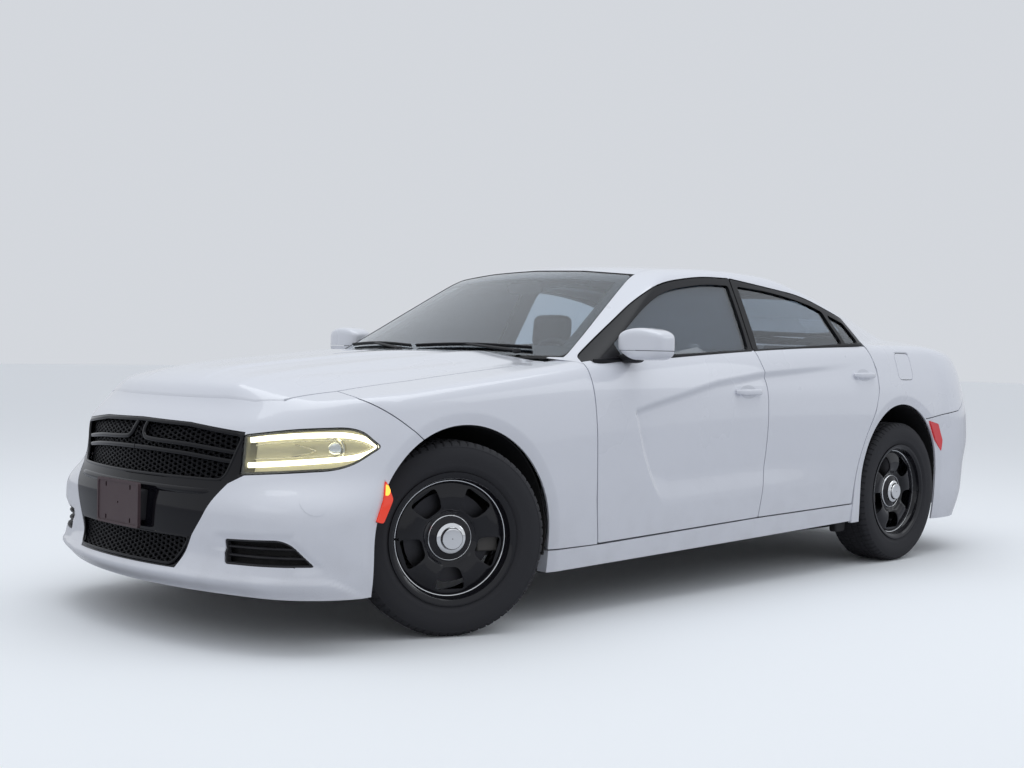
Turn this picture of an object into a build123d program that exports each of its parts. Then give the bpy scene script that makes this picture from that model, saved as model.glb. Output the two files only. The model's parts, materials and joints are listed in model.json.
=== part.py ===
from build123d import *
import os
from math import cos, hypot, radians, sin

# Four-door patrol saloon in millimetres: +X forward, +Y to its left, +Z up, origin on the floor at mid length.

# Overall sizes
WHEELBASE = 3052.0
FRONT_OVERHANG = 930.0
REAR_OVERHANG = 1058.0
HALF_WIDTH = 952.5
ROOF_Z = 1482.0
COWL_Z = 1056.0
DECK_Z = 1155.0
BELT_Z = 1018.0
SILL_Z = 192.0
SILL_RAKE = 50.0
TRACK_FRONT = 1611.0
TRACK_REAR = 1620.0

# Wheels and tyres
TYRE_RADIUS = 360.0
TYRE_WIDTH = 225.0
FLANGE_RADIUS = 246.0
BEAD_RADIUS = 229.0
RIM_HALF_WIDTH = 96.0
VENT_COUNT = 5
CAP_RADIUS = 84.0
DISC_RADIUS = 168.0
STEER_REST = 23.3
KINGPIN_INSET = 25.0
FRONT_ARCH_RADIUS = 428.0
REAR_ARCH_RADIUS = 392.0
REAR_ARCH_RISE = 65.0

# Walls and gaps
SKIN = 20.0
LAMP_DEPTH = 30.0
DEEP_WALL = 46.0
THIN_WALL = 12.0
DOOR_DEPTH = 110.0
FRAME_DEPTH = 26.0
RAIL_DEPTH = 37.0
PILLAR_DEPTH = 74.0
WINDOW_STEP = 10.0
SCREEN_STEP = 2.0
GLASS = 5.0
SHUT_GAP = 6.0
FUEL_GAP = 5.0
FRAME_GAP = 8.0
INNER_STEP = 15.0
LINER_WALL = 5.0
FLOOR_WALL = 22.0
HANDLE_LENGTH = 185.0

LENGTH = FRONT_OVERHANG + WHEELBASE + REAR_OVERHANG
NOSE_X = LENGTH / 2
TAIL_X = -LENGTH / 2
FRONT_AXLE_X = NOSE_X - FRONT_OVERHANG
REAR_AXLE_X = TAIL_X + REAR_OVERHANG
AXLE_Z = TYRE_RADIUS
BELT_RISE = 102.0
BELT_FRONT_X = FRONT_AXLE_X - 720.0
BELT_REAR_X = REAR_AXLE_X + 340.0

VECTORS = {"X": Vector(1, 0, 0), "Y": Vector(0, 1, 0), "Z": Vector(0, 0, 1)}


def nose(back):
    """X of a place set back from the front end."""
    return NOSE_X - back


def front(ahead):
    """X of a place ahead of the front axle."""
    return FRONT_AXLE_X + ahead


def rear(ahead):
    """X of a place ahead of the rear axle."""
    return REAR_AXLE_X + ahead


def tail(ahead):
    """X of a place ahead of the rear end."""
    return TAIL_X + ahead


def side(inward):
    """Y of a place inside the widest part of the left side."""
    return HALF_WIDTH - inward


def belt(x):
    """Z of the lower edge of the side windows at x."""
    return BELT_Z + BELT_RISE * (BELT_FRONT_X - x) / (BELT_FRONT_X - BELT_REAR_X)


def roof(drop):
    """Z of a place below the top of the roof."""
    return ROOF_Z - drop


# Solids from outlines

def place(axis, a, b, depth):
    """A point from two outline coordinates and its depth along the axis."""
    return {"X": (depth, a, b), "Y": (a, depth, b), "Z": (a, b, depth)}[axis]


def prism(axis, points, low, high, radius=0.0):
    """An outline carried along one axis, with rounded corners if a radius is given."""
    corners = [place(axis, a, b, low) for a, b in points]
    if radius:
        outline = FilletPolyline(*corners, radius=radius, close=True)
    else:
        outline = Polyline(*corners, close=True)
    return Solid.extrude(Face(Wire(outline.edges())), VECTORS[axis] * (high - low))


def block(x0, x1, y0, y1, z0, z1, radius=0.0):
    """A box between two corners, its edges rounded if a radius is given."""
    size = (x1 - x0, y1 - y0, z1 - z0)
    box = Pos((x0 + x1) / 2, (y0 + y1) / 2, (z0 + z1) / 2) * Box(*size)
    if radius:
        box = fillet(box.edges(), radius)
    return box


def rod(start, end, radius):
    """A round bar between two points."""
    direction = Vector(*end) - Vector(*start)
    plane = Plane(origin=start, z_dir=direction)
    return extrude(plane * Circle(radius), amount=direction.length)


def turned(points):
    """A ring about the Y axis from (radius, y) points."""
    outline = Polyline(*[(r, y, 0) for r, y in points], close=True)
    return revolve(Face(Wire(outline.edges())), Axis.Y, 360)


def grown(points, step):
    """An outline moved outwards by a step, or inwards by a negative one."""
    count = len(points)
    area = sum(points[i][0] * points[(i + 1) % count][1] - points[(i + 1) % count][0] * points[i][1]
               for i in range(count))
    turn = 1 if area > 0 else -1
    moved = []
    for i in range(count):
        (ax, ay), (bx, by), (cx, cy) = points[i - 1], points[i], points[(i + 1) % count]
        first, second = hypot(bx - ax, by - ay), hypot(cx - bx, cy - by)
        nx, ny = turn * (by - ay) / first, -turn * (bx - ax) / first
        mx, my = turn * (cy - by) / second, -turn * (cx - bx) / second
        spread = 1 + nx * mx + ny * my
        moved.append((bx + step * (nx + mx) / spread, by + step * (ny + my) / spread))
    return moved


def both(solid):
    """A solid of the left side and its mirror on the right."""
    return Compound(children=[*solid.solids(), *mirror(solid, about=Plane.XZ).solids()])


def whole(solid):
    """The left half of a piece joined to its mirror image."""
    return biggest(solid + mirror(solid, about=Plane.XZ))


def biggest(shape):
    """The largest solid of a shape, without slivers."""
    return max(shape.solids(), key=lambda s: s.volume)


def arc(a, b, c):
    """An arc through three points."""
    return ThreePointArc(a, b, c).edge()


def half_arc(end, middle):
    """The left half of the arc that runs from an end to its mirror image through a point in the middle plane."""
    return arc(end, middle, (end[0], -end[1], end[2])).trim(0.0, 0.5)


def bulged(a, b, share, z):
    """An arc from a to b in plan that stands out to the left of the way from a to b by a share of its chord."""
    chord = hypot(b[0] - a[0], b[1] - a[1])
    nx, ny = -(b[1] - a[1]) / chord, (b[0] - a[0]) / chord
    middle = ((a[0] + b[0]) / 2 + share * chord * nx, (a[1] + b[1]) / 2 + share * chord * ny, z)
    return arc((*a, z), middle, (*b, z))


# Plan outlines of the lower body, one a level. Columns: height, nose x, front corner (x, y), its bulge, front of
# side (x, y), widest y, rear of side (x, y), rear corner's bulge, rear corner (x, y), tail x.
LEVELS = [
    (SILL_Z - 2, nose(70), nose(180), side(320), 0.17, front(430), side(48), side(36),
     rear(-430), side(60), 0.15, tail(190), side(270), tail(90)),
    (SILL_Z + 52, nose(0), nose(118), side(320), 0.17, front(440), side(40), side(30),
     rear(-430), side(52), 0.15, tail(160), side(262), tail(60)),
    (SILL_Z + 140, nose(42), nose(140), side(322), 0.17, front(445), side(36), side(22),
     rear(-430), side(44), 0.15, tail(125), side(254), tail(34)),
    (SILL_Z + 288, nose(50), nose(135), side(332), 0.163, front(440), side(37), side(12),
     rear(-430), side(38), 0.15, tail(108), side(252), tail(14)),
    (SILL_Z + 420, nose(72), nose(180), side(392), 0.09, front(360), side(46), side(4),
     rear(-430), side(32), 0.155, tail(80), side(252), tail(0)),
    (SILL_Z + 548, nose(90), nose(190), side(392), 0.063, front(345), side(58), side(0),
     rear(-430), side(32), 0.155, tail(92), side(252), tail(10)),
    (SILL_Z + 676, nose(185), nose(270), side(430), 0.076, front(315), side(78), side(6),
     rear(-420), side(44), 0.155, tail(138), side(252), tail(46)),
    (SILL_Z + 790, nose(200), nose(300), side(430), 0.08, front(250), side(96), side(34),
     rear(-400), side(66), 0.15, tail(160), side(262), tail(68)),
    (SILL_Z + 900, nose(230), nose(330), side(440), 0.08, front(200), side(120), side(68),
     rear(-380), side(100), 0.14, tail(196), side(300), tail(80)),
    (SILL_Z + 990, nose(260), nose(360), side(450), 0.08, front(150), side(150), side(104),
     rear(-360), side(150), 0.13, tail(240), side(340), tail(90)),
]

# Cross sections of the hood, belt and deck. Columns: x, middle z, z at the dome's edge, at the shut line, at the crest.
DOME_Y = 400.0
SHUT_Y = 662.0
CREST_Y = side(122)
STATIONS = [
    (nose(-20), COWL_Z - 400, COWL_Z - 420, COWL_Z - 470, COWL_Z - 480),
    (nose(90), COWL_Z - 296, COWL_Z - 312, COWL_Z - 400, COWL_Z - 420),
    (nose(120), COWL_Z - 240, COWL_Z - 262, COWL_Z - 360, COWL_Z - 380),
    (nose(190), COWL_Z - 166, COWL_Z - 190, COWL_Z - 290, COWL_Z - 320),
    (nose(270), COWL_Z - 112, COWL_Z - 140, COWL_Z - 240, COWL_Z - 290),
    (nose(340), COWL_Z - 94, COWL_Z - 112, COWL_Z - 208, COWL_Z - 262),
    (front(410), COWL_Z - 72, COWL_Z - 82, COWL_Z - 160, COWL_Z - 186),
    (front(110), COWL_Z - 44, COWL_Z - 51, COWL_Z - 118, COWL_Z - 140),
    (front(-240), COWL_Z - 14, COWL_Z - 20, COWL_Z - 76, COWL_Z - 94),
    (front(-560), COWL_Z, COWL_Z - 4, COWL_Z - 40, COWL_Z - 52),
    (BELT_FRONT_X, BELT_Z + 20, BELT_Z + 18, BELT_Z + 12, BELT_Z + 8),
    (BELT_REAR_X, BELT_Z + BELT_RISE + 12, BELT_Z + BELT_RISE + 9, BELT_Z + BELT_RISE + 7, BELT_Z + BELT_RISE + 4),
    (tail(770), DECK_Z, DECK_Z - 2, DECK_Z - 5, DECK_Z - 32),
    (tail(420), DECK_Z - 6, DECK_Z - 8, DECK_Z - 25, DECK_Z - 66),
    (tail(170), DECK_Z - 28, DECK_Z - 32, DECK_Z - 58, DECK_Z - 110),
    (tail(80), DECK_Z - 42, DECK_Z - 48, DECK_Z - 84, DECK_Z - 150),
    (tail(-20), DECK_Z - 96, DECK_Z - 104, DECK_Z - 150, DECK_Z - 220),
]

# Plan outlines of the cabin. Columns: height, windshield middle x, its corner (x, y), front of side (x, y), widest y,
# rear of side (x, y), rear glass corner (x, y), rear glass middle x.
GLASSHOUSE = [
    (COWL_Z - 96, front(-354), front(-536), side(160), front(-618), side(58), side(37),
     rear(312), side(37), rear(-595), side(210), rear(-841)),
    (roof(362), front(-638), front(-812), side(230), front(-885), side(126), side(106),
     rear(312), side(102), rear(-328), side(298), rear(-388)),
    (roof(232), front(-877), front(-1025), side(288), front(-1090), side(196), side(176),
     rear(342), side(197), rear(22), side(328), rear(2)),
    (roof(122), front(-1078), front(-1205), side(342), front(-1265), side(257), side(240),
     rear(562), side(262), rear(372), side(352), rear(382)),
    (roof(42), front(-1224), front(-1340), side(387), front(-1395), side(312), side(288),
     rear(762), side(312), rear(632), side(392), rear(642)),
    (roof(-10), front(-1320), front(-1425), side(410), front(-1480), side(345), side(320),
     rear(862), side(345), rear(762), side(412), rear(782)),
]

# Cross sections of the roof. Columns: x, middle z, z at the rail.
RAIL_Y = 640.0
ROOF_STATIONS = [
    (front(-300), roof(120), roof(150)),
    (front(-1220), roof(40), roof(68)),
    (front(-1500), roof(12), roof(42)),
    (front(-1840), roof(0), roof(30)),
    (rear(870), roof(8), roof(38)),
    (rear(460), roof(60), roof(88)),
    (rear(-100), roof(190), roof(214)),
    (rear(-700), roof(330), roof(350)),
]


def level_wire(row, inset):
    """The closed plan outline of the left half of one level of the lower body."""
    z, nx, fx, fy, fb, sx, sy, my, ex, ey, rb, rx, ry, tx = row
    fc, fs = (fx - inset, fy - 0.6 * inset), (sx - 0.3 * inset, sy - inset)
    rs, rc = (ex + 0.3 * inset, ey - inset), (rx + inset, ry - 0.6 * inset)
    flank = [bulged(fs, fc, fb, z), arc((*rs, z), ((sx + ex) / 2, my - inset, z), (*fs, z)), bulged(rc, rs, rb, z)]
    front_arc = half_arc((*fc, z), (nx - inset, 0, z))
    rear_arc = half_arc((*rc, z), (tx + inset, 0, z))
    return Wire([front_arc, *flank, rear_arc, Edge.make_line((nx - inset, 0, z), (tx + inset, 0, z))])


def station_wire(row, inset):
    """The closed left cross section of the hood, belt or deck at one station."""
    x, mid, dome, shut, crest = row
    flank, drop = side(30) + 60, 150.0
    outline = [
        half_arc((x, DOME_Y, dome - inset), (x, 0, mid - inset)),
        Edge.make_line((x, DOME_Y, dome - inset), (x, SHUT_Y, shut - inset)),
        Edge.make_line((x, SHUT_Y, shut - inset), (x, CREST_Y, crest - inset)),
        arc((x, CREST_Y, crest - inset), (x, (CREST_Y + flank) / 2, crest - inset - 0.28 * drop),
            (x, flank, crest - inset - drop)),
        Edge.make_line((x, flank, crest - inset - drop), (x, flank, 0)),
        Edge.make_line((x, flank, 0), (x, 0, 0)),
        Edge.make_line((x, 0, 0), (x, 0, mid - inset)),
    ]
    return Wire(outline)


def lower_hull(inset=0.0):
    """The left half of the lower body as one closed form, drawn in by an inset and open downwards when it is."""
    rows = list(LEVELS)
    if inset:
        rows = [(SILL_Z - 80, *LEVELS[0][1:]), *LEVELS]
    plan = Solid.make_loft([level_wire(row, inset) for row in rows], True)
    top = Solid.make_loft([station_wire(row, inset) for row in reversed(STATIONS)], True)
    return plan & top


def glasshouse_wire(row, inset):
    """The closed plan outline of the left half of one level of the cabin."""
    z, wx, cx, cy, sx, sy, my, ex, ey, rx, ry, tx = row
    c, s = (cx - 1.8 * inset, cy - 0.5 * inset, z), (sx - 1.2 * inset, sy - inset, z)
    e, r = (ex + 0.2 * inset, ey - inset, z), (rx + 2.4 * inset, ry - 0.8 * inset, z)
    flank = [Edge.make_line(c, s), arc(s, ((sx + ex) / 2, my - inset, z), e), Edge.make_line(e, r)]
    screen_middle, back_middle = (wx - 2 * inset, 0, z), (tx + 2.8 * inset, 0, z)
    return Wire([half_arc(c, screen_middle), *flank, half_arc(r, back_middle),
                 Edge.make_line(screen_middle, back_middle)])


def roof_wire(row, inset):
    """The closed left cross section under the roof at one station."""
    x, mid, rail = row
    crown = half_arc((x, RAIL_Y, rail - inset), (x, 0, mid - inset))
    edge, foot = (x, side(0), rail - inset - 90), (x, side(0), COWL_Z - 200)
    middle = (x, 0, COWL_Z - 200)
    return Wire([crown, Edge.make_line((x, RAIL_Y, rail - inset), edge), Edge.make_line(edge, foot),
                 Edge.make_line(foot, middle), Edge.make_line(middle, (x, 0, mid - inset))])


def cabin_hull(inset=0.0):
    """The left half of the cabin above the belt as one closed form, drawn in by an inset."""
    rows = list(GLASSHOUSE)
    if inset:
        rows = [(GLASSHOUSE[0][0] - 60, *GLASSHOUSE[0][1:]), *GLASSHOUSE]
    plan = Solid.make_loft([glasshouse_wire(row, inset) for row in rows], True)
    top = Solid.make_loft([roof_wire(row, inset) for row in reversed(ROOF_STATIONS)], True)
    return plan & top


# Side outlines, as (x, z) points

SEAM = [(front(-1790), belt(front(-1790))), (front(-1834), BELT_Z - 64), (front(-1843), BELT_Z - 120),
        (front(-1831), BELT_Z - 415), (front(-1784), SILL_Z + 126)]
SEAM_TOP = (front(-1852), roof(70))
FRONT_DOOR = [
    (front(-664), BELT_Z - 7), (front(-700), BELT_Z + 16), (front(-1147), roof(194)), (front(-1339), roof(113)),
    (front(-1637), roof(72)), SEAM_TOP, *SEAM,
    (front(-705), SILL_Z + 96), (front(-685), BELT_Z - 555), (front(-676), BELT_Z - 198),
]
REAR_DOOR = [
    *[(x - SHUT_GAP, z) for x, z in reversed(SEAM)], (SEAM_TOP[0] - FRAME_GAP, SEAM_TOP[1]),
    (rear(618), roof(129)), (rear(328), roof(233)), (rear(282), belt(rear(282)) - 4),
    (rear(240), BELT_Z - 18), (rear(247), BELT_Z - 118), (rear(292), BELT_Z - 228), (rear(372), BELT_Z - 338),
    (rear(432), BELT_Z - 458), (rear(462), BELT_Z - 588), (rear(472), SILL_Z + 138),
]
FRONT_WINDOW = [
    (front(-760), belt(front(-760)) + 8), (front(-1150), roof(230)), (front(-1345), roof(144)),
    (front(-1637), roof(103)), (front(-1822), roof(102)), (front(-1770), belt(front(-1770)) + 8),
]
REAR_WINDOW_SIDE = [
    (front(-1842), belt(front(-1842)) + 8), (front(-1892), roof(102)), (rear(900), roof(117)), (rear(622), roof(160)),
    (rear(500), roof(201)), (rear(478), belt(rear(478)) + 8),
]
QUARTER_WINDOW = [
    (rear(446), belt(rear(446)) + 8), (rear(468), roof(213)), (rear(352), roof(255)), (rear(322), belt(rear(322)) + 8),
]
FENDER = [
    (front(410), COWL_Z + 60), (front(410), COWL_Z - 182), (front(162), COWL_Z - 349), (front(162), SILL_Z + 92),
    (front(-699), SILL_Z + 92), (front(-679), BELT_Z - 555), (front(-670), BELT_Z - 198),
    (front(-658), BELT_Z - 7), (front(-655), COWL_Z + 60),
]
FRONT_COVER = [
    (front(415), COWL_Z + 60), (front(415), COWL_Z - 184), (front(170), COWL_Z - 349), (front(170), 100),
    (nose(-60), 100), (nose(-60), COWL_Z + 60),
]
SILL = [
    (front(-395), SILL_Z), (front(-395), SILL_Z + 86), (front(-705), SILL_Z + 88),
    (front(-1784), SILL_Z + 120), (rear(472), SILL_Z + 132), (rear(382), SILL_Z + 132), (rear(382), SILL_Z + SILL_RAKE),
]
QUARTER = [
    (rear(466), SILL_Z + 40), (rear(456), BELT_Z - 588), (rear(426), BELT_Z - 458), (rear(366), BELT_Z - 342),
    (rear(287), BELT_Z - 232), (rear(241), BELT_Z - 120), (rear(234), BELT_Z - 18), (rear(276), belt(rear(276)) - 2),
    (rear(276), DECK_Z + 60), (tail(-40), DECK_Z + 60), (tail(-40), DECK_Z - 289), (tail(285), DECK_Z - 289),
    (tail(470), DECK_Z - 376), (rear(-250), DECK_Z - 416), (rear(-250), SILL_Z + 40),
]
REAR_COVER = [
    (tail(-40), 100), (tail(-40), DECK_Z - 294), (tail(285), DECK_Z - 294), (tail(470), DECK_Z - 381),
    (rear(-250), DECK_Z - 421), (rear(-250), 100),
]

# Front and rear outlines, as (y, z) points
WINDSHIELD = [(side(198), COWL_Z - 22), (side(380), roof(76)), (300, roof(54)), (0, roof(46)),
              (-300, roof(54)), (-side(380), roof(76)), (-side(198), COWL_Z - 22)]
BACKLIGHT = [(side(318), DECK_Z + 6), (side(372), roof(104)), (300, roof(88)), (0, roof(82)),
             (-300, roof(88)), (-side(372), roof(104)), (-side(318), DECK_Z + 6)]
HEADLAMP = [(side(73), COWL_Z - 348), (side(122), COWL_Z - 281), (side(252), COWL_Z - 291),
            (side(392), COWL_Z - 315), (side(392), COWL_Z - 452), (side(252), COWL_Z - 440), (side(122), COWL_Z - 426)]
GRILLE = [(side(396), COWL_Z - 317), (300, COWL_Z - 290), (0, COWL_Z - 284), (-300, COWL_Z - 290),
          (-side(396), COWL_Z - 317), (-side(458), COWL_Z - 477), (side(458), COWL_Z - 477)]
LOWER_GRILLE = [(side(561), SILL_Z + 186), (-side(561), SILL_Z + 186), (-side(621), SILL_Z + 87), (side(621), SILL_Z + 87)]
INTAKE = [(side(400), SILL_Z + 194), (side(392), SILL_Z + 108), (side(112), SILL_Z + 112), (side(168), SILL_Z + 204)]
TAIL_BAND = (DECK_Z - 273, DECK_Z - 150)
LID_LAMP_Y = side(392)
REAR_PLATE = (250.0, DECK_Z - 500, DECK_Z - 330)
PLATE_Z = SILL_Z + 276
PLATE_HOLES = [(y, z) for y in (-89, 89) for z in (-60.5, 60.5)]
PLATE_HOLE_RADIUS = 3.0
PLATE_BOLT_ROOM = 6.0
TAIL_PIPE_Y = 520.0
TAIL_PIPE_Z = 262.0

# Plan outlines, as (x, y) points
HOOD_SIDE = [(front(-580), side(217)), (front(-190), side(247)), (front(110), side(262)), (front(410), side(292)),
             (nose(336), side(352)), (nose(273), side(438))]
HOOD_HALF = [(front(-468), 380), *HOOD_SIDE, (nose(209), 260)]
HOOD = [(front(-440), 0), *HOOD_HALF, (nose(190), 0), *[(x, -y) for x, y in reversed(HOOD_HALF)]]
LID_SIDE = [(tail(850), side(300)), (tail(430), side(290)), (tail(150), side(318)), (tail(-60), side(330))]
LID = [*LID_SIDE, *[(x, -y) for x, y in reversed(LID_SIDE)]]
LID_EDGE_Z = DECK_Z - 289
ROOF_PANEL_Y = side(378)
FUEL_DOOR = [(rear(20), BELT_Z - 72), (rear(20), BELT_Z + 62), (rear(-130), BELT_Z + 62), (rear(-130), BELT_Z - 72)]

HULL_SIDE = HALF_WIDTH + 80
DOOR_ROOM_Y = side(126)


LOWER = lower_hull()
LOWER_SKIN = lower_hull(SKIN)
LOWER_THIN = lower_hull(THIN_WALL)
LOWER_LAMP = lower_hull(LAMP_DEPTH)
LOWER_DEEP = lower_hull(DEEP_WALL)
CABIN = cabin_hull()
CABIN_SKIN = cabin_hull(SKIN)
CABIN_EDGE = cabin_hull(WINDOW_STEP)
CABIN_GLASS = cabin_hull(WINDOW_STEP + GLASS)
CABIN_SCREEN = cabin_hull(SCREEN_STEP)
CABIN_SCREEN_IN = cabin_hull(SCREEN_STEP + GLASS)
CABIN_FRAME = cabin_hull(FRAME_DEPTH)
CABIN_RAIL = cabin_hull(RAIL_DEPTH)
CABIN_PILLAR = cabin_hull(FRAME_DEPTH + FRAME_GAP)
CABIN_PILLAR_IN = cabin_hull(PILLAR_DEPTH)
SKIN_SHELL = LOWER - LOWER_SKIN
THIN_SHELL = LOWER - LOWER_THIN
LAMP_SHELL = LOWER - LOWER_LAMP
BODY = LOWER + CABIN
HOOD_ROOM = prism("Z", grown(HOOD, SHUT_GAP), COWL_Z - 300, COWL_Z + 100)


def arch_cut(x, z, radius, inner_y):
    """The room of one left wheel arch, from inner_y outwards and open below."""
    drum = Pos(x, (inner_y + HULL_SIDE) / 2, z) * Rot(90, 0, 0) * Cylinder(radius, HULL_SIDE - inner_y)
    return drum + block(x - radius, x + radius, inner_y, HULL_SIDE, 0, z)


FRONT_ARCH_INNER = TRACK_FRONT / 2 - 330
STRUT_Y = TRACK_FRONT / 2 - 181
REAR_ARCH_INNER = TRACK_REAR / 2 - 200
FRONT_ARCH_Z = AXLE_Z - 10
REAR_ARCH_Z = AXLE_Z + REAR_ARCH_RISE
front_arch = arch_cut(FRONT_AXLE_X, FRONT_ARCH_Z, FRONT_ARCH_RADIUS, FRONT_ARCH_INNER)
rear_arch = arch_cut(REAR_AXLE_X, REAR_ARCH_Z, REAR_ARCH_RADIUS, REAR_ARCH_INNER)

parts = {}


def keep(name, shape):
    """Files a piece under its name as a list of its solids."""
    pieces = shape if isinstance(shape, list) else [shape]
    parts[name] = [solid for piece in pieces for solid in piece.solids()]


def keep_pair(name, shape):
    """Files a left piece and its mirrored right piece."""
    keep(f"{name}_left", shape)
    keep(f"{name}_right", mirror(shape, about=Plane.XZ))


# Doors

def door(outline, windows):
    """A left door: an outer skin, an inner box stepped in from its edge, and its window cuts."""
    slab = prism("Y", outline, side(420), HULL_SIDE) & BODY
    skin = slab - LOWER_SKIN - CABIN_EDGE
    core = prism("Y", grown(outline, -INNER_STEP), side(420), HULL_SIDE) & BODY
    hollow = block(TAIL_X, NOSE_X, 0, side(DOOR_DEPTH), 0, ROOF_Z)
    core = core - (hollow & block(TAIL_X, NOSE_X, 0, HULL_SIDE, 0, belt(FRONT_AXLE_X - 2200))) - CABIN_FRAME
    shell = skin + core
    for window in windows:
        shell = shell - prism("Y", window, 0, HULL_SIDE)
    return biggest(shell)


def door_glass(windows):
    """The panes that fill a left door's window cuts."""
    band = CABIN_EDGE - CABIN_GLASS
    return [biggest(prism("Y", window, 0, HULL_SIDE) & band) for window in windows]


# Door fittings

def handle(x, z, skin_y):
    """A left door's pull handle: a bar on two feet over the skin at skin_y."""
    bar = block(x - HANDLE_LENGTH / 2, x + HANDLE_LENGTH / 2, skin_y + 14, skin_y + 32, z - 13, z + 13, 6.0)
    for foot_x in (x - HANDLE_LENGTH / 2 + 16, x + HANDLE_LENGTH / 2 - 16):
        bar = bar + block(foot_x - 12, foot_x + 12, skin_y - 22, skin_y + 20, z - 8, z + 8)
    return bar - BODY


door_front = door(FRONT_DOOR, [FRONT_WINDOW])
door_rear = door(REAR_DOOR, [REAR_WINDOW_SIDE, QUARTER_WINDOW])
keep_pair("door_front", Compound(children=[door_front, *handle(front(-1690), BELT_Z - 128, side(10)).solids()]))
keep_pair("door_rear", Compound(children=[door_rear, *handle(rear(378), BELT_Z - 50, side(36)).solids()]))
keep_pair("door_front_glass", Compound(children=door_glass([FRONT_WINDOW])))
keep_pair("door_rear_glass", Compound(children=door_glass([REAR_WINDOW_SIDE, QUARTER_WINDOW])))

MIRROR_X = front(-908)
MIRROR_IN = side(82)
MIRROR_OUT = side(-149)
MIRROR_LOW = BELT_Z + 8
MIRROR_TOP = BELT_Z + 140
MIRROR_WALL = 14.0
mirror_shell = block(MIRROR_X - 76, MIRROR_X + 76, MIRROR_IN, MIRROR_OUT, MIRROR_LOW, MIRROR_TOP, 34.0)
mirror_shell = mirror_shell - block(MIRROR_X - 100, MIRROR_X - 64, MIRROR_IN + MIRROR_WALL, MIRROR_OUT - MIRROR_WALL,
                                    MIRROR_LOW + MIRROR_WALL, MIRROR_TOP - MIRROR_WALL)
mirror_foot = block(MIRROR_X - 30, MIRROR_X + 34, side(110), side(-10), BELT_Z - 6, MIRROR_LOW + 22, 8.0)
keep_pair("door_mirror", biggest((mirror_shell + mirror_foot) - BODY))


# Body sides

def hinge_side():
    """The left body side: sill, pillars, roof rail and rear quarter in one piece."""
    sill = (prism("Y", SILL, side(150), HULL_SIDE) & LOWER) - front_arch - rear_arch
    hinge_pillar = block(front(-718), front(-590), side(250), side(140), SILL_Z + 30, COWL_Z - 80)
    middle_pillar = prism("Y", [(front(-1730), SILL_Z + 30), (front(-1745), BELT_Z + 70),
                                (front(-1930), BELT_Z + 70), (front(-1910), SILL_Z + 30)], side(216), side(126))
    rail = CABIN - CABIN_RAIL
    rail = rail & block(TAIL_X, NOSE_X, ROOF_PANEL_Y + 2, HULL_SIDE, 0, ROOF_Z)
    rail = rail - prism("X", grown(WINDSHIELD, 3), front(-1500), NOSE_X)
    rail = rail - prism("X", grown(BACKLIGHT, 3), TAIL_X, front(-2200))
    rail = rail - block(front(-1000), front(-300), 0, side(250), 0, COWL_Z + 10)
    rail = rail - (LOWER_SKIN & block(TAIL_X, rear(150), 0, HULL_SIDE, 0, ROOF_Z))
    upper_pillar = (CABIN_PILLAR - CABIN_PILLAR_IN) & prism("Y", [
        (front(-1768), BELT_Z + 30), (front(-1800), roof(50)), (front(-1905), roof(50)), (front(-1880), BELT_Z + 30)],
        side(420), HULL_SIDE)
    quarter = (prism("Y", QUARTER, 0, HULL_SIDE) & LAMP_SHELL) - rear_arch - CABIN_RAIL
    quarter = quarter - prism("Z", grown(LID, SHUT_GAP), LID_EDGE_Z - SHUT_GAP, ROOF_Z)
    quarter = quarter & block(TAIL_X - 100, NOSE_X, side(330), HULL_SIDE, 0, ROOF_Z)
    frame = sill + hinge_pillar + middle_pillar + upper_pillar + quarter + rail - HOOD_ROOM
    frame = frame - prism("Y", grown(FRONT_DOOR, SHUT_GAP), DOOR_ROOM_Y, HULL_SIDE)
    frame = frame - prism("Y", grown(REAR_DOOR, SHUT_GAP), DOOR_ROOM_Y, HULL_SIDE)
    swing_room = block(front(-980), front(-640), side(192), HULL_SIDE, BELT_Z - 30, BELT_Z + 120)
    frame = frame - (prism("Y", grown(FRONT_DOOR, SHUT_GAP), 0, HULL_SIDE) & swing_room)
    upper = CABIN - CABIN_PILLAR
    for outline in (FRONT_DOOR, REAR_DOOR):
        frame = frame - (prism("Y", grown(outline, SHUT_GAP), 0, HULL_SIDE) & upper)
    lamp_room = prism("X", [(side(330), TAIL_BAND[0]), (side(330), TAIL_BAND[1]), (HULL_SIDE, TAIL_BAND[1] - 12),
                            (HULL_SIDE, TAIL_BAND[0] + 12)], TAIL_X - 50, tail(250))
    return frame - lamp_room


JACK_PADS = [front(-500), rear(450)]
body_side = hinge_side()
for pad_x in JACK_PADS:
    body_side = body_side + block(pad_x - 45, pad_x + 45, side(145), side(100), SILL_Z - 14, SILL_Z + 70)
plain_side = biggest(body_side)
fuel_room = prism("Y", grown(FUEL_DOOR, FUEL_GAP), side(110), HULL_SIDE, 37.0)
fuel_cup = (prism("Y", grown(FUEL_DOOR, FUEL_GAP + 12), side(118), HULL_SIDE, 49.0) & LOWER_SKIN) - fuel_room
keep("body_side_right", mirror(plain_side, about=Plane.XZ))
keep("body_side_left", biggest((plain_side - fuel_room) + fuel_cup))
keep("fuel_door", biggest((prism("Y", FUEL_DOOR, side(150), HULL_SIDE, 32.0) & LOWER) - LOWER_THIN))


# Roof, glass and cowl

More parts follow.
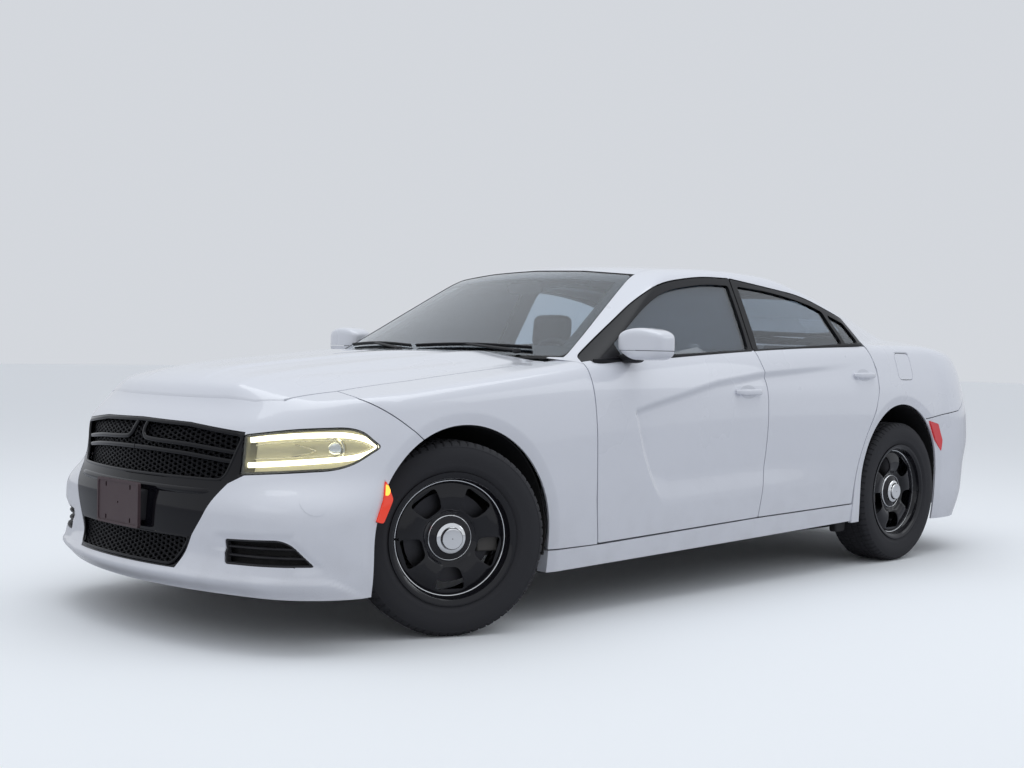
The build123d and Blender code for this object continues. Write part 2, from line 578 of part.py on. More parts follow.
FRONT_SCREEN = prism("X", WINDSHIELD, front(-1500), NOSE_X)
REAR_SCREEN = prism("X", BACKLIGHT, TAIL_X, front(-2200))
roof_panel = (CABIN - CABIN_SKIN) & block(rear(200), front(-1000), -ROOF_PANEL_Y, ROOF_PANEL_Y, roof(200), ROOF_Z + 20)
roof_panel = roof_panel - prism("X", grown(WINDSHIELD, 3), front(-1500), NOSE_X)
roof_panel = roof_panel - prism("X", grown(BACKLIGHT, 3), TAIL_X, front(-2200))
keep("roof_panel", whole(roof_panel))
screen_band = CABIN_SCREEN - CABIN_SCREEN_IN
keep("windshield", whole(screen_band & FRONT_SCREEN))
keep("rear_window", whole(screen_band & REAR_SCREEN))
COWL = [(front(-447), 0), (front(-475), 380), (front(-587), side(217)), (front(-665), side(217)),
        (front(-665), -side(217)), (front(-587), -side(217)), (front(-475), -380)]
cowl = (SKIN_SHELL & prism("Z", COWL, COWL_Z - 120, COWL_Z + 60)) - CABIN
keep("cowl_panel", whole(cowl))


# Fenders and hood

fender = (SKIN_SHELL & prism("Y", FENDER, side(560), HULL_SIDE)) - HOOD_ROOM - front_arch
fender = fender - block(front(-700), front(-566), 0, side(214), 0, ROOF_Z)
keep("fenders", both(biggest(fender - CABIN)))
hood = SKIN_SHELL & prism("Z", HOOD, COWL_Z - 260, COWL_Z + 100)
hood_rib = (LOWER_SKIN - LOWER_DEEP) & (
    prism("Z", grown(HOOD, -40), COWL_Z - 200, COWL_Z + 100) - prism("Z", grown(HOOD, -130), COWL_Z - 300, COWL_Z + 200))
keep("hood", whole(hood + hood_rib))


# Front cover, grille and lamps

LAMP_CUT = prism("X", grown(HEADLAMP, 3), nose(640), NOSE_X + 50)
GRILLE_CUT = prism("X", GRILLE, nose(330), NOSE_X + 50)
LOWER_GRILLE_CUT = prism("X", LOWER_GRILLE, nose(330), NOSE_X + 50)
INTAKE_CUT = prism("X", INTAKE, nose(420), NOSE_X + 50)
FRONT_MARKER = [(front(377), SILL_Z + 401), (front(389), SILL_Z + 336), (front(423), SILL_Z + 259),
                (front(396), SILL_Z + 253), (front(353), SILL_Z + 334)]
REAR_MARKER = [(rear(-279), SILL_Z + 532), (rear(-377), SILL_Z + 514), (rear(-425), SILL_Z + 426),
               (rear(-417), SILL_Z + 366), (rear(-350), SILL_Z + 430)]

def marker_lamp(outline, margin=0.0):
    """The left side lamp in an outline, as deep as the thin shell."""
    return prism("Y", grown(outline, margin) if margin else outline, side(250), HULL_SIDE) & THIN_SHELL


front_cover = SKIN_SHELL & prism("Y", FRONT_COVER, 0, HULL_SIDE)
front_cover = front_cover - HOOD_ROOM - front_arch - GRILLE_CUT - LOWER_GRILLE_CUT
front_cover = whole(front_cover - LAMP_CUT - INTAKE_CUT - marker_lamp(FRONT_MARKER, 1.0))
for dy, dz in PLATE_HOLES:
    front_cover = front_cover - Pos(nose(60), dy, PLATE_Z + dz) * Rot(0, 90, 0) * Cylinder(PLATE_BOLT_ROOM, 160)
keep("front_bumper", biggest(front_cover))

LAMP_FACE = lower_hull(4.0)
LAMP_BACK = lower_hull(74.0)
LAMP_CAVITY = lower_hull(60.0)
lamp_prism = prism("X", HEADLAMP, nose(640), NOSE_X + 50)
lamp_hole = prism("X", grown(HEADLAMP, -14), nose(660), NOSE_X + 50)
housing = (LAMP_FACE & lamp_prism) - LAMP_BACK - front_arch
housing = housing - ((LAMP_FACE & lamp_hole) - LAMP_CAVITY)
projector = Pos(nose(400), side(200), COWL_Z - 350) * Rot(0, 90, 0) * Cylinder(40, 150)
housing = housing + ((projector & LAMP_FACE) - LAMP_BACK)
keep("headlamps", both(biggest(housing)))
keep("headlamp_lenses", both(biggest((LOWER & lamp_prism) - LAMP_FACE)))

GRILLE_BARS = [(COWL_Z - 352, 9), (COWL_Z - 404, 9)]
LOWER_BARS = [(SILL_Z + 118, 7), (SILL_Z + 152, 7)]


def grille(outline, bars, bar_count, wall):
    """A grille: a rim just inside its outline, a backing of upright slats and bars across. Bars: height, half height."""
    rim_prism = prism("X", outline, nose(320), NOSE_X + 50) - prism("X", grown(outline, -wall), nose(330), NOSE_X + 60)
    rim = (rim_prism & LOWER_THIN) - LOWER_DEEP
    inner = prism("X", grown(outline, -wall + 2), nose(330), NOSE_X + 50) & LOWER_LAMP
    width = max(y for y, z in outline)
    low, high = min(z for y, z in outline), max(z for y, z in outline)
    net = None
    for z, half in bars:
        piece = block(nose(330), NOSE_X, -width, width, z - half, z + half)
        net = piece if net is None else net + piece
    for number in range(bar_count):
        y = -width + 2 * width * (number + 0.5) / bar_count
        net = net + block(nose(330), NOSE_X, y - 4, y + 4, low, high)
    return whole(rim + ((inner - LOWER_DEEP) & net))


keep("grille", [grille(GRILLE, GRILLE_BARS, 16, 26), grille(LOWER_GRILLE, LOWER_BARS, 12, 14)])
bracket = whole(block(nose(75), nose(17), 0, 152, PLATE_Z - 83, PLATE_Z + 83) - LOWER)
for dy, dz in PLATE_HOLES:
    bracket = bracket - Pos(nose(50), dy, PLATE_Z + dz) * Rot(0, 90, 0) * Cylinder(PLATE_HOLE_RADIUS, 120)
keep("plate_bracket", biggest(bracket))
keep("side_marker_lamps", Compound(children=[*both(biggest(marker_lamp(FRONT_MARKER))).solids(),
                                             *both(biggest(marker_lamp(REAR_MARKER))).solids()]))


# Rear cover, trunk lid and lamps

rear_cover = SKIN_SHELL & prism("Y", REAR_COVER, 0, HULL_SIDE)
rear_cover = rear_cover - rear_arch - marker_lamp(REAR_MARKER, 1.0)
plate_y, plate_low, plate_high = REAR_PLATE
plate_wall_x = tail(46)
plate_room = block(TAIL_X - 40, plate_wall_x, -plate_y, plate_y, plate_low, plate_high, 12.0)
plate_box = block(TAIL_X, plate_wall_x + 12, 0, plate_y + 12, plate_low - 12, plate_high + 12) & LOWER
rear_cover = (rear_cover + plate_box) - plate_room
rear_cover = rear_cover - block(TAIL_X - 50, tail(420), TAIL_PIPE_Y - 60, TAIL_PIPE_Y + 60, 0, TAIL_PIPE_Z + 52)
rear_cover = whole(rear_cover - block(TAIL_X - 50, tail(600), 0, side(250), 0, SILL_Z + 28))
for dy, dz in PLATE_HOLES:
    rear_cover = rear_cover - (Pos(plate_wall_x, dy, (plate_low + plate_high) / 2 + dz) * Rot(0, 90, 0)
                               * Cylinder(PLATE_HOLE_RADIUS, 60))
keep("rear_bumper", biggest(rear_cover))

lid_room = prism("Z", LID, LID_EDGE_Z, DECK_Z + 60)
band_back = LOWER - LOWER_DEEP
lid_lamp_room = block(TAIL_X - 50, tail(250), -LID_LAMP_Y, LID_LAMP_Y, *TAIL_BAND)
lid = (SKIN_SHELL & lid_room) + (band_back & lid_room & block(TAIL_X, tail(250), -HULL_SIDE, HULL_SIDE,
                                                              TAIL_BAND[0] - 16, TAIL_BAND[1] + 16))
lid = lid - (lid_lamp_room & LAMP_SHELL) - cabin_hull(-SHUT_GAP)
keep("trunk_lid", whole(lid))
keep("trunk_lid_lamp", whole(lid_lamp_room & LAMP_SHELL & lid_room))
outer_band = prism("X", [(side(330) + 2, TAIL_BAND[0] + 2), (HULL_SIDE, TAIL_BAND[0] + 14),
                         (HULL_SIDE, TAIL_BAND[1] - 14), (side(330) + 2, TAIL_BAND[1] - 2)], TAIL_X - 50, tail(248))
outer_lamp = (outer_band & LAMP_SHELL) - prism("Z", grown(LID, SHUT_GAP), LID_EDGE_Z - 10, ROOF_Z)
keep("tail_lamps", both(biggest(outer_lamp)))


# Floor, frame and wheel liners

FLOOR_LOW = SILL_Z + 8
FLOOR_TOP = FLOOR_LOW + FLOOR_WALL
BULKHEAD_X = rear(222)
TRUNK_Z = AXLE_Z + 44
TUNNEL_Y = 110.0
TUNNEL_Z = AXLE_Z + 10
TRUNK_Y = REAR_ARCH_INNER - 12
slot = block(BULKHEAD_X - 60, front(-560), -TUNNEL_Y + 6, TUNNEL_Y - 6, 0, TUNNEL_Z - 6)
floor = block(BULKHEAD_X, front(-568), -side(154), side(154), FLOOR_LOW, FLOOR_TOP) - rear_arch - mirror(
    rear_arch, about=Plane.XZ)
floor = floor + block(BULKHEAD_X, front(-590), -TUNNEL_Y, TUNNEL_Y, FLOOR_LOW, TUNNEL_Z)
floor = floor + block(BULKHEAD_X - 20, BULKHEAD_X, -TRUNK_Y, TRUNK_Y, FLOOR_LOW, TRUNK_Z + 16)
floor = floor + block(tail(180), BULKHEAD_X, -TRUNK_Y, TRUNK_Y, TRUNK_Z, TRUNK_Z + 16)
for rail_y in (-TRUNK_Y + 60, TRUNK_Y - 60):
    floor = floor + block(tail(120), BULKHEAD_X, rail_y - 40, rail_y + 40, TRUNK_Z - 30, TRUNK_Z)
keep("floor_pan", biggest(floor - slot))

RAIL_IN, RAIL_OUT = FRONT_ARCH_INNER - 90, FRONT_ARCH_INNER - 5
RAIL_Z = AXLE_Z + 60
firewall = (block(front(-590), front(-568), 0, side(255), FLOOR_TOP, COWL_Z - 22) & LOWER_SKIN) - slot
half_frame = firewall - block(front(-600), front(-500), 0, TUNNEL_Y, 0, TUNNEL_Z)
half_frame = half_frame + block(front(-568), nose(270), RAIL_IN, RAIL_OUT, RAIL_Z, RAIL_Z + 120)
half_frame = half_frame + block(front(-568), front(-500), RAIL_IN, RAIL_OUT, FLOOR_LOW, RAIL_Z + 120)
half_frame = half_frame + block(front(-568), nose(330), RAIL_OUT - 6, RAIL_OUT, RAIL_Z, AXLE_Z + 480)
half_frame = half_frame + block(front(-80), front(80), RAIL_OUT - 6, side(300), AXLE_Z + 440, AXLE_Z + 480)
half_frame = half_frame + prism("Y", [
    (front(-568), COWL_Z - 106), (front(110), COWL_Z - 166), (front(440), COWL_Z - 230),
    (front(440), COWL_Z - 270), (front(110), COWL_Z - 212), (front(-568), COWL_Z - 152)], side(340), side(290))
half_frame = half_frame + block(nose(300), nose(270), 0, RAIL_OUT, AXLE_Z - 70, AXLE_Z + 330)
keep("front_frame", whole(half_frame))


def liner(x, z, radius, inner_y, bottom, wall_from):
    """A left wheel liner: a curved roof over the wheel and, above wall_from, its inner wall."""
    outer_y = side(55)
    middle = (inner_y + outer_y) / 2
    drum = Pos(x, middle, z) * Rot(90, 0, 0) * Cylinder(radius, outer_y - inner_y)
    room = Pos(x, middle + LINER_WALL, z) * Rot(90, 0, 0) * Cylinder(radius - LINER_WALL, outer_y - inner_y)
    shell = drum - room
    shell = shell - block(x - radius, x + radius, inner_y - 10, inner_y + LINER_WALL, 0, wall_from)
    return biggest((shell - block(x - radius, x + radius, inner_y - 10, HULL_SIDE, 0, bottom)) & LOWER_SKIN)


front_liner = liner(FRONT_AXLE_X, FRONT_ARCH_Z, FRONT_ARCH_RADIUS, FRONT_ARCH_INNER + 1, SILL_Z + 70, FRONT_ARCH_Z + 600)
front_liner = front_liner - Pos(FRONT_AXLE_X, STRUT_Y, FRONT_ARCH_Z + FRONT_ARCH_RADIUS) * Cylinder(24, 120)
rear_liner = liner(REAR_AXLE_X, REAR_ARCH_Z, REAR_ARCH_RADIUS, REAR_ARCH_INNER + 1, SILL_Z + 140, REAR_ARCH_Z + 60)
keep("wheel_liners", Compound(children=[*both(front_liner).solids(), *both(rear_liner).solids()]))


# Cabin fittings

DASH = [(front(-592), COWL_Z - 40), (front(-592), COWL_Z - 420), (front(-800), COWL_Z - 420), (front(-860), COWL_Z - 300),
        (front(-930), COWL_Z - 240), (front(-940), COWL_Z - 90), (front(-860), COWL_Z - 34)]
dash = whole(prism("Y", DASH, 0, side(298)) & CABIN_RAIL)
WHEEL_HUB = (front(-1075), 370.0, BELT_Z - 88)
COLUMN_TILT = 24.0
column_dir = Vector(cos(radians(COLUMN_TILT)), 0, -sin(radians(COLUMN_TILT)))
column_start = Vector(*WHEEL_HUB) + column_dir * 26
column_end = Vector(*WHEEL_HUB) + column_dir * 240
dash = dash + rod(tuple(column_start), tuple(column_end), 32)
keep("dashboard", biggest(dash))
wheel_plane = Plane(origin=WHEEL_HUB, z_dir=-column_dir)
STEERING_RADIUS = 185.0
steering = (wheel_plane * Torus(STEERING_RADIUS, 15)) + (wheel_plane * Pos(0, 0, -6) * Cylinder(62, 36))
for angle in (0, 90, 180):
    steering = steering + wheel_plane * Rot(0, 0, angle) * Pos(STEERING_RADIUS / 2, 0, 0) * Box(STEERING_RADIUS, 34, 14)
keep("steering_wheel", biggest(steering))

SEAT_BASE = [(front(-1110), FLOOR_TOP + 140), (front(-1110), FLOOR_TOP + 285), (front(-1530), FLOOR_TOP + 245),
             (front(-1650), FLOOR_TOP + 245), (front(-1650), FLOOR_TOP + 140)]
SEAT_BACK = [(front(-1520), FLOOR_TOP + 210), (front(-1690), FLOOR_TOP + 830), (front(-1770), FLOOR_TOP + 840),
             (front(-1665), FLOOR_TOP + 200)]
seats = []
for seat_y in (-370.0, 370.0):
    seat = prism("Y", SEAT_BASE, seat_y - 255, seat_y + 255) + prism("Y", SEAT_BACK, seat_y - 245, seat_y + 245)
    seat = seat + block(front(-1790), front(-1700), seat_y - 130, seat_y + 130, FLOOR_TOP + 850, FLOOR_TOP + 1030, 30.0)
    for post_y in (seat_y - 60, seat_y + 60):
        seat = seat + block(front(-1750), front(-1735), post_y - 7, post_y + 7, FLOOR_TOP + 820, FLOOR_TOP + 870)
        seat = seat + block(front(-1560), front(-1200), post_y * 2 - seat_y - 15, post_y * 2 - seat_y + 15,
                            FLOOR_TOP, FLOOR_TOP + 150)
    seats.append(seat)
keep("front_seats", Compound(children=[s for seat in seats for s in seat.solids()]))
BENCH = [(rear(880), FLOOR_TOP), (rear(900), FLOOR_TOP + 260), (rear(490), FLOOR_TOP + 225), (rear(395), FLOOR_TOP + 790),
         (rear(240), FLOOR_TOP + 800), (rear(228), FLOOR_TOP + 200), (rear(228), FLOOR_TOP)]
bench = prism("Y", BENCH, -REAR_ARCH_INNER + 20, REAR_ARCH_INNER - 20)
bench = bench - block(rear(200), rear(920), -TUNNEL_Y - 4, TUNNEL_Y + 4, 0, TUNNEL_Z + 4)
keep("rear_bench", biggest(bench))
SHELF_Z = BELT_Z + 10
shelf = block(rear(-240), rear(236), -side(335), side(335), SHELF_Z, SHELF_Z + 16)
shelf = shelf + block(rear(206), rear(222), -REAR_ARCH_INNER + 20, REAR_ARCH_INNER - 20, TRUNK_Z + 16, SHELF_Z + 16)
keep("parcel_shelf", biggest(shelf))


# Power train, tank and exhaust

engine = block(front(-440), front(270), -270, 270, AXLE_Z - 30, AXLE_Z + 420, 20.0)
gearbox = block(front(-980), front(-420), -88, 88, AXLE_Z - 110, AXLE_Z - 6, 20.0)
keep("engine_block", biggest(engine + gearbox + block(front(-470), front(-400), -150, 150, AXLE_Z - 60, AXLE_Z + 60)))
DIFF_Z = AXLE_Z - 30
keep("propeller_shaft", rod((front(-982), 0, AXLE_Z - 60), (rear(112), 0, DIFF_Z), 34))
tank = block(rear(250), rear(640), 130, side(420), FLOOR_LOW - 60, FLOOR_LOW, 18.0)
keep("fuel_tank", biggest(tank))
PIPE_RADIUS = 26.0
PIPE_Z = FLOOR_LOW - 34


def tube_run(points, radius):
    """A bent pipe: round bars between points, with a ball at each bend."""
    run = rod(points[0], points[1], radius)
    for first, second in zip(points[1:], points[2:]):
        run = run + Pos(*first) * Sphere(radius) + rod(first, second, radius)
    return run


exhaust_route = [(front(-520), 62, PIPE_Z), (rear(-250), 62, PIPE_Z), (tail(560), TAIL_PIPE_Y - 80, TAIL_PIPE_Z - 20),
                 (tail(420), TAIL_PIPE_Y - 80, TAIL_PIPE_Z)]
pipe = tube_run(exhaust_route, PIPE_RADIUS)
pipe = pipe + block(tail(190), tail(500), TAIL_PIPE_Y - 190, TAIL_PIPE_Y + 60, TAIL_PIPE_Z - 58, TAIL_PIPE_Z + 62, 30.0)
tip = rod((tail(200), TAIL_PIPE_Y, TAIL_PIPE_Z), (tail(8), TAIL_PIPE_Y, TAIL_PIPE_Z), 42)
tip = tip - rod((tail(120), TAIL_PIPE_Y, TAIL_PIPE_Z), (tail(-10), TAIL_PIPE_Y, TAIL_PIPE_Z), 38)
keep("exhaust", both(biggest(pipe + tip)))


# Front and rear suspension, fixed to the body

KINGPIN_Y = TRACK_FRONT / 2 - KINGPIN_INSET
ARM_Z = AXLE_Z - 140
front_sub = block(front(-150), front(150), -330, 330, ARM_Z - 16, ARM_Z + 34, 10.0)
front_sub = front_sub + rod((front(-210), -400, AXLE_Z - 60), (front(-210), 400, AXLE_Z - 60), 22)
for sign in (-1, 1):
    for offset in (-140, 140):
        front_sub = front_sub + rod((front(offset), sign * 320, ARM_Z + 6), (front(0), sign * (STRUT_Y + 20), ARM_Z), 15)
        post_low, post_high = sorted((sign * RAIL_IN, sign * RAIL_OUT))
        front_sub = front_sub + block(front(offset) - 24, front(offset) + 24, *sorted((sign * 300, sign * RAIL_OUT)),
                                      ARM_Z - 10, ARM_Z + 30)
        front_sub = front_sub + block(front(offset) - 24, front(offset) + 24, post_low, post_high, ARM_Z, RAIL_Z)
    front_sub = front_sub + rod((front(0), sign * STRUT_Y, ARM_Z), (front(0), sign * STRUT_Y, AXLE_Z + 440), 18)
    front_sub = front_sub + Pos(front(0), sign * (STRUT_Y + 20), ARM_Z) * Sphere(20)
    rack_low, rack_high = sorted((sign * 330, sign * 390))
    front_sub = front_sub + block(front(-232), front(-130), rack_low, rack_high, ARM_Z, AXLE_Z - 50)
keep("front_subframe", biggest(front_sub))

HUB_RADIUS = 55.0
CALIPER_IN, CALIPER_OUT = 112.0, 196.0
CALIPER_GAP = (-11.0, 25.0)


def caliper(angle):
    """A brake caliper that straddles the disc at an angle about the wheel axis, in the wheel's own frame."""
    body = block(CALIPER_IN, CALIPER_OUT, -44, 36, -58, 58, 8.0)
    body = body - block(CALIPER_IN - 1, DISC_RADIUS + 6, *CALIPER_GAP, -60, 60)
    return Rot(0, angle, 0) * body


def hub_carrier(angle):
    """The part that carries a wheel's hub and its caliper, in the wheel's own frame."""
    carrier = Pos(0, -54, 0) * Rot(90, 0, 0) * Cylinder(HUB_RADIUS, 70)
    reach = block(0, CALIPER_OUT - 20, -44, -24, -40, 40)
    return carrier + Rot(0, angle, 0) * reach + caliper(angle)


carrier_y = TRACK_REAR / 2
rear_sub = None
for sign in (-1, 1):
    side_part = Pos(REAR_AXLE_X, sign * carrier_y, AXLE_Z) * (hub_carrier(0) if sign > 0 else mirror(
        hub_carrier(0), about=Plane.XZ))
    side_part = side_part + rod((REAR_AXLE_X, sign * 60, AXLE_Z - 24), (REAR_AXLE_X, sign * (carrier_y - 60), AXLE_Z), 15)
    for offset in (-170, 170):
        side_part = side_part + rod((rear(offset), sign * 330, AXLE_Z - 54), (REAR_AXLE_X, sign * (carrier_y - 62),
                                                                            AXLE_Z - 36), 14)
    rear_sub = side_part if rear_sub is None else rear_sub + side_part
for offset in (-190, 150):
    rear_sub = rear_sub + block(rear(offset), rear(offset + 40), -TRUNK_Y + 102, TRUNK_Y - 102, TRUNK_Z - 36, TRUNK_Z)
    for hanger_y in (-330, 330):
        rear_sub = rear_sub + block(rear(offset), rear(offset + 40), hanger_y - 20, hanger_y + 20, AXLE_Z - 66, TRUNK_Z - 30)
rear_sub = rear_sub + block(rear(-180), rear(104), -70, 70, DIFF_Z - 70, DIFF_Z + 66, 20.0)
keep("rear_subframe", biggest(rear_sub))


# Wheels, in their own frame: centre at the origin, outer side towards +Y

TYRE_PROFILE = [(BEAD_RADIUS + 0.5, 0.84), (FLANGE_RADIUS + 4, 0.84), (FLANGE_RADIUS + 16, 0.94), (300, 1.0),
                (TYRE_RADIUS - 25, 0.96), (TYRE_RADIUS - 8, 0.86), (TYRE_RADIUS, 0.7)]
tyre_half = [(r, share * TYRE_WIDTH / 2) for r, share in TYRE_PROFILE]
tyre = turned(tyre_half + [(r, -y) for r, y in reversed(tyre_half)])

RIM_OUTER = [(FLANGE_RADIUS, 5), (FLANGE_RADIUS, -1), (BEAD_RADIUS, -1), (BEAD_RADIUS, -26), (216, -38)]
RIM_INNER = [(209, -38), (222, -22), (222, 0), (240, 5)]
barrel = [(r, RIM_HALF_WIDTH + y) for r, y in RIM_OUTER] + [(r, -RIM_HALF_WIDTH - y) for r, y in reversed(RIM_OUTER)]
barrel = barrel + [(r, -RIM_HALF_WIDTH - y) for r, y in reversed(RIM_INNER)]
barrel = barrel + [(r, RIM_HALF_WIDTH + y) for r, y in RIM_INNER]
DISC_FACE = [(212, 58), (195, 64), (150, 74), (110, 66), (84, 48), (50, 48)]
DISC_BACK = [(50, 42), (84, 42), (112, 59), (150, 66), (195, 56), (212, 50)]
wheel_disc = turned(DISC_FACE + DISC_BACK)
vent = prism("Y", [(-62, -190), (62, -190), (36, -106), (-36, -106)], 0, 120, 13.0)
for number in range(VENT_COUNT):
    wheel_disc = wheel_disc - Rot(0, 360 / VENT_COUNT * number, 0) * vent
CAP = [(0, 90), (38, 90), (41, 86), (43, 76), (55, 72), (57, 66), (70, 60), (80, 57), (CAP_RADIUS, 52), (CAP_RADIUS, 48),
       (0, 48)]
BRAKE_DISC = [(50, 42), (78, 42), (78, 20), (DISC_RADIUS, 20), (DISC_RADIUS, -6), (70, -6), (70, 34), (50, 34)]
wheel_solids = [biggest(turned(barrel) + wheel_disc), turned(CAP), turned(BRAKE_DISC)]
knuckle = hub_carrier(180)


def at_front(shape, sign):
    """A wheel's piece carried to a front wheel, steered as it rests; sign is 1 on the left and -1 on the right."""
    if sign < 0:
        shape = mirror(shape, about=Plane.XZ)
    return (Pos(FRONT_AXLE_X, sign * KINGPIN_Y, AXLE_Z) * Rot(0, 0, -STEER_REST) * Pos(0, sign * KINGPIN_INSET, 0)
            * shape)


def at_rear(shape, sign):
    """A wheel's piece carried to a rear wheel."""
    if sign < 0:
        shape = mirror(shape, about=Plane.XZ)
    return Pos(REAR_AXLE_X, sign * TRACK_REAR / 2, AXLE_Z) * shape


for side_name, sign in (("left", 1), ("right", -1)):
    for axle_name, carry in (("front", at_front), ("rear", at_rear)):
        keep(f"tyre_{axle_name}_{side_name}", carry(tyre, sign))
        keep(f"wheel_{axle_name}_{side_name}", [carry(solid, sign) for solid in wheel_solids])
    keep(f"knuckle_{side_name}", at_front(knuckle, sign))


# Wipers

def screen_point(y, z, lift):
    """A point above the windshield, lifted from the glass."""
    low, high = GLASSHOUSE[0], GLASSHOUSE[1]
    share = (z - low[0]) / (high[0] - low[0])
    middle, corner, corner_y = [low[k] + share * (high[k] - low[k]) for k in (1, 2, 3)]
    return middle - (middle - corner) * (y / corner_y) ** 2 + 0.5 * lift, y, z + 0.87 * lift


wipers = []
for inner_y, outer_y, pivot_y in ((-20.0, 590.0, 560.0), (-640.0, -60.0, -90.0)):
    blade = tube_run([screen_point(y, COWL_Z + 16, 15) for y in
                      (inner_y, inner_y + (outer_y - inner_y) / 2, outer_y)], 7.0)
    arm = tube_run([screen_point(pivot_y, COWL_Z - 6, 16), screen_point((inner_y + outer_y) / 2, COWL_Z + 18, 24)], 6.0)
    wiper = blade + arm
    if inner_y < -outer_y:
        wiper = mirror(mirror(wiper, about=Plane.XZ) - LOWER - CABIN, about=Plane.XZ)
    else:
        wiper = wiper - LOWER - CABIN
    wipers.append(biggest(wiper))
keep("wipers", Compound(children=wipers))

os.makedirs("parts", exist_ok=True)
for name, solids in parts.items():
    export_step(Compound(children=solids), f"parts/{name}.step")
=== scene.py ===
"""The looks of a four-door patrol saloon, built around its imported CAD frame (metres, +X forward, +Z up)."""

import json
import logging
import math
from dataclasses import dataclass, field
from enum import Enum
from typing import Callable, Optional, Sequence

import bmesh
import bpy
import numpy as np
from mathutils import Matrix, Vector

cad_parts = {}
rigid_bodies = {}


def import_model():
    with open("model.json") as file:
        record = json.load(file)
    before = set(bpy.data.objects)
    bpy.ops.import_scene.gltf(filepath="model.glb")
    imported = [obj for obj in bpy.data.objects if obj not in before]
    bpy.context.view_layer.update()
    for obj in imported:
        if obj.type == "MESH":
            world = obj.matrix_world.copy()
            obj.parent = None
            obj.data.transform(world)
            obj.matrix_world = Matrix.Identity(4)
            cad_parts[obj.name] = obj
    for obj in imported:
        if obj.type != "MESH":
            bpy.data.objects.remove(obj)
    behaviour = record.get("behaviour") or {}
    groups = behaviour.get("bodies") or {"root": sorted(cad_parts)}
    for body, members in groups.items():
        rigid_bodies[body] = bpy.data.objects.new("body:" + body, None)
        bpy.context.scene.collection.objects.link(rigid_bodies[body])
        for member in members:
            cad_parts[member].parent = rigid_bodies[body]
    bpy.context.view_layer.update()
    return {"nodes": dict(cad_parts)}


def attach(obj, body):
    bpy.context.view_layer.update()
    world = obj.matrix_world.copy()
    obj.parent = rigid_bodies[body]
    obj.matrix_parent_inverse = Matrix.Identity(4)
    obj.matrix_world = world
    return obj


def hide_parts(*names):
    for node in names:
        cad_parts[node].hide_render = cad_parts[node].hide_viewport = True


LOG = logging.getLogger("patrol_car")
Outline = list[tuple[float, float]]
Arrays = tuple[np.ndarray, np.ndarray]
Solid = tuple[np.ndarray, np.ndarray, list[list[int]]]


class Axis(Enum):
    """The axis that an outline is carried along, with the order that puts its columns in place."""

    X = (2, 0, 1)
    Y = (0, 2, 1)
    Z = (0, 1, 2)


class Axle(Enum):
    """The two axles, by the words in the names of their wheels."""

    FRONT = "front"
    REAR = "rear"


# Driving sizes in millimetres, as in the part's source
NOSE_X, TAIL_X, FRONT_AXLE_X, REAR_AXLE_X = 2520.0, -2520.0, 1590.0, -1462.0
HALF_WIDTH, ROOF_Z, COWL_Z, DECK_Z, BELT_Z, SILL_Z = 952.5, 1482.0, 1056.0, 1155.0, 1018.0, 192.0
AXLE_Z, BELT_RISE = 360.0, 102.0
BELT_FRONT_X, BELT_REAR_X = FRONT_AXLE_X - 720.0, REAR_AXLE_X + 340.0
SHUT_GAP, STEER_REST = 6.0, 23.3
FRONT_ARCH, REAR_ARCH = (FRONT_AXLE_X, 350.0, 428.0), (REAR_AXLE_X, 425.0, 392.0)


def nose(back: float) -> float:
    """X of a place set back from the front end."""
    return NOSE_X - back


def front(ahead: float) -> float:
    """X of a place ahead of the front axle."""
    return FRONT_AXLE_X + ahead


def rear(ahead: float) -> float:
    """X of a place ahead of the rear axle."""
    return REAR_AXLE_X + ahead


def tail(ahead: float) -> float:
    """X of a place ahead of the rear end."""
    return TAIL_X + ahead


def side(inward: float) -> float:
    """Y of a place inside the widest part of the left side."""
    return HALF_WIDTH - inward


def belt(x: float) -> float:
    """Z of the lower edge of the side windows at x."""
    return BELT_Z + BELT_RISE * (BELT_FRONT_X - x) / (BELT_FRONT_X - BELT_REAR_X)


def roof(drop: float) -> float:
    """Z of a place below the top of the roof."""
    return ROOF_Z - drop


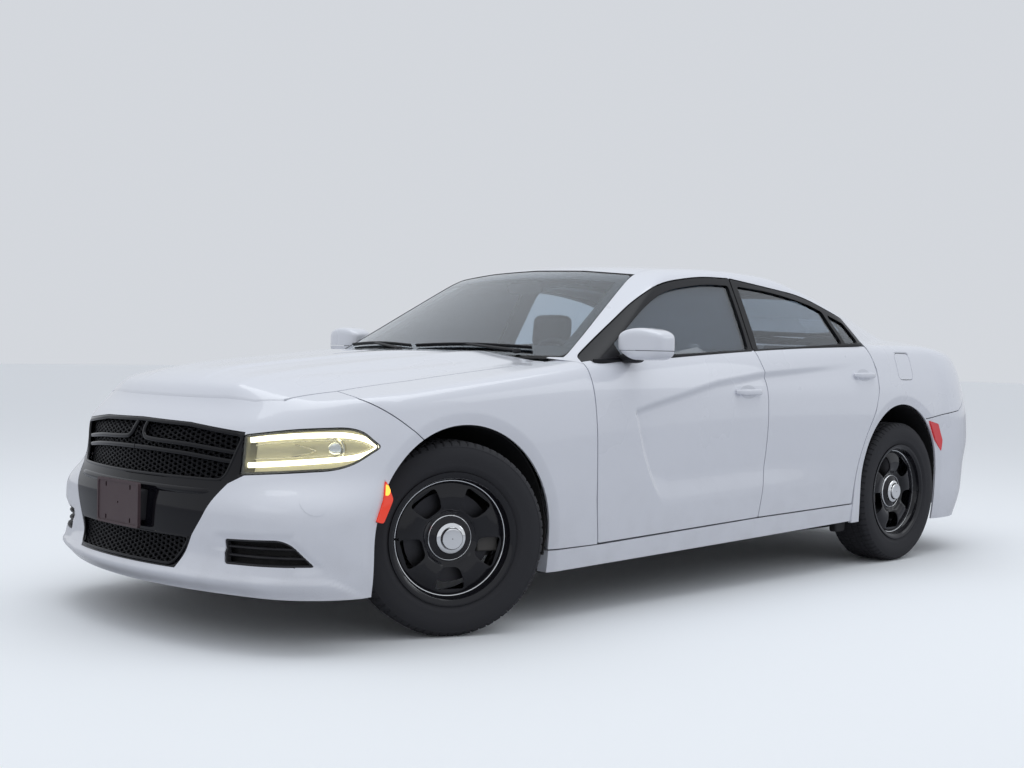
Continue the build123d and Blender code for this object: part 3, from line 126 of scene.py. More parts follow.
# Plan outlines of the lower body. Columns: height, nose x, front corner (x, y), its bulge, front of side
# (x, y), widest y, rear of side (x, y), rear corner's bulge, rear corner (x, y), tail x.
LEVELS = np.array([
    (SILL_Z - 2, nose(70), nose(180), side(320), 0.17, front(430), side(48), side(36),
     rear(-430), side(60), 0.15, tail(190), side(270), tail(90)),
    (SILL_Z + 52, nose(0), nose(118), side(320), 0.17, front(440), side(40), side(30),
     rear(-430), side(52), 0.15, tail(160), side(262), tail(60)),
    (SILL_Z + 140, nose(42), nose(140), side(322), 0.17, front(445), side(36), side(22),
     rear(-430), side(44), 0.15, tail(125), side(254), tail(34)),
    (SILL_Z + 288, nose(50), nose(135), side(332), 0.163, front(440), side(37), side(12),
     rear(-430), side(38), 0.15, tail(108), side(252), tail(14)),
    (SILL_Z + 420, nose(72), nose(180), side(392), 0.09, front(360), side(46), side(4),
     rear(-430), side(32), 0.155, tail(80), side(252), tail(0)),
    (SILL_Z + 548, nose(90), nose(190), side(392), 0.063, front(345), side(58), side(0),
     rear(-430), side(32), 0.155, tail(92), side(252), tail(10)),
    (SILL_Z + 676, nose(185), nose(270), side(430), 0.076, front(315), side(78), side(6),
     rear(-420), side(44), 0.155, tail(138), side(252), tail(46)),
    (SILL_Z + 790, nose(200), nose(300), side(430), 0.08, front(250), side(96), side(34),
     rear(-400), side(66), 0.15, tail(160), side(262), tail(68)),
    (SILL_Z + 900, nose(230), nose(330), side(440), 0.08, front(200), side(120), side(68),
     rear(-380), side(100), 0.14, tail(196), side(300), tail(80)),
    (SILL_Z + 990, nose(260), nose(360), side(450), 0.08, front(150), side(150), side(104),
     rear(-360), side(150), 0.13, tail(240), side(340), tail(90)),
])
# Cross sections of the hood, belt and deck. Columns: x, middle z, then z at the dome's edge, at the shut
# line and at the crest.
DOME_Y, SHUT_Y, CREST_Y = 400.0, 662.0, side(122)
HOOD_RIDGE, HOOD_HOLLOW = 9.0, 7.0
STATIONS = np.array([
    (tail(-60), DECK_Z - 120, DECK_Z - 128, DECK_Z - 176, DECK_Z - 246),
    (tail(-20), DECK_Z - 96, DECK_Z - 104, DECK_Z - 150, DECK_Z - 220),
    (tail(80), DECK_Z - 42, DECK_Z - 48, DECK_Z - 84, DECK_Z - 150),
    (tail(170), DECK_Z - 28, DECK_Z - 32, DECK_Z - 58, DECK_Z - 110),
    (tail(420), DECK_Z - 6, DECK_Z - 8, DECK_Z - 25, DECK_Z - 66),
    (tail(770), DECK_Z, DECK_Z - 2, DECK_Z - 5, DECK_Z - 32),
    (BELT_REAR_X, BELT_Z + BELT_RISE + 12, BELT_Z + BELT_RISE + 9, BELT_Z + BELT_RISE + 7,
     BELT_Z + BELT_RISE + 4),
    (BELT_FRONT_X, BELT_Z + 20, BELT_Z + 18, BELT_Z + 12, BELT_Z + 8),
    (front(-560), COWL_Z, COWL_Z - 4, COWL_Z - 40, COWL_Z - 52),
    (front(-240), COWL_Z - 14, COWL_Z - 20, COWL_Z - 76, COWL_Z - 94),
    (front(110), COWL_Z - 44, COWL_Z - 51, COWL_Z - 118, COWL_Z - 140),
    (front(410), COWL_Z - 72, COWL_Z - 82, COWL_Z - 160, COWL_Z - 186),
    (nose(340), COWL_Z - 94, COWL_Z - 112, COWL_Z - 208, COWL_Z - 262),
    (nose(270), COWL_Z - 112, COWL_Z - 140, COWL_Z - 240, COWL_Z - 290),
    (nose(190), COWL_Z - 166, COWL_Z - 190, COWL_Z - 290, COWL_Z - 320),
    (nose(120), COWL_Z - 240, COWL_Z - 262, COWL_Z - 360, COWL_Z - 380),
    (nose(90), COWL_Z - 296, COWL_Z - 312, COWL_Z - 400, COWL_Z - 420),
    (nose(-60), COWL_Z - 480, COWL_Z - 500, COWL_Z - 550, COWL_Z - 560),
])
# Plan outlines of the cabin. Columns: height, windshield middle x, its corner (x, y), front of side (x, y),
# widest y, rear of side (x, y), rear glass corner (x, y), rear glass middle x.
GLASSHOUSE = np.array([
    (COWL_Z - 96, front(-354), front(-536), side(160), front(-618), side(58), side(37),
     rear(312), side(37), rear(-595), side(210), rear(-841)),
    (roof(362), front(-638), front(-812), side(230), front(-885), side(126), side(106),
     rear(312), side(102), rear(-328), side(298), rear(-388)),
    (roof(232), front(-877), front(-1025), side(288), front(-1090), side(196), side(176),
     rear(342), side(197), rear(22), side(328), rear(2)),
    (roof(122), front(-1078), front(-1205), side(342), front(-1265), side(257), side(240),
     rear(562), side(262), rear(372), side(352), rear(382)),
    (roof(42), front(-1224), front(-1340), side(387), front(-1395), side(312), side(288),
     rear(762), side(312), rear(632), side(392), rear(642)),
    (roof(-10), front(-1320), front(-1425), side(410), front(-1480), side(345), side(320),
     rear(862), side(345), rear(762), side(412), rear(782)),
])
# Cross sections of the roof. Columns: x, middle z, z at the rail.
RAIL_Y = 640.0
ROOF_STATIONS = np.array([
    (rear(-700), roof(330), roof(350)),
    (rear(-100), roof(190), roof(214)),
    (rear(460), roof(60), roof(88)),
    (rear(870), roof(8), roof(38)),
    (front(-1840), roof(0), roof(30)),
    (front(-1500), roof(12), roof(42)),
    (front(-1220), roof(40), roof(68)),
    (front(-300), roof(120), roof(150)),
])

# Side outlines, as (x, z) points
SEAM = [(front(-1790), belt(front(-1790))), (front(-1834), BELT_Z - 64), (front(-1843), BELT_Z - 120),
        (front(-1831), BELT_Z - 415), (front(-1784), SILL_Z + 126)]
SEAM_TOP = (front(-1852), roof(70))
FRONT_DOOR = [
    (front(-664), BELT_Z - 7), (front(-700), BELT_Z + 16), (front(-1147), roof(194)),
    (front(-1339), roof(113)), (front(-1637), roof(72)), SEAM_TOP, *SEAM,
    (front(-705), SILL_Z + 96), (front(-685), BELT_Z - 555), (front(-676), BELT_Z - 198),
]
REAR_DOOR = [
    *[(x - SHUT_GAP, z) for x, z in reversed(SEAM)], (SEAM_TOP[0] - 8, SEAM_TOP[1]),
    (rear(618), roof(129)), (rear(328), roof(233)), (rear(282), belt(rear(282)) - 4),
    (rear(240), BELT_Z - 18), (rear(247), BELT_Z - 118), (rear(292), BELT_Z - 228), (rear(372), BELT_Z - 338),
    (rear(432), BELT_Z - 458), (rear(462), BELT_Z - 588), (rear(472), SILL_Z + 138),
]
FRONT_WINDOW = [
    (front(-760), belt(front(-760)) + 8), (front(-1150), roof(230)), (front(-1345), roof(144)),
    (front(-1637), roof(103)), (front(-1822), roof(102)), (front(-1770), belt(front(-1770)) + 8),
]
REAR_WINDOW_SIDE = [
    (front(-1842), belt(front(-1842)) + 8), (front(-1892), roof(102)), (rear(900), roof(117)),
    (rear(622), roof(160)), (rear(500), roof(201)), (rear(478), belt(rear(478)) + 8),
]
QUARTER_WINDOW = [
    (rear(446), belt(rear(446)) + 8), (rear(468), roof(213)), (rear(352), roof(255)),
    (rear(322), belt(rear(322)) + 8),
]
FENDER = [
    (front(410), COWL_Z + 60), (front(410), COWL_Z - 182), (front(162), COWL_Z - 349),
    (front(162), SILL_Z + 92),
    (front(-699), SILL_Z + 92), (front(-679), BELT_Z - 555), (front(-670), BELT_Z - 198),
    (front(-658), BELT_Z - 7), (front(-655), COWL_Z + 60),
]
FRONT_COVER = [
    (front(415), COWL_Z + 60), (front(415), COWL_Z - 184), (front(170), COWL_Z - 349), (front(170), 100),
    (nose(-60), 100), (nose(-60), COWL_Z + 60),
]
SILL = [
    (front(-395), SILL_Z), (front(-395), SILL_Z + 86), (front(-705), SILL_Z + 88),
    (front(-1784), SILL_Z + 120), (rear(472), SILL_Z + 132), (rear(382), SILL_Z + 132),
    (rear(382), SILL_Z + 50),
]
QUARTER = [
    (rear(466), SILL_Z + 40), (rear(456), BELT_Z - 588), (rear(426), BELT_Z - 458), (rear(366), BELT_Z - 342),
    (rear(287), BELT_Z - 232), (rear(241), BELT_Z - 120), (rear(234), BELT_Z - 18),
    (rear(276), belt(rear(276)) - 2),
    (rear(276), DECK_Z + 60), (tail(-40), DECK_Z + 60), (tail(-40), DECK_Z - 289), (tail(285), DECK_Z - 289),
    (tail(470), DECK_Z - 376), (rear(-250), DECK_Z - 416), (rear(-250), SILL_Z + 40),
]
REAR_COVER = [
    (tail(-40), 100), (tail(-40), DECK_Z - 294), (tail(285), DECK_Z - 294), (tail(470), DECK_Z - 381),
    (rear(-250), DECK_Z - 421), (rear(-250), 100),
]
FUEL_DOOR = [(rear(20), BELT_Z - 72), (rear(20), BELT_Z + 62), (rear(-130), BELT_Z + 62),
             (rear(-130), BELT_Z - 72)]
FRONT_MARKER = [(front(377), SILL_Z + 401), (front(389), SILL_Z + 336), (front(423), SILL_Z + 259),
                (front(396), SILL_Z + 253), (front(353), SILL_Z + 334)]
REAR_MARKER = [(rear(-279), SILL_Z + 532), (rear(-377), SILL_Z + 514), (rear(-425), SILL_Z + 426),
               (rear(-417), SILL_Z + 366), (rear(-350), SILL_Z + 430)]

# Front and rear outlines, as (y, z) points
WINDSHIELD = [(side(198), COWL_Z - 22), (side(380), roof(76)), (300, roof(54)), (0, roof(46)),
              (-300, roof(54)), (-side(380), roof(76)), (-side(198), COWL_Z - 22)]
BACKLIGHT = [(side(318), DECK_Z + 6), (side(372), roof(104)), (300, roof(88)), (0, roof(82)),
             (-300, roof(88)), (-side(372), roof(104)), (-side(318), DECK_Z + 6)]
HEADLAMP = [(side(73), COWL_Z - 348), (side(122), COWL_Z - 281), (side(252), COWL_Z - 291),
            (side(392), COWL_Z - 315), (side(392), COWL_Z - 452), (side(252), COWL_Z - 440),
            (side(122), COWL_Z - 426)]
GRILLE = [(side(396), COWL_Z - 317), (300, COWL_Z - 290), (0, COWL_Z - 284), (-300, COWL_Z - 290),
          (-side(396), COWL_Z - 317), (-side(458), COWL_Z - 477), (side(458), COWL_Z - 477)]
LOWER_GRILLE = [(side(561), SILL_Z + 186), (-side(561), SILL_Z + 186), (-side(621), SILL_Z + 87),
                (side(621), SILL_Z + 87)]
INTAKE = [(side(400), SILL_Z + 194), (side(392), SILL_Z + 108), (side(112), SILL_Z + 112),
          (side(168), SILL_Z + 204)]
INTAKE_ROUND = (14.0, 14.0, 10.0, 44.0)
TAIL_BAND = (DECK_Z - 273, DECK_Z - 150)
LID_LAMP_Y = side(392)
REAR_PLATE = (250.0, DECK_Z - 500, DECK_Z - 330)

# Plan outlines, as (x, y) points
HOOD_SIDE = [(front(-580), side(217)), (front(-190), side(247)), (front(110), side(262)),
             (front(410), side(292)), (nose(336), side(352)), (nose(273), side(438))]
HOOD_FRONT = [(nose(190 + 18.2 * (y / 260) ** 2 + 0.77 * (y / 260) ** 4), y) for y in range(480, 0, -40)]
HOOD_HALF = [(front(-468), 380), *HOOD_SIDE, *HOOD_FRONT]
HOOD = [(front(-440), 0), *HOOD_HALF, (nose(190), 0), *[(x, -y) for x, y in reversed(HOOD_HALF)]]
LID_SIDE = [(tail(430), side(290)), (tail(150), side(318)), (tail(-60), side(330))]
LID_EDGE_Z = DECK_Z - 289
ROOF_PANEL_Y = side(378)


# Outlines and surfaces in numpy

def grown(points: Outline, step: float) -> Outline:
    """Moves every edge of an outline outwards.

    Args:
        points: the outline's corners.
        step: how far each edge moves, negative for inwards.

    Returns:
        The corners where the moved edges meet.
    """
    p = np.array(points, float)
    before, after = np.roll(p, 1, 0), np.roll(p, -1, 0)
    turn = 1.0 if np.sum(p[:, 0] * after[:, 1] - after[:, 0] * p[:, 1]) > 0 else -1.0

    def normal(d: np.ndarray) -> np.ndarray:
        """The outward unit normal of each edge direction."""
        return turn * np.stack([d[:, 1], -d[:, 0]], 1) / np.linalg.norm(d, axis=1)[:, None]

    n, m = normal(p - before), normal(after - p)
    return [tuple(q) for q in p + step * (n + m) / (1 + np.sum(n * m, 1))[:, None]]


def rounded(points: Outline, radius: float | Sequence[float], steps: int = 5) -> Outline:
    """Rounds an outline's corners with quadratic curves that start one radius along each edge.

    Args:
        points: the outline's corners.
        radius: how far from the corner each curve starts, for all or one a corner, at most 0.45 of the edge.
        steps: points per corner.

    Returns:
        The rounded outline.
    """
    p, radius = np.array(points, float), np.asarray(radius, float)
    before, after = np.roll(p, 1, 0) - p, np.roll(p, -1, 0) - p
    reach_in = np.minimum(radius / np.linalg.norm(before, axis=1), 0.45)[:, None]
    reach_out = np.minimum(radius / np.linalg.norm(after, axis=1), 0.45)[:, None]
    start, end = p + before * reach_in, p + after * reach_out
    t = np.linspace(0, 1, steps)[None, :, None]
    curve = (1 - t) ** 2 * start[:, None] + 2 * t * (1 - t) * p[:, None] + t ** 2 * end[:, None]
    return [tuple(q) for q in curve.reshape(-1, 2)]


def eased(points: Outline, radius: float, steps: int = 7) -> Outline:
    """Rounds an outline's corners, the blunt ones over as much of their edges as they have.

    Args:
        points: the outline's corners.
        radius: how far from a sharp corner its curve starts.
        steps: points per corner.

    Returns:
        The rounded outline.
    """
    p = np.array(points, float)
    before, after = p - np.roll(p, 1, 0), np.roll(p, -1, 0) - p
    cosine = (before * after).sum(1) / (np.linalg.norm(before, axis=1) * np.linalg.norm(after, axis=1))
    return rounded(points, np.where(cosine > BLUNT_CORNER, BLUNT_REACH, radius), steps)


LAMP_SHAPE = rounded(HEADLAMP, (13, 44, 40, 8, 8, 40, 46), 9)


def fair(xs: np.ndarray, ys: np.ndarray, x: np.ndarray) -> np.ndarray:
    """A smooth curve through table rows: cubic pieces with the harmonic means of the neighbours' slopes.

    Args:
        xs: the rows' places, rising.
        ys: the rows' values, one column a curve.
        x: where the curves are wanted.

    Returns:
        One row of values for each x.
    """
    h = np.diff(xs)[:, None]
    d = np.diff(ys, axis=0) / h
    slope = np.zeros_like(ys)
    left, right = d[:-1], d[1:]
    same = left * right > 0
    safe = np.where(same, left + right, 1.0)
    slope[1:-1] = np.where(same, 2 * left * right / safe, 0.0)
    slope[0], slope[-1] = d[0], d[-1]
    i = np.clip(np.searchsorted(xs, x) - 1, 0, len(xs) - 2)
    t = ((x - xs[i]) / (xs[i + 1] - xs[i]))[:, None]
    t = np.clip(t, 0, 1)
    a, b, hh = ys[i], ys[i + 1], h[i]
    return ((1 + 2 * t) * (1 - t) ** 2 * a + t * (1 - t) ** 2 * hh * slope[i] + t ** 2 * (3 - 2 * t) * b
            - t ** 2 * (1 - t) * hh * slope[i + 1])


def arc_rows(a: np.ndarray, m: np.ndarray, b: np.ndarray, count: int) -> np.ndarray:
    """Points on the circles through three points, one circle a row: its centre, then equal angles.

    Args:
        a: start points, one a row.
        m: points on the way.
        b: end points.
        count: points on each arc.

    Returns:
        An array of rows, points and two coordinates.
    """
    ax, ay, bx, by, cx, cy = a[:, 0], a[:, 1], m[:, 0], m[:, 1], b[:, 0], b[:, 1]
    d = 2 * (ax * (by - cy) + bx * (cy - ay) + cx * (ay - by))
    d = np.where(np.abs(d) < 1e-3, 1e-3, d)
    sa, sb, sc = ax * ax + ay * ay, bx * bx + by * by, cx * cx + cy * cy
    ux = (sa * (by - cy) + sb * (cy - ay) + sc * (ay - by)) / d
    uy = (sa * (cx - bx) + sb * (ax - cx) + sc * (bx - ax)) / d
    start, end = np.arctan2(ay - uy, ax - ux), np.arctan2(cy - uy, cx - ux)
    turn = (end - start + np.pi) % (2 * np.pi) - np.pi
    r = np.hypot(ax - ux, ay - uy)
    angle = start[:, None] + turn[:, None] * np.linspace(0, 1, count)[None, :]
    return np.stack([ux[:, None] + r[:, None] * np.cos(angle), uy[:, None] + r[:, None] * np.sin(angle)], 2)


def smoothed(values: np.ndarray, sigma: float, axis: int) -> np.ndarray:
    """A Gaussian average along one axis, with the ends held."""
    reach = int(3 * sigma) + 1
    weights = np.exp(-0.5 * (np.arange(-reach, reach + 1) / sigma) ** 2)
    weights /= weights.sum()
    pad = [(0, 0)] * values.ndim
    pad[axis] = (reach, reach)
    wide = np.pad(values, pad, mode="reflect", reflect_type="odd")
    return np.apply_along_axis(lambda row: np.convolve(row, weights, "valid"), axis, wide)


def ramp(value: np.ndarray, low: float, high: float) -> np.ndarray:
    """A smooth step from 0 at low to 1 at high."""
    t = np.clip((value - low) / (high - low), 0, 1)
    return t * t * (3 - 2 * t)


@dataclass
class Lookup:
    """A table of heights on an even grid, read by bilinear interpolation."""

    u0: float
    du: float
    v0: float
    dv: float
    table: np.ndarray

    def __call__(self, u: np.ndarray, v: np.ndarray) -> np.ndarray:
        """Values at places (u, v)."""
        fu = np.clip((u - self.u0) / self.du, 0, self.table.shape[0] - 1.001)
        fv = np.clip((v - self.v0) / self.dv, 0, self.table.shape[1] - 1.001)
        i, j = fu.astype(int), fv.astype(int)
        s, t = fu - i, fv - j
        q = self.table
        return ((q[i, j] * (1 - s) + q[i + 1, j] * s) * (1 - t)
                + (q[i, j + 1] * (1 - s) + q[i + 1, j + 1] * s) * t)


def crease_line(points: Outline, x: np.ndarray) -> np.ndarray:
    """Heights along a line given by points with rising x."""
    return np.interp(x, [p[0] for p in points], [p[1] for p in points])


SCALLOP_DEPTH, LIP_STEP, BEVEL_DEPTH, BEVEL_WIDTH = 17.0, 11.0, 9.0, 24.0
FACET_DEPTH, FACET_WIDTH = 10.0, 46.0
HALVINGS, ACROSS, AHEAD = 22, np.array([0.0, 1.0, 0.0]), np.array([1.0, 0.0, 0.0])
BLUNT_CORNER, BLUNT_REACH = 0.82, 120.0
SCALLOP_TOP = [(-1080, 1040), (-962, 1023), (-238, 976), (127, 935), (483, 864), (700, 816), (760, 790)]
SCALLOP_LOW = [(-1100, 445), (-888, 441), (-228, 434), (455, 410), (560, 440), (640, 600), (700, 800)]
SCALLOP_FRONT = [(400, 470), (440, 520), (560, 600), (640, 640), (790, 680), (830, 705)]


def side_relief(p: np.ndarray) -> np.ndarray:
    """Depth taken off the sides at points: the doors' sunk panel and a facet round each wheel arch.

    The panel is deepest just under its upper crease and fades down, forwards and to the rear. The facet sinks
    evenly over the last stretch before an arch.
    """
    x, z = p[:, 0], p[:, 2]
    top, low = crease_line(SCALLOP_TOP, x), crease_line(SCALLOP_LOW, x)
    fore = np.interp(z, [p[0] for p in SCALLOP_FRONT], [p[1] for p in SCALLOP_FRONT])
    depth = SCALLOP_DEPTH * ramp(top - z, -8, 26) * ramp(fore - x, -4, 26) * ramp(z - low, -6, 130)
    depth = depth * (1 - ramp(-x, 300, 1120))
    for centre_x, centre_z, radius in (FRONT_ARCH, REAR_ARCH):
        away = np.hypot(x - centre_x, np.maximum(z - centre_z, 0)) - radius
        depth = depth + FACET_DEPTH * np.clip(1 - away / FACET_WIDTH, 0, 1) ** 1.15 * (z > 150)
    return depth


def cover_relief(p: np.ndarray) -> np.ndarray:
    """Depth taken off the front cover at points: the side's relief, the lip's step and the intakes' bevel.

    The step is deepest just over the lip's crease and fades upwards. The bevel sinks with nearness to the
    upper and outer edges of an intake.
    """
    x, y, z = p[:, 0], np.abs(p[:, 1]), p[:, 2]
    crease = SILL_Z + 62 * ramp(x, front(430), front(620))
    step = ramp(z, crease - 9, crease + 15) * (1 - ramp(z, crease + 18, crease + 150))
    step = step * ramp(x, front(430), front(570))
    (inner_y, top_z), _, (low_y, low_z), (high_y, high_z) = INTAKE
    over = z - np.interp(y, [inner_y, high_y], [top_z, high_z])
    beyond = y - np.interp(z, [low_z, high_z], [low_y, high_y])
    near = np.maximum(over, beyond)
    bevel = np.clip(1 - near / BEVEL_WIDTH, 0, 1) * ramp(y, inner_y - 60, inner_y)
    bevel = bevel * ramp(z, low_z - 30, low_z + 10)
    return side_relief(p) + LIP_STEP * step + BEVEL_DEPTH * bevel * (near > -40)


@dataclass
class Hull:
    """A closed form: plan outlines round a centre under a roof of heights, blended where they meet."""

    plan: Lookup
    lean: Lookup
    top: Lookup
    slope: Lookup
    centre_x: float
    blend: float

    def outside(self, p: np.ndarray, dent: Optional[Callable] = None) -> np.ndarray:
        """Distance outside the form: the smooth maximum of the plan distance and the top distance.

        Args:
            p: points, three columns.
            dent: an optional depth at points, taken off the side.

        Returns:
            One distance a point, negative inside.
        """
        x, y, z = p[:, 0] - self.centre_x, np.abs(p[:, 1]), p[:, 2]
        theta = np.arctan2(y, x)
        wall = (np.hypot(x, y) - self.plan(theta, z)) / self.lean(theta, z)
        if dent is not None:
            wall = wall + dent(p)
        lid = (z - self.top(p[:, 0], y)) / self.slope(p[:, 0], y)
        share = np.clip(0.5 + 0.5 * (wall - lid) / self.blend, 0, 1)
        return lid + (wall - lid) * share + self.blend * share * (1 - share)

    def cast(self, origin: np.ndarray, way: np.ndarray, offset: float = 0.0,
             reach: tuple[float, float] = (0, 1600), dent: Optional[Callable] = None) -> np.ndarray:
        """Points where rays leave the form, by halving the distance.

        Args:
            origin: ray starts, inside the form.
            way: unit directions, one a ray or one for all.
            offset: level of the surface, negative for inside.
            reach: shortest and longest distance tried.
            dent: an optional depth at points.

        Returns:
            One point a ray.
        """
        low, high = np.full(len(origin), reach[0]), np.full(len(origin), reach[1])
        for _ in range(HALVINGS):
            middle = (low + high) / 2
            out = self.outside(origin + way * middle[:, None], dent) > offset
            high, low = np.where(out, middle, high), np.where(out, low, middle)
        return origin + way * ((low + high) / 2)[:, None]


def slope_factor(table: np.ndarray, du: float, dv: float, flat: bool) -> np.ndarray:
    """How much longer a straight measure is than the distance to the surface, from a table's gradient."""
    gu, gv = np.gradient(table, du, dv)
    return np.sqrt(1 + gu ** 2 + gv ** 2) if flat else np.sqrt(1 + (gu / table) ** 2 + gv ** 2)


def polar_table(x: np.ndarray, y: np.ndarray, angles: np.ndarray, centre_x: float) -> np.ndarray:
    """Radius by angle of outlines given as rows of points, after a Gaussian average along each outline."""
    rows = []
    for px, py in zip(x, y):
        length = np.concatenate([[0], np.cumsum(np.hypot(np.diff(px), np.diff(py)))])
        s = np.arange(0, length[-1], 8.0)
        qx, qy = np.interp(s, length, px), np.interp(s, length, py)
        qx, qy = smoothed(qx, 4.0, 0), smoothed(qy, 4.0, 0)
        theta = np.arctan2(np.maximum(qy, 0), qx - centre_x)
        rows.append(np.interp(angles, theta, np.hypot(qx - centre_x, qy)))
    return np.array(rows).T


def make_lower_hull() -> Hull:
    """The body below the windows: plan arcs joined by smooth curves, under the hood and deck sections."""
    z = np.arange(100.0, 1260.0, 5.0)
    row = fair(LEVELS[:, 0], LEVELS[:, 1:], z)
    nx, fx, fy, fb, sx, sy, my, ex, ey, rb, rx, ry, tx = row.T
    zero = np.zeros_like(nx)
    fore = arc_rows(np.stack([fx, -fy], 1), np.stack([nx, zero], 1), np.stack([fx, fy], 1), 121)[:, 60:]

    def bulge(ax: np.ndarray, ay: np.ndarray, bx: np.ndarray, by: np.ndarray,
              share: np.ndarray) -> np.ndarray:
        """The middle of each corner arc, off its chord by a share of it."""
        return np.stack([(ax + bx) / 2 - share * (by - ay), (ay + by) / 2 + share * (bx - ax)], 1)

    corner = arc_rows(np.stack([sx, sy], 1), bulge(sx, sy, fx, fy, fb), np.stack([fx, fy], 1), 60)[:, ::-1]
    flank = arc_rows(np.stack([sx, sy], 1), np.stack([(sx + ex) / 2, my], 1), np.stack([ex, ey], 1), 200)
    back = arc_rows(np.stack([rx, ry], 1), bulge(rx, ry, ex, ey, rb), np.stack([ex, ey], 1), 60)[:, ::-1]
    stern = arc_rows(np.stack([rx, ry], 1), np.stack([tx, zero], 1), np.stack([rx, -ry], 1), 121)[:, :61]
    ring = np.concatenate([fore, corner[:, 1:], flank[:, 1:], back[:, 1:], stern[:, 1:]], 1)
    angles = np.linspace(0, np.pi, 901)
    plan = smoothed(polar_table(ring[:, :, 0], ring[:, :, 1], angles, 0.0), 3.5, 1)
    step = angles[1]
    x, y = np.arange(-2600.0, 2601.0, 8.0), np.arange(0.0, 1041.0, 5.0)
    mid, dome, shut, crest = fair(STATIONS[:, 0], STATIONS[:, 1:], x).T[:, :, None]
    w = y[None, :]
    flank_y, drop = side(30) + 60, 150.0
    over = np.clip((w - CREST_Y) / (flank_y - CREST_Y), 0, 1.4)
    heights = np.where(w < DOME_Y, mid - (mid - dome) * (w / DOME_Y) ** 2,
                       np.where(w < SHUT_Y, dome + (shut - dome) * (w - DOME_Y) / (SHUT_Y - DOME_Y),
                                np.where(w < CREST_Y,
                                         shut + (crest - shut) * (w - SHUT_Y) / (CREST_Y - SHUT_Y),
                                         crest - drop * (0.12 * over + 0.88 * over ** 2))))
    bonnet = ramp(x, front(-420), front(-180))[:, None] * ramp(-x, -nose(190), -nose(450))[:, None]
    ridge = np.interp(x, [front(-440), front(30), nose(260)], [330, 215, 200])[:, None]
    raised = ramp(-w, -ridge - 12, -ridge + 12) - 0.5 * ramp(-w, -ridge + 60, -ridge + 190)
    heights = heights + bonnet * HOOD_RIDGE * raised
    outer = np.interp(x, [front(-500), front(110), nose(340)], [600, 560, 470])[:, None]
    heights = heights - bonnet * HOOD_HOLLOW * ramp(w, ridge + 10, ridge + 110) * ramp(-w, -outer - 10,
                                                                                       -outer + 60)
    heights = smoothed(smoothed(heights, 4.0, 0), 2.2, 1)
    return Hull(Lookup(0, step, 100, 5, plan), Lookup(0, step, 100, 5, slope_factor(plan, step, 5, False)),
                Lookup(-2600, 8, 0, 5, heights), Lookup(-2600, 8, 0, 5, slope_factor(heights, 8, 5, True)),
                0.0, 34.0)


def make_cabin_hull() -> Hull:
    """The cabin: plan outlines of arcs and lines joined by smooth curves, under the roof's sections."""
    z = np.arange(900.0, 1520.0, 4.0)
    row = fair(GLASSHOUSE[:, 0], GLASSHOUSE[:, 1:], z)
    wx, cx, cy, sx, sy, my, ex, ey, rx, ry, tx = row.T
    zero = np.zeros_like(wx)
    fore = arc_rows(np.stack([cx, -cy], 1), np.stack([wx, zero], 1), np.stack([cx, cy], 1), 121)[:, 60:]
    flank = arc_rows(np.stack([sx, sy], 1), np.stack([(sx + ex) / 2, my], 1), np.stack([ex, ey], 1), 160)
    stern = arc_rows(np.stack([rx, ry], 1), np.stack([tx, zero], 1), np.stack([rx, -ry], 1), 121)[:, :61]
    ring = np.concatenate([fore, flank, stern], 1)
    centre = -200.0
    angles = np.linspace(0, np.pi, 901)
    plan = smoothed(polar_table(ring[:, :, 0], ring[:, :, 1], angles, centre), 3.0, 1)
    x, y = np.arange(-2400.0, 1401.0, 8.0), np.arange(0.0, 1001.0, 5.0)
    mid, rail = fair(ROOF_STATIONS[:, 0], ROOF_STATIONS[:, 1:], x).T[:, :, None]
    w = y[None, :]
    heights = mid - (mid - rail) * (w / RAIL_Y) ** 2 - 0.00035 * np.maximum(w - RAIL_Y, 0) ** 2
    heights = smoothed(heights, 4.0, 0) + 0 * w
    step = angles[1]
    return Hull(Lookup(0, step, 900, 4, plan), Lookup(0, step, 900, 4, slope_factor(plan, step, 4, False)),
                Lookup(-2400, 8, 0, 5, heights), Lookup(-2400, 8, 0, 5, slope_factor(heights, 8, 5, True)),
                centre, 46.0)


LOWER = make_lower_hull()
CABIN = make_cabin_hull()


# Meshes

def grid_faces(rows: int, columns: int, start: int = 0) -> np.ndarray:
    """Quads of an open grid of points, rows by columns, numbered from start."""
    i, j = np.meshgrid(np.arange(rows - 1), np.arange(columns - 1), indexing="ij")
    quads = np.stack([i, i + 1, i + 1, i], 2) * columns + np.stack([j, j, j + 1, j + 1], 2)
    return quads.reshape(-1, 4) + start


def ring_faces(rows: int, columns: int, closed: bool) -> np.ndarray:
    """Quads between rows of points, each a closed ring; closed also joins the last row to the first."""
    i, j = np.meshgrid(np.arange(rows if closed else rows - 1), np.arange(columns), indexing="ij")
    k, m = (i + 1) % rows, (j + 1) % columns
    return np.stack([i * columns + j, i * columns + m, k * columns + m, k * columns + j], 2).reshape(-1, 4)


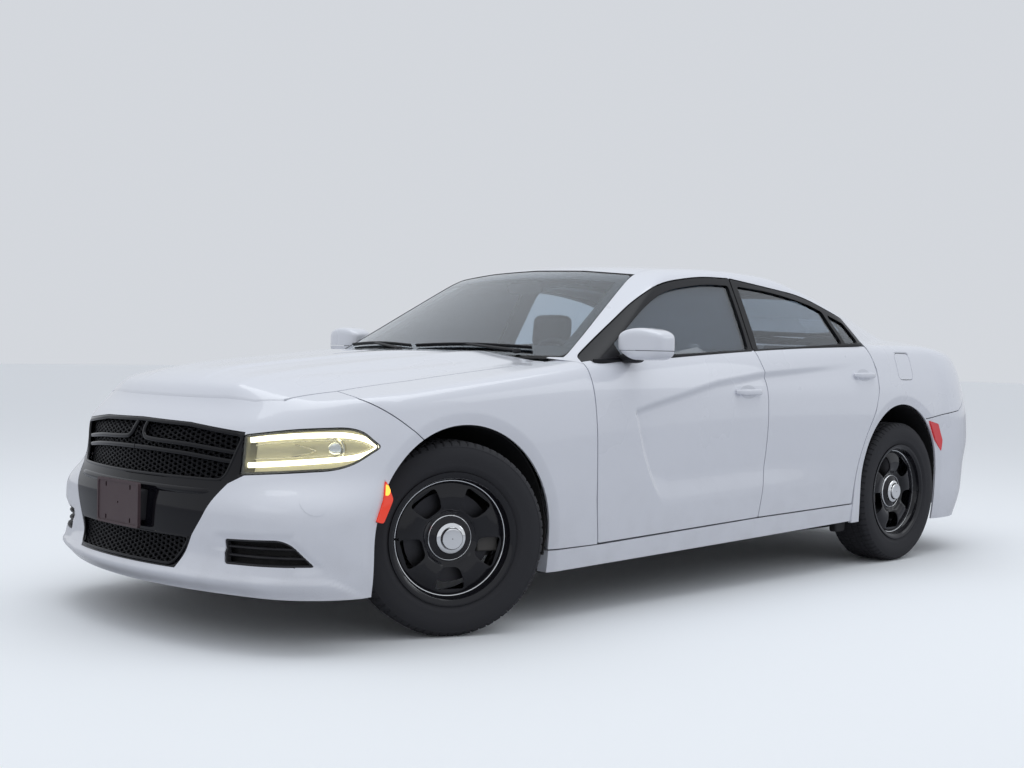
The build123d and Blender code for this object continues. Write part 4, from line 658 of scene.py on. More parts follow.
def mesh_of(name: str, points: np.ndarray, quads: np.ndarray,
            polygons: Sequence[Sequence[int]] = ()) -> bpy.types.Mesh:
    """A mesh from points in millimetres, an array of quads and any other polygons.

    Args:
        name: the mesh's name.
        points: three columns, in millimetres.
        quads: four point numbers a row.
        polygons: other faces as lists of point numbers.

    Returns:
        The mesh, in metres.
    """
    mesh = bpy.data.meshes.new(name)
    loops = [np.asarray(quads, np.int32).ravel()] + [np.asarray(p, np.int32) for p in polygons]
    sizes = np.concatenate([np.full(len(quads), 4), [len(p) for p in polygons]]).astype(np.int32)
    mesh.vertices.add(len(points))
    mesh.vertices.foreach_set("co", (np.asarray(points, float) * 0.001).astype(np.float32).ravel())
    mesh.loops.add(int(sizes.sum()))
    mesh.loops.foreach_set("vertex_index", np.concatenate(loops))
    mesh.polygons.add(len(sizes))
    mesh.polygons.foreach_set("loop_start", np.concatenate([[0], np.cumsum(sizes)[:-1]]).astype(np.int32))
    mesh.update(calc_edges=True)
    mesh.validate()
    return mesh


def add_object(name: str, mesh: bpy.types.Mesh) -> bpy.types.Object:
    """Links a mesh to the scene as an object at the origin."""
    made = bpy.data.objects.new(name, mesh)
    bpy.context.scene.collection.objects.link(made)
    return made


def outward(mesh: bpy.types.Mesh, merge: float = 0.00002) -> bpy.types.Mesh:
    """Merges doubles and turns all faces outwards."""
    work = bmesh.new()
    work.from_mesh(mesh)
    bmesh.ops.remove_doubles(work, verts=work.verts, dist=merge)
    bmesh.ops.recalc_face_normals(work, faces=work.faces)
    work.to_mesh(mesh)
    work.free()
    return mesh


def soften(mesh: bpy.types.Mesh, angle: float = 32.0) -> bpy.types.Mesh:
    """Smooth shading with edges above an angle kept sharp."""
    mesh.polygons.foreach_set("use_smooth", np.ones(len(mesh.polygons), bool))
    mesh.set_sharp_from_angle(angle=math.radians(angle))
    return mesh


def prism(axis: Axis, outline: Outline, low: float, high: float) -> bpy.types.Mesh:
    """An outline carried along one axis as a closed mesh; its columns are the other two axes in order."""
    p = np.array(outline, float)
    count = len(p)
    ends = [np.column_stack([p, np.full(count, depth)])[:, axis.value] for depth in (low, high)]
    i = np.arange(count)
    j = (i + 1) % count
    quads = np.stack([i, j, j + count, i + count], 1)
    mesh = mesh_of("cutter", np.concatenate(ends), quads,
                   [list(range(count))[::-1], list(range(count, 2 * count))])
    return outward(mesh)


def drum(x: float, z: float, radius: float, inner_y: float, outer_y: float) -> bpy.types.Mesh:
    """A round bar along Y that opens downwards, for cutting a wheel arch."""
    turn = np.linspace(0, np.pi, 73)
    outline = [(x + radius * math.cos(a), z + radius * math.sin(a)) for a in turn]
    outline += [(x - radius, -50.0), (x + radius, -50.0)]
    return prism(Axis.Y, outline, inner_y, outer_y)


def carve(mesh: bpy.types.Mesh, keep: Sequence[bpy.types.Mesh] = (),
          cut: Sequence[bpy.types.Mesh] = ()) -> bpy.types.Mesh:
    """The part of a closed mesh inside every keep mesh and outside every cut mesh, by exact booleans."""
    body = add_object("carved", mesh)
    helpers = []
    for operation, cutters in (("INTERSECT", keep), ("DIFFERENCE", cut)):
        for cutter in cutters:
            helper = add_object("cutter", cutter)
            step = body.modifiers.new("cut", "BOOLEAN")
            step.operation, step.solver, step.object = operation, "MANIFOLD", helper
            helpers.append(helper)
    bpy.context.view_layer.update()
    graph = bpy.context.evaluated_depsgraph_get()
    done = bpy.data.meshes.new_from_object(body.evaluated_get(graph))
    for extra in [body, *helpers]:
        bpy.data.objects.remove(extra)
    if not len(done.polygons):
        raise ValueError("a cut left nothing")
    return done


def closed_shell(name: str, outer: np.ndarray, inner: np.ndarray, rows: int, columns: int) -> bpy.types.Mesh:
    """Two grids of points joined round their edges into one closed mesh."""
    size = rows * columns
    top = grid_faces(rows, columns)
    under = grid_faces(rows, columns, size)[:, ::-1]
    i, j = np.arange(rows - 1), np.arange(columns - 1)
    near, far = i * columns, i * columns + columns - 1
    left, right = j, (rows - 1) * columns + j
    edges = [np.stack([near + columns, near, near + size, near + columns + size], 1),
             np.stack([far, far + columns, far + columns + size, far + size], 1),
             np.stack([left, left + 1, left + 1 + size, left + size], 1),
             np.stack([right + 1, right, right + size, right + 1 + size], 1)]
    return outward(mesh_of(name, np.concatenate([outer, inner]), np.concatenate([top, under, *edges])), 1e-7)


@dataclass
class Patch:
    """A piece of a hull's wall: a grid of rays cast to an outer and an inner level of its distance."""

    hull: Hull
    rays: Callable[[np.ndarray, np.ndarray], Arrays]
    u: tuple[float, float, int]
    v: tuple[float, float, int]
    outer: float = 0.0
    inner: float = -18.0
    dent: Optional[Callable] = None
    reach: tuple[float, float] = (0.0, 1600.0)

    def mesh(self) -> bpy.types.Mesh:
        """The closed wall as a mesh."""
        u, v = np.meshgrid(np.linspace(*self.u), np.linspace(*self.v), indexing="ij")
        origin, way = self.rays(u.ravel(), v.ravel())
        way = way / np.linalg.norm(way, axis=1)[:, None]
        outer = self.hull.cast(origin, way, self.outer, self.reach, self.dent)
        inner = self.hull.cast(origin, way, self.inner, self.reach)
        return closed_shell("wall", outer, inner, self.u[2], self.v[2])


RAY_LINE_Y, RAY_LINE_Z, CABIN_LINE_Z = 300.0, 620.0, 980.0
QUARTER_X, QUARTER_REACH, QUARTER_TURN = -1900.0, 650.0, 78.0


def side_rays(x: np.ndarray, turn: np.ndarray) -> Arrays:
    """Rays out of a line along the car at each x, at an angle above the horizontal in degrees."""
    a = np.radians(turn)
    return (np.stack([x, np.full_like(x, RAY_LINE_Y), np.full_like(x, RAY_LINE_Z)], 1),
            np.stack([np.zeros_like(x), np.cos(a), np.sin(a)], 1))


def door_rays(x: np.ndarray, share: np.ndarray) -> Arrays:
    """Side rays whose rows lie closest together over the door's upper crease; share runs from 0 to 1."""
    return side_rays(x, np.interp(share, [0.0, 0.3, 0.8, 1.0], [-56.0, 14.0, 38.0, 62.0]))


def quarter_rays(x: np.ndarray, turn: np.ndarray) -> Arrays:
    """Side rays that fan round the rear corner behind the quarter's x, where x only measures the turn."""
    a = np.radians(turn)
    b = np.radians(QUARTER_TURN) * np.clip((QUARTER_X - x) / QUARTER_REACH, 0, 1)
    origin = np.stack([np.maximum(x, QUARTER_X), np.full_like(x, RAY_LINE_Y), np.full_like(x, RAY_LINE_Z)], 1)
    return origin, np.stack([-np.sin(b) * np.cos(a), np.cos(b) * np.cos(a), np.sin(a)], 1)


def cabin_rays(x: np.ndarray, turn: np.ndarray) -> Arrays:
    """Rays out of the cabin's middle line at each x, at an angle above the horizontal in degrees."""
    a = np.radians(turn)
    return (np.stack([x, np.zeros_like(x), np.full_like(x, CABIN_LINE_Z)], 1),
            np.stack([np.zeros_like(x), np.cos(a), np.sin(a)], 1))


def up_rays(x: np.ndarray, y: np.ndarray) -> Arrays:
    """Upright rays over a plan grid."""
    return (np.stack([x, y, np.full_like(x, 500.0)], 1), np.stack([0 * x, 0 * x, 1 + 0 * x], 1))


def point_rays(x: float, z: float) -> Callable:
    """Rays out of one point of the middle plane, by bearing and elevation in degrees."""
    def rays(bearing: np.ndarray, rise: np.ndarray) -> Arrays:
        """Origins and directions of the fan."""
        b, r = np.radians(bearing), np.radians(rise)
        start = np.stack([np.full_like(b, x), np.zeros_like(b), np.full_like(b, z)], 1)
        return start, np.stack([np.cos(b) * np.cos(r), np.sin(b) * np.cos(r), np.sin(r)], 1)
    return rays


FRONT_FAN, INTAKE_FAN = point_rays(1500.0, 560.0), point_rays(1500.0, 400.0)


def rear_fan(bearing: np.ndarray, rise: np.ndarray) -> Arrays:
    """The front cover's fan turned to the rear."""
    start, way = point_rays(-1500.0, 600.0)(bearing, rise)
    return start, way * np.array([-1.0, 1.0, 1.0])


def screen_rays(centre_x: float, z: float, sign: float) -> Callable:
    """Rays that fan along y and climb over a screen: forwards for sign 1 and backwards for sign -1."""
    def rays(y: np.ndarray, rise: np.ndarray) -> Arrays:
        """Origins and directions of the fan."""
        r = np.radians(rise)
        start = np.stack([np.full_like(y, centre_x), 0.9 * y, np.full_like(y, z)], 1)
        return start, np.stack([sign * np.cos(r), 0.1 * y / 400.0, np.sin(r)], 1)
    return rays


@dataclass
class BodyHull:
    """The lower body and the cabin as one form: the smooth minimum of their distances fills the crease."""

    blend: float

    def outside(self, p: np.ndarray, dent: Optional[Callable] = None) -> np.ndarray:
        """Distance outside the joined form."""
        a, b = LOWER.outside(p, dent), CABIN.outside(p)
        share = np.clip(0.5 + 0.5 * (b - a) / self.blend, 0, 1)
        return b + (a - b) * share - self.blend * share * (1 - share)

    cast = Hull.cast


BODY = BodyHull(26.0)
LEVEL_REACH, GRADIENT_STEP, FACING = 1.5, 7.0, 0.6


def true_normals(mesh: bpy.types.Mesh, hull: Hull, level: float,
                 dent: Optional[Callable] = None) -> bpy.types.Mesh:
    """Shades a cut panel by its hull: corners on the outer level take the gradient of the hull's distance.

    Args:
        mesh: the panel.
        hull: the hull that it was cast on.
        level: the outer level.
        dent: the depth that the outer face was cast with.

    Returns:
        The same mesh, smooth on its outer face and flat on its cut edges.
    """
    count = len(mesh.vertices)
    points = np.zeros(count * 3, np.float32)
    mesh.vertices.foreach_get("co", points)
    p = points.reshape(-1, 3).astype(float) * 1000.0
    on_face = np.abs(hull.outside(p, dent) - level) < LEVEL_REACH
    gradient = np.zeros((count, 3))
    q = p[on_face]
    for axis in range(3):
        move = np.zeros(3)
        move[axis] = GRADIENT_STEP
        gradient[on_face, axis] = hull.outside(q + move, dent) - hull.outside(q - move, dent)
    length = np.linalg.norm(gradient, axis=1)
    gradient /= np.where(length > 0, length, 1)[:, None]
    loops = np.zeros(len(mesh.loops), np.int32)
    mesh.loops.foreach_get("vertex_index", loops)
    flat = np.zeros(len(mesh.polygons) * 3, np.float32)
    mesh.polygons.foreach_get("normal", flat)
    totals = np.zeros(len(mesh.polygons), np.int32)
    mesh.polygons.foreach_get("loop_total", totals)
    face = np.repeat(flat.reshape(-1, 3), totals, axis=0)
    wanted = gradient[loops]
    close = np.sum(wanted * face, 1) > FACING
    mesh.polygons.foreach_set("use_smooth", np.ones(len(mesh.polygons), bool))
    mesh.normals_split_custom_set(np.where(close[:, None], wanted, face).tolist())
    return mesh


def mirrored(mesh: bpy.types.Mesh) -> bpy.types.Mesh:
    """The same mesh on the other side of the middle plane, with its faces still outwards."""
    other = mesh.copy()
    co = np.zeros(len(other.vertices) * 3, np.float32)
    other.vertices.foreach_get("co", co)
    co[1::3] *= -1
    other.vertices.foreach_set("co", co)
    other.flip_normals()
    other.update()
    return other


def lathe(profile: Outline, steps: int = 96) -> Arrays:
    """A closed ring turned about Y: points (r cos a, y, r sin a) for each profile point and angle.

    Args:
        profile: (radius, y) points of a closed outline that stays off the axis.
        steps: angles.

    Returns:
        Points and quads.
    """
    r, y = np.array(profile, float).T
    a = np.linspace(0, 2 * np.pi, steps, endpoint=False)
    points = np.stack([np.cos(a)[:, None] * r, np.ones(steps)[:, None] * y, np.sin(a)[:, None] * r],
                      2).reshape(-1, 3)
    return points, ring_faces(steps, len(r), True)


def tube(path: np.ndarray, section: np.ndarray, up: tuple[float, float, float] = (0, 0, 1),
         ring: bool = False) -> Solid:
    """A section carried along a path: each section point sits off the path by its sideways and upward parts.

    Args:
        path: points of the path.
        section: (sideways, upward) points of the closed section.
        up: the direction kept upwards.
        ring: whether the path closes on itself.

    Returns:
        Points, quads and the two end faces.
    """
    path = np.asarray(path, float)
    ahead = np.roll(path, -1, 0) - np.roll(path, 1, 0) if ring else np.gradient(path, axis=0)
    ahead /= np.linalg.norm(ahead, axis=1)[:, None]
    sideways = np.cross(ahead, np.array(up, float))
    sideways /= np.linalg.norm(sideways, axis=1)[:, None]
    upward = np.cross(sideways, ahead)
    s = np.asarray(section, float)
    points = path[:, None] + sideways[:, None] * s[None, :, :1] + upward[:, None] * s[None, :, 1:]
    count, n = len(path), len(s)
    ends = [] if ring else [list(range(n)), list(range((count - 1) * n, count * n))[::-1]]
    return points.reshape(-1, 3), ring_faces(count, n, ring), ends


def round_section(wide: float, high: float, steps: int = 12, power: float = 2.0) -> np.ndarray:
    """A rounded section: a superellipse of the given half width, half height and power."""
    a = np.linspace(0, 2 * np.pi, steps, endpoint=False)
    c, s = np.cos(a), np.sin(a)
    return np.stack([wide * np.sign(c) * np.abs(c) ** (2 / power),
                     high * np.sign(s) * np.abs(s) ** (2 / power)], 1)


def spline(points: Sequence[Sequence[float]], count: int) -> np.ndarray:
    """Points along a smooth curve through the given ones, spaced by the run of the corners."""
    p = np.array(points, float)
    run = np.concatenate([[0], np.cumsum(np.linalg.norm(np.diff(p, axis=0), axis=1))])
    return fair(run, p, np.linspace(0, run[-1], count))


def pillow(centre: Sequence[float], half: Sequence[float], powers: tuple[float, float] = (4.0, 4.0),
           rows: int = 32, columns: int = 48, shape: Optional[Callable] = None) -> Solid:
    """A rounded block: a superellipsoid with one power for its plan and one for its profile.

    Args:
        centre: its middle.
        half: half sizes.
        powers: 2 is an ellipse and higher is squarer, for the plan and for the profile.
        rows: points from pole to pole.
        columns: points round.
        shape: an optional change of the finished points.

    Returns:
        Points, quads and the two pole faces.
    """
    v = np.linspace(-np.pi / 2, np.pi / 2, rows + 2)[1:-1]
    u = np.linspace(0, 2 * np.pi, columns, endpoint=False)
    cv, sv, cu, su = np.cos(v), np.sin(v), np.cos(u), np.sin(u)

    def power(value: np.ndarray, exponent: float) -> np.ndarray:
        """A signed power."""
        return np.sign(value) * np.abs(value) ** (2 / exponent)

    a, b = power(cv, powers[1])[:, None], power(sv, powers[1])[:, None]
    points = np.stack([half[0] * a * power(cu, powers[0])[None], half[1] * a * power(su, powers[0])[None],
                       half[2] * b + 0 * cu[None]], 2).reshape(-1, 3) + np.array(centre, float)
    if shape is not None:
        points = shape(points)
    caps = [list(range(columns))[::-1], list(range((rows - 1) * columns, rows * columns))]
    return points, ring_faces(rows, columns, False), caps


def joined(parts: Sequence[tuple]) -> Solid:
    """Several point sets with their quads and end faces as one."""
    points, quads, ends, start = [], [], [], 0
    for part in parts:
        points.append(part[0])
        quads.append(np.asarray(part[1]) + start)
        ends += [[k + start for k in end] for end in (part[2] if len(part) > 2 else [])]
        start += len(part[0])
    return np.concatenate(points), np.concatenate(quads), ends


# Finishes

def node_group(name: str, inputs: Sequence[tuple], outputs: Sequence[tuple]) -> tuple:
    """A new shader node group with its sockets.

    Args:
        name: the group's name.
        inputs: (name, socket type, default) rows.
        outputs: (name, socket type) rows.

    Returns:
        The group, its input node and its output node.
    """
    group = bpy.data.node_groups.new(name, "ShaderNodeTree")
    for label, kind, value in inputs:
        group.interface.new_socket(label, in_out="INPUT", socket_type=kind).default_value = value
    for label, kind in outputs:
        group.interface.new_socket(label, in_out="OUTPUT", socket_type=kind)
    return group, group.nodes.new("NodeGroupInput"), group.nodes.new("NodeGroupOutput")


def math_node(group: bpy.types.NodeTree, operation: str, a: object, b: object = None) -> bpy.types.NodeSocket:
    """A Math node's result; a and b are sockets or plain numbers."""
    node = group.nodes.new("ShaderNodeMath")
    node.operation = operation
    for place, value in enumerate((a, b)):
        if isinstance(value, (int, float)):
            node.inputs[place].default_value = value
        elif value is not None:
            group.links.new(value, node.inputs[place])
    return node.outputs[0]


def ramp_node(group: bpy.types.NodeTree, value: bpy.types.NodeSocket, low: float, high: float
              ) -> bpy.types.NodeSocket:
    """A smooth step of a value from 0 at low to 1 at high."""
    node = group.nodes.new("ShaderNodeMapRange")
    node.interpolation_type = "SMOOTHSTEP"
    node.inputs["From Min"].default_value, node.inputs["From Max"].default_value = low, high
    group.links.new(value, node.inputs["Value"])
    return node.outputs["Result"]


def noise_node(group: bpy.types.NodeTree, coords: bpy.types.NodeSocket, scale: object, detail: float = 3.0
               ) -> bpy.types.NodeSocket:
    """A Noise node's value; scale is a socket or a number."""
    node = group.nodes.new("ShaderNodeTexNoise")
    node.inputs["Detail"].default_value = detail
    group.links.new(coords, node.inputs["Vector"])
    if isinstance(scale, (int, float)):
        node.inputs["Scale"].default_value = scale
    else:
        group.links.new(scale, node.inputs["Scale"])
    return node.outputs["Fac"]


def make_road_film() -> bpy.types.NodeTree:
    """Dust on a finish: more near the road and in blotches, over a faint change of the colour itself."""
    group, source, sink = node_group("road_film", (
        ("Colour", "NodeSocketColor", (0.5, 0.5, 0.5, 1)), ("Roughness", "NodeSocketFloat", 0.4),
        ("Dust", "NodeSocketFloat", 0.3), ("Mottle", "NodeSocketFloat", 0.04)),
        (("Colour", "NodeSocketColor"), ("Roughness", "NodeSocketFloat")))
    coords = group.nodes.new("ShaderNodeTexCoord").outputs["Object"]
    split = group.nodes.new("ShaderNodeSeparateXYZ")
    group.links.new(coords, split.inputs[0])
    low = ramp_node(group, split.outputs["Z"], 0.72, 0.12)
    blotch = ramp_node(group, noise_node(group, coords, 9.0, 5.0), 0.34, 0.72)
    speck = ramp_node(group, noise_node(group, coords, 260.0, 2.0), 0.52, 0.75)
    cover = math_node(group, "MULTIPLY", low, math_node(group, "ADD", 0.3,
                                                        math_node(group, "MULTIPLY", blotch, 0.7)))
    cover = math_node(group, "MULTIPLY", cover, math_node(group, "ADD", 0.7,
                                                          math_node(group, "MULTIPLY", speck, 0.6)))
    cover = math_node(group, "MINIMUM", math_node(group, "MULTIPLY", cover, source.outputs["Dust"]), 0.8)
    tone = group.nodes.new("ShaderNodeHueSaturation")
    wave = math_node(group, "SUBTRACT", noise_node(group, coords, 3.0, 3.0), 0.5)
    group.links.new(math_node(group, "ADD", 1.0, math_node(group, "MULTIPLY", wave,
                                                           source.outputs["Mottle"])),
                    tone.inputs["Value"])
    group.links.new(source.outputs["Colour"], tone.inputs["Color"])
    mix = group.nodes.new("ShaderNodeMix")
    mix.data_type = "RGBA"
    mix.inputs[7].default_value = (0.23, 0.215, 0.195, 1)
    group.links.new(cover, mix.inputs[0])
    group.links.new(tone.outputs[0], mix.inputs[6])
    group.links.new(mix.outputs[2], sink.inputs["Colour"])
    rough = math_node(group, "ADD", source.outputs["Roughness"], math_node(group, "MULTIPLY", cover, 0.35))
    rough = math_node(group, "ADD", rough, math_node(group, "MULTIPLY", wave, 0.05))
    group.links.new(math_node(group, "MINIMUM", rough, 1.0), sink.inputs["Roughness"])
    return group


def make_grain() -> bpy.types.NodeTree:
    """A moulded grain's height: cells with soft edges over fine noise."""
    group, source, sink = node_group("moulded_grain", (("Scale", "NodeSocketFloat", 700.0),),
                                     (("Height", "NodeSocketFloat"),))
    coords = group.nodes.new("ShaderNodeTexCoord").outputs["Object"]
    cells = group.nodes.new("ShaderNodeTexVoronoi")
    group.links.new(coords, cells.inputs["Vector"])
    group.links.new(source.outputs["Scale"], cells.inputs["Scale"])
    soft = noise_node(group, coords, source.outputs["Scale"], 3.0)
    height = math_node(group, "ADD", math_node(group, "MULTIPLY", cells.outputs["Distance"], 0.7),
                       math_node(group, "MULTIPLY", soft, 0.5))
    group.links.new(height, sink.inputs["Height"])
    return group


def make_weave() -> bpy.types.NodeTree:
    """A cloth's height and colour factor: two crossed sets of threads from sine bands."""
    group, source, sink = node_group("cloth_weave", (("Threads", "NodeSocketFloat", 2600.0),),
                                     (("Height", "NodeSocketFloat"), ("Shade", "NodeSocketFloat")))
    coords = group.nodes.new("ShaderNodeTexCoord").outputs["Object"]
    split = group.nodes.new("ShaderNodeSeparateXYZ")
    group.links.new(coords, split.inputs[0])
    across = math_node(group, "SINE", math_node(group, "MULTIPLY", split.outputs["Y"],
                                                source.outputs["Threads"]))
    slant = math_node(group, "ADD", split.outputs["X"], split.outputs["Z"])
    along = math_node(group, "SINE", math_node(group, "MULTIPLY", slant, source.outputs["Threads"]))
    height = math_node(group, "MAXIMUM", across, along)
    fuzz = noise_node(group, coords, 900.0, 2.0)
    group.links.new(math_node(group, "ADD", height, fuzz), sink.inputs["Height"])
    group.links.new(math_node(group, "ADD", 0.78, math_node(group, "MULTIPLY", fuzz, 0.4)),
                    sink.inputs["Shade"])
    return group


@dataclass(frozen=True)
class Finish:
    """One material: plain values for its shader and the strength of the shared effects."""

    name: str
    slot: str
    colour: tuple[float, float, float]
    roughness: float = 0.4
    metallic: float = 0.0
    coat: float = 0.0
    coat_roughness: float = 0.03
    transmission: float = 0.0
    ior: float = 1.5
    alpha: float = 1.0
    glow: Optional[tuple[float, float, float]] = None
    glow_strength: float = 0.0
    dust: float = 0.3
    mottle: float = 0.05
    grain: float = 0.0
    grain_depth: float = 0.0002
    weave: bool = False
    specular: float = 0.5

    def material(self) -> bpy.types.Material:
        """The material, made the first time that it is asked for."""
        found = bpy.data.materials.get(self.name)
        return found if found is not None else self.make()

    def make(self) -> bpy.types.Material:
        """Builds the material's nodes."""
        made = bpy.data.materials.new(self.name)
        made.use_nodes = True
        tree = made.node_tree
        shader = tree.nodes["Principled BSDF"]
        values = {"Metallic": self.metallic, "Coat Weight": self.coat, "Coat Roughness": self.coat_roughness,
                  "Transmission Weight": self.transmission, "IOR": self.ior, "Alpha": self.alpha,
                  "Specular IOR Level": self.specular}
        if self.glow is not None:
            values.update({"Emission Color": (*self.glow, 1), "Emission Strength": self.glow_strength})
        for label, value in values.items():
            shader.inputs[label].default_value = value
        film = tree.nodes.new("ShaderNodeGroup")
        film.node_tree = shared_group("road_film", make_road_film)
        film.inputs["Colour"].default_value = (*self.colour, 1)
        film.inputs["Roughness"].default_value = self.roughness
        film.inputs["Dust"].default_value = self.dust
        film.inputs["Mottle"].default_value = self.mottle
        tree.links.new(film.outputs["Colour"], shader.inputs["Base Color"])
        tree.links.new(film.outputs["Roughness"], shader.inputs["Roughness"])
        height = None
        if self.grain > 0:
            cells = tree.nodes.new("ShaderNodeGroup")
            cells.node_tree = shared_group("moulded_grain", make_grain)
            cells.inputs["Scale"].default_value = self.grain
            height = cells.outputs["Height"]
        if self.weave:
            cloth = tree.nodes.new("ShaderNodeGroup")
            cloth.node_tree = shared_group("cloth_weave", make_weave)
            height = cloth.outputs["Height"]
            shader.inputs["Sheen Weight"].default_value = 0.35
            shader.inputs["Sheen Roughness"].default_value = 0.5
        if height is not None:
            bump = tree.nodes.new("ShaderNodeBump")
            bump.inputs["Strength"].default_value = 0.5
            bump.inputs["Distance"].default_value = self.grain_depth
            tree.links.new(height, bump.inputs["Height"])
            tree.links.new(bump.outputs["Normal"], shader.inputs["Normal"])
        return made


def shared_group(name: str, make: Callable) -> bpy.types.NodeTree:
    """A node group by name, made once."""
    found = bpy.data.node_groups.get(name)
    return found if found is not None else make()


# The white's cool lavender tint is partly the paint's own tone and partly painted shade: the cool cast of
# white in shade, set into its colour.
WHITE = Finish("white_gloss_paint", "white_paint", (0.76, 0.775, 0.83), 0.28, coat=1.0, coat_roughness=0.02,
               dust=0.16, mottle=0.02)
# A darker copy of the white paint for jambs, posts, inner rails and the handle and fuel cups: painted shade
# in these recesses.
SHADED_JAMB_PAINT = Finish("white_paint_painted_shade", "white_paint", (0.64, 0.655, 0.70), 0.4, coat=0.5, dust=0.2)
GLOSS_BLACK = Finish("gloss_black_trim", "gloss_black", (0.004, 0.004, 0.006), 0.08, coat=0.04, dust=0.02,
                     specular=0.26)
BLACK_PLASTIC = Finish("grained_black_plastic", "black_plastic", (0.014, 0.014, 0.017), 0.5, grain=900.0,
                       dust=0.12, specular=0.35)
CABIN_PLASTIC = Finish("cabin_black_plastic", "black_plastic", (0.022, 0.022, 0.023), 0.6, grain=700.0,
                       dust=0.1)
SOOT = Finish("underbody_black", "black_plastic", (0.012, 0.012, 0.013), 0.85, grain=220.0,
              grain_depth=0.0006, dust=0.3, specular=0.25)
MESH_BLACK = Finish("honeycomb_black", "black_plastic", (0.005, 0.005, 0.007), 0.3, dust=0.02, specular=0.12)
FRAME_BLACK = Finish("satin_black_frame", "gloss_black", (0.008, 0.008, 0.010), 0.3, dust=0.03, specular=0.28)
RUBBER_SEAL = Finish("rubber_seal", "black_plastic", (0.008, 0.008, 0.009), 0.62, dust=0.08, specular=0.3)
WINDOW = Finish("window_glass_tinted", "window_glass", (0.52, 0.59, 0.66), 0.015, transmission=1.0, ior=1.72,
                dust=0.0, mottle=0.0)
SCREEN = Finish("windshield_glass", "window_glass", (0.76, 0.85, 0.92), 0.012, transmission=1.0, ior=1.8,
                dust=0.0, mottle=0.0)
LAMP_LENS = Finish("clear_lamp_lens", "lamp_glass", (0.86, 0.87, 0.86), 0.01, transmission=1.0, ior=1.38,
                   dust=0.0, mottle=0.0)
LAMP_BEZEL = Finish("smoked_lamp_bezel", "lamp_housing", (0.13, 0.125, 0.10), 0.22, metallic=0.6, dust=0.0)
LAMP_MIRROR = Finish("lamp_reflector", "lamp_housing", (0.62, 0.60, 0.52), 0.12, metallic=1.0, dust=0.0)
LAMP_GLOW = Finish("lit_lamp_band", "lamp_housing", (0.95, 0.92, 0.74), 0.3, glow=(1.0, 0.94, 0.66),
                   glow_strength=3.2, dust=0.0)
# The smoky field behind the headlamp lens glows faintly: painted light standing in for the light that falls
# in through the lens.
PAINTED_LAMP_FIELD_LIGHT = Finish("lamp_field_painted_light", "lamp_housing", (0.36, 0.34, 0.25), 0.3, glow=(0.75, 0.70, 0.46),
                    glow_strength=0.28, dust=0.0)
AMBER = Finish("amber_lens", "marker_lens", (0.45, 0.03, 0.010), 0.12, coat=0.6, glow=(1.0, 0.05, 0.015),
               glow_strength=0.45, dust=0.0)
AMBER_LIT = Finish("amber_lens_lit", "marker_lens", (0.9, 0.35, 0.05), 0.12, coat=0.6, glow=(1.0, 0.46, 0.05),
                   glow_strength=1.5, dust=0.0)
RED_MARKER = Finish("red_marker_lens", "marker_lens", (0.42, 0.018, 0.022), 0.12, coat=0.6,
                    glow=(1.0, 0.03, 0.04), glow_strength=0.22, dust=0.0)
RED_LENS = Finish("red_lamp_lens", "red_lens", (0.34, 0.006, 0.008), 0.08, coat=1.0, dust=0.05)
TYRE = Finish("tyre_rubber", "tyre_rubber", (0.006, 0.0065, 0.009), 0.62, grain=900.0, grain_depth=0.00015,
              dust=0.05, specular=0.14)
WHEEL_PAINT = Finish("black_wheel_steel", "wheel_steel", (0.006, 0.006, 0.009), 0.14, coat=0.15, dust=0.02,
                     specular=0.35)
CHROME = Finish("chrome", "wheel_steel", (0.86, 0.87, 0.88), 0.06, metallic=1.0, dust=0.05)
BRIGHT = Finish("machined_steel", "bare_steel", (0.55, 0.55, 0.56), 0.3, metallic=1.0, dust=0.15)
STEEL = Finish("brake_steel", "bare_steel", (0.045, 0.045, 0.05), 0.46, metallic=1.0, grain=500.0, dust=0.1)
IRON = Finish("cast_iron", "cast_metal", (0.12, 0.115, 0.11), 0.68, metallic=0.7, grain=260.0,
              grain_depth=0.0006, dust=0.5)
ALLOY = Finish("cast_alloy", "cast_metal", (0.34, 0.34, 0.35), 0.5, metallic=0.9, grain=300.0,
               grain_depth=0.0004, dust=0.4)
CLOTH = Finish("charcoal_seat_cloth", "seat_cloth", (0.040, 0.041, 0.044), 0.9, weave=True,
               grain_depth=0.0003, dust=0.0)
VINYL = Finish("charcoal_bench_vinyl", "seat_cloth", (0.034, 0.034, 0.036), 0.55, grain=600.0, dust=0.0)
PLATE = Finish("brown_plate_bracket", "black_plastic", (0.060, 0.034, 0.040), 0.5, grain=800.0, dust=0.2)
SILVER_GLASS = Finish("mirror_glass", "bare_steel", (0.80, 0.82, 0.84), 0.02, metallic=1.0, dust=0.0)
CARPET = Finish("floor_black", "black_plastic", (0.020, 0.020, 0.021), 0.95, grain=400.0, grain_depth=0.001,
                dust=0.2)


def place(name: str, mesh: bpy.types.Mesh, body: str, finish: Finish,
          replaces: Sequence[str] = ()) -> bpy.types.Object:
    """Puts a finished mesh in the scene on the body that carries it.

    Args:
        name: the piece's name.
        mesh: its mesh.
        body: the CAD body that it rides on.
        finish: its material.
        replaces: CAD nodes that it stands for.

    Returns:
        The new object.
    """
    mesh.materials.clear()
    mesh.materials.append(finish.material())
    mesh.name = name
    made = add_object(name, mesh)
    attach(made, body)
    if replaces:
        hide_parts(*replaces)
    return made


def solid(parts: tuple, angle: float = 35.0) -> bpy.types.Mesh:
    """A mesh of points, quads and end faces, turned outwards and smooth up to an angle."""
    points, quads = parts[0], parts[1]
    return soften(outward(mesh_of("piece", points, quads, parts[2] if len(parts) > 2 else ())), angle)


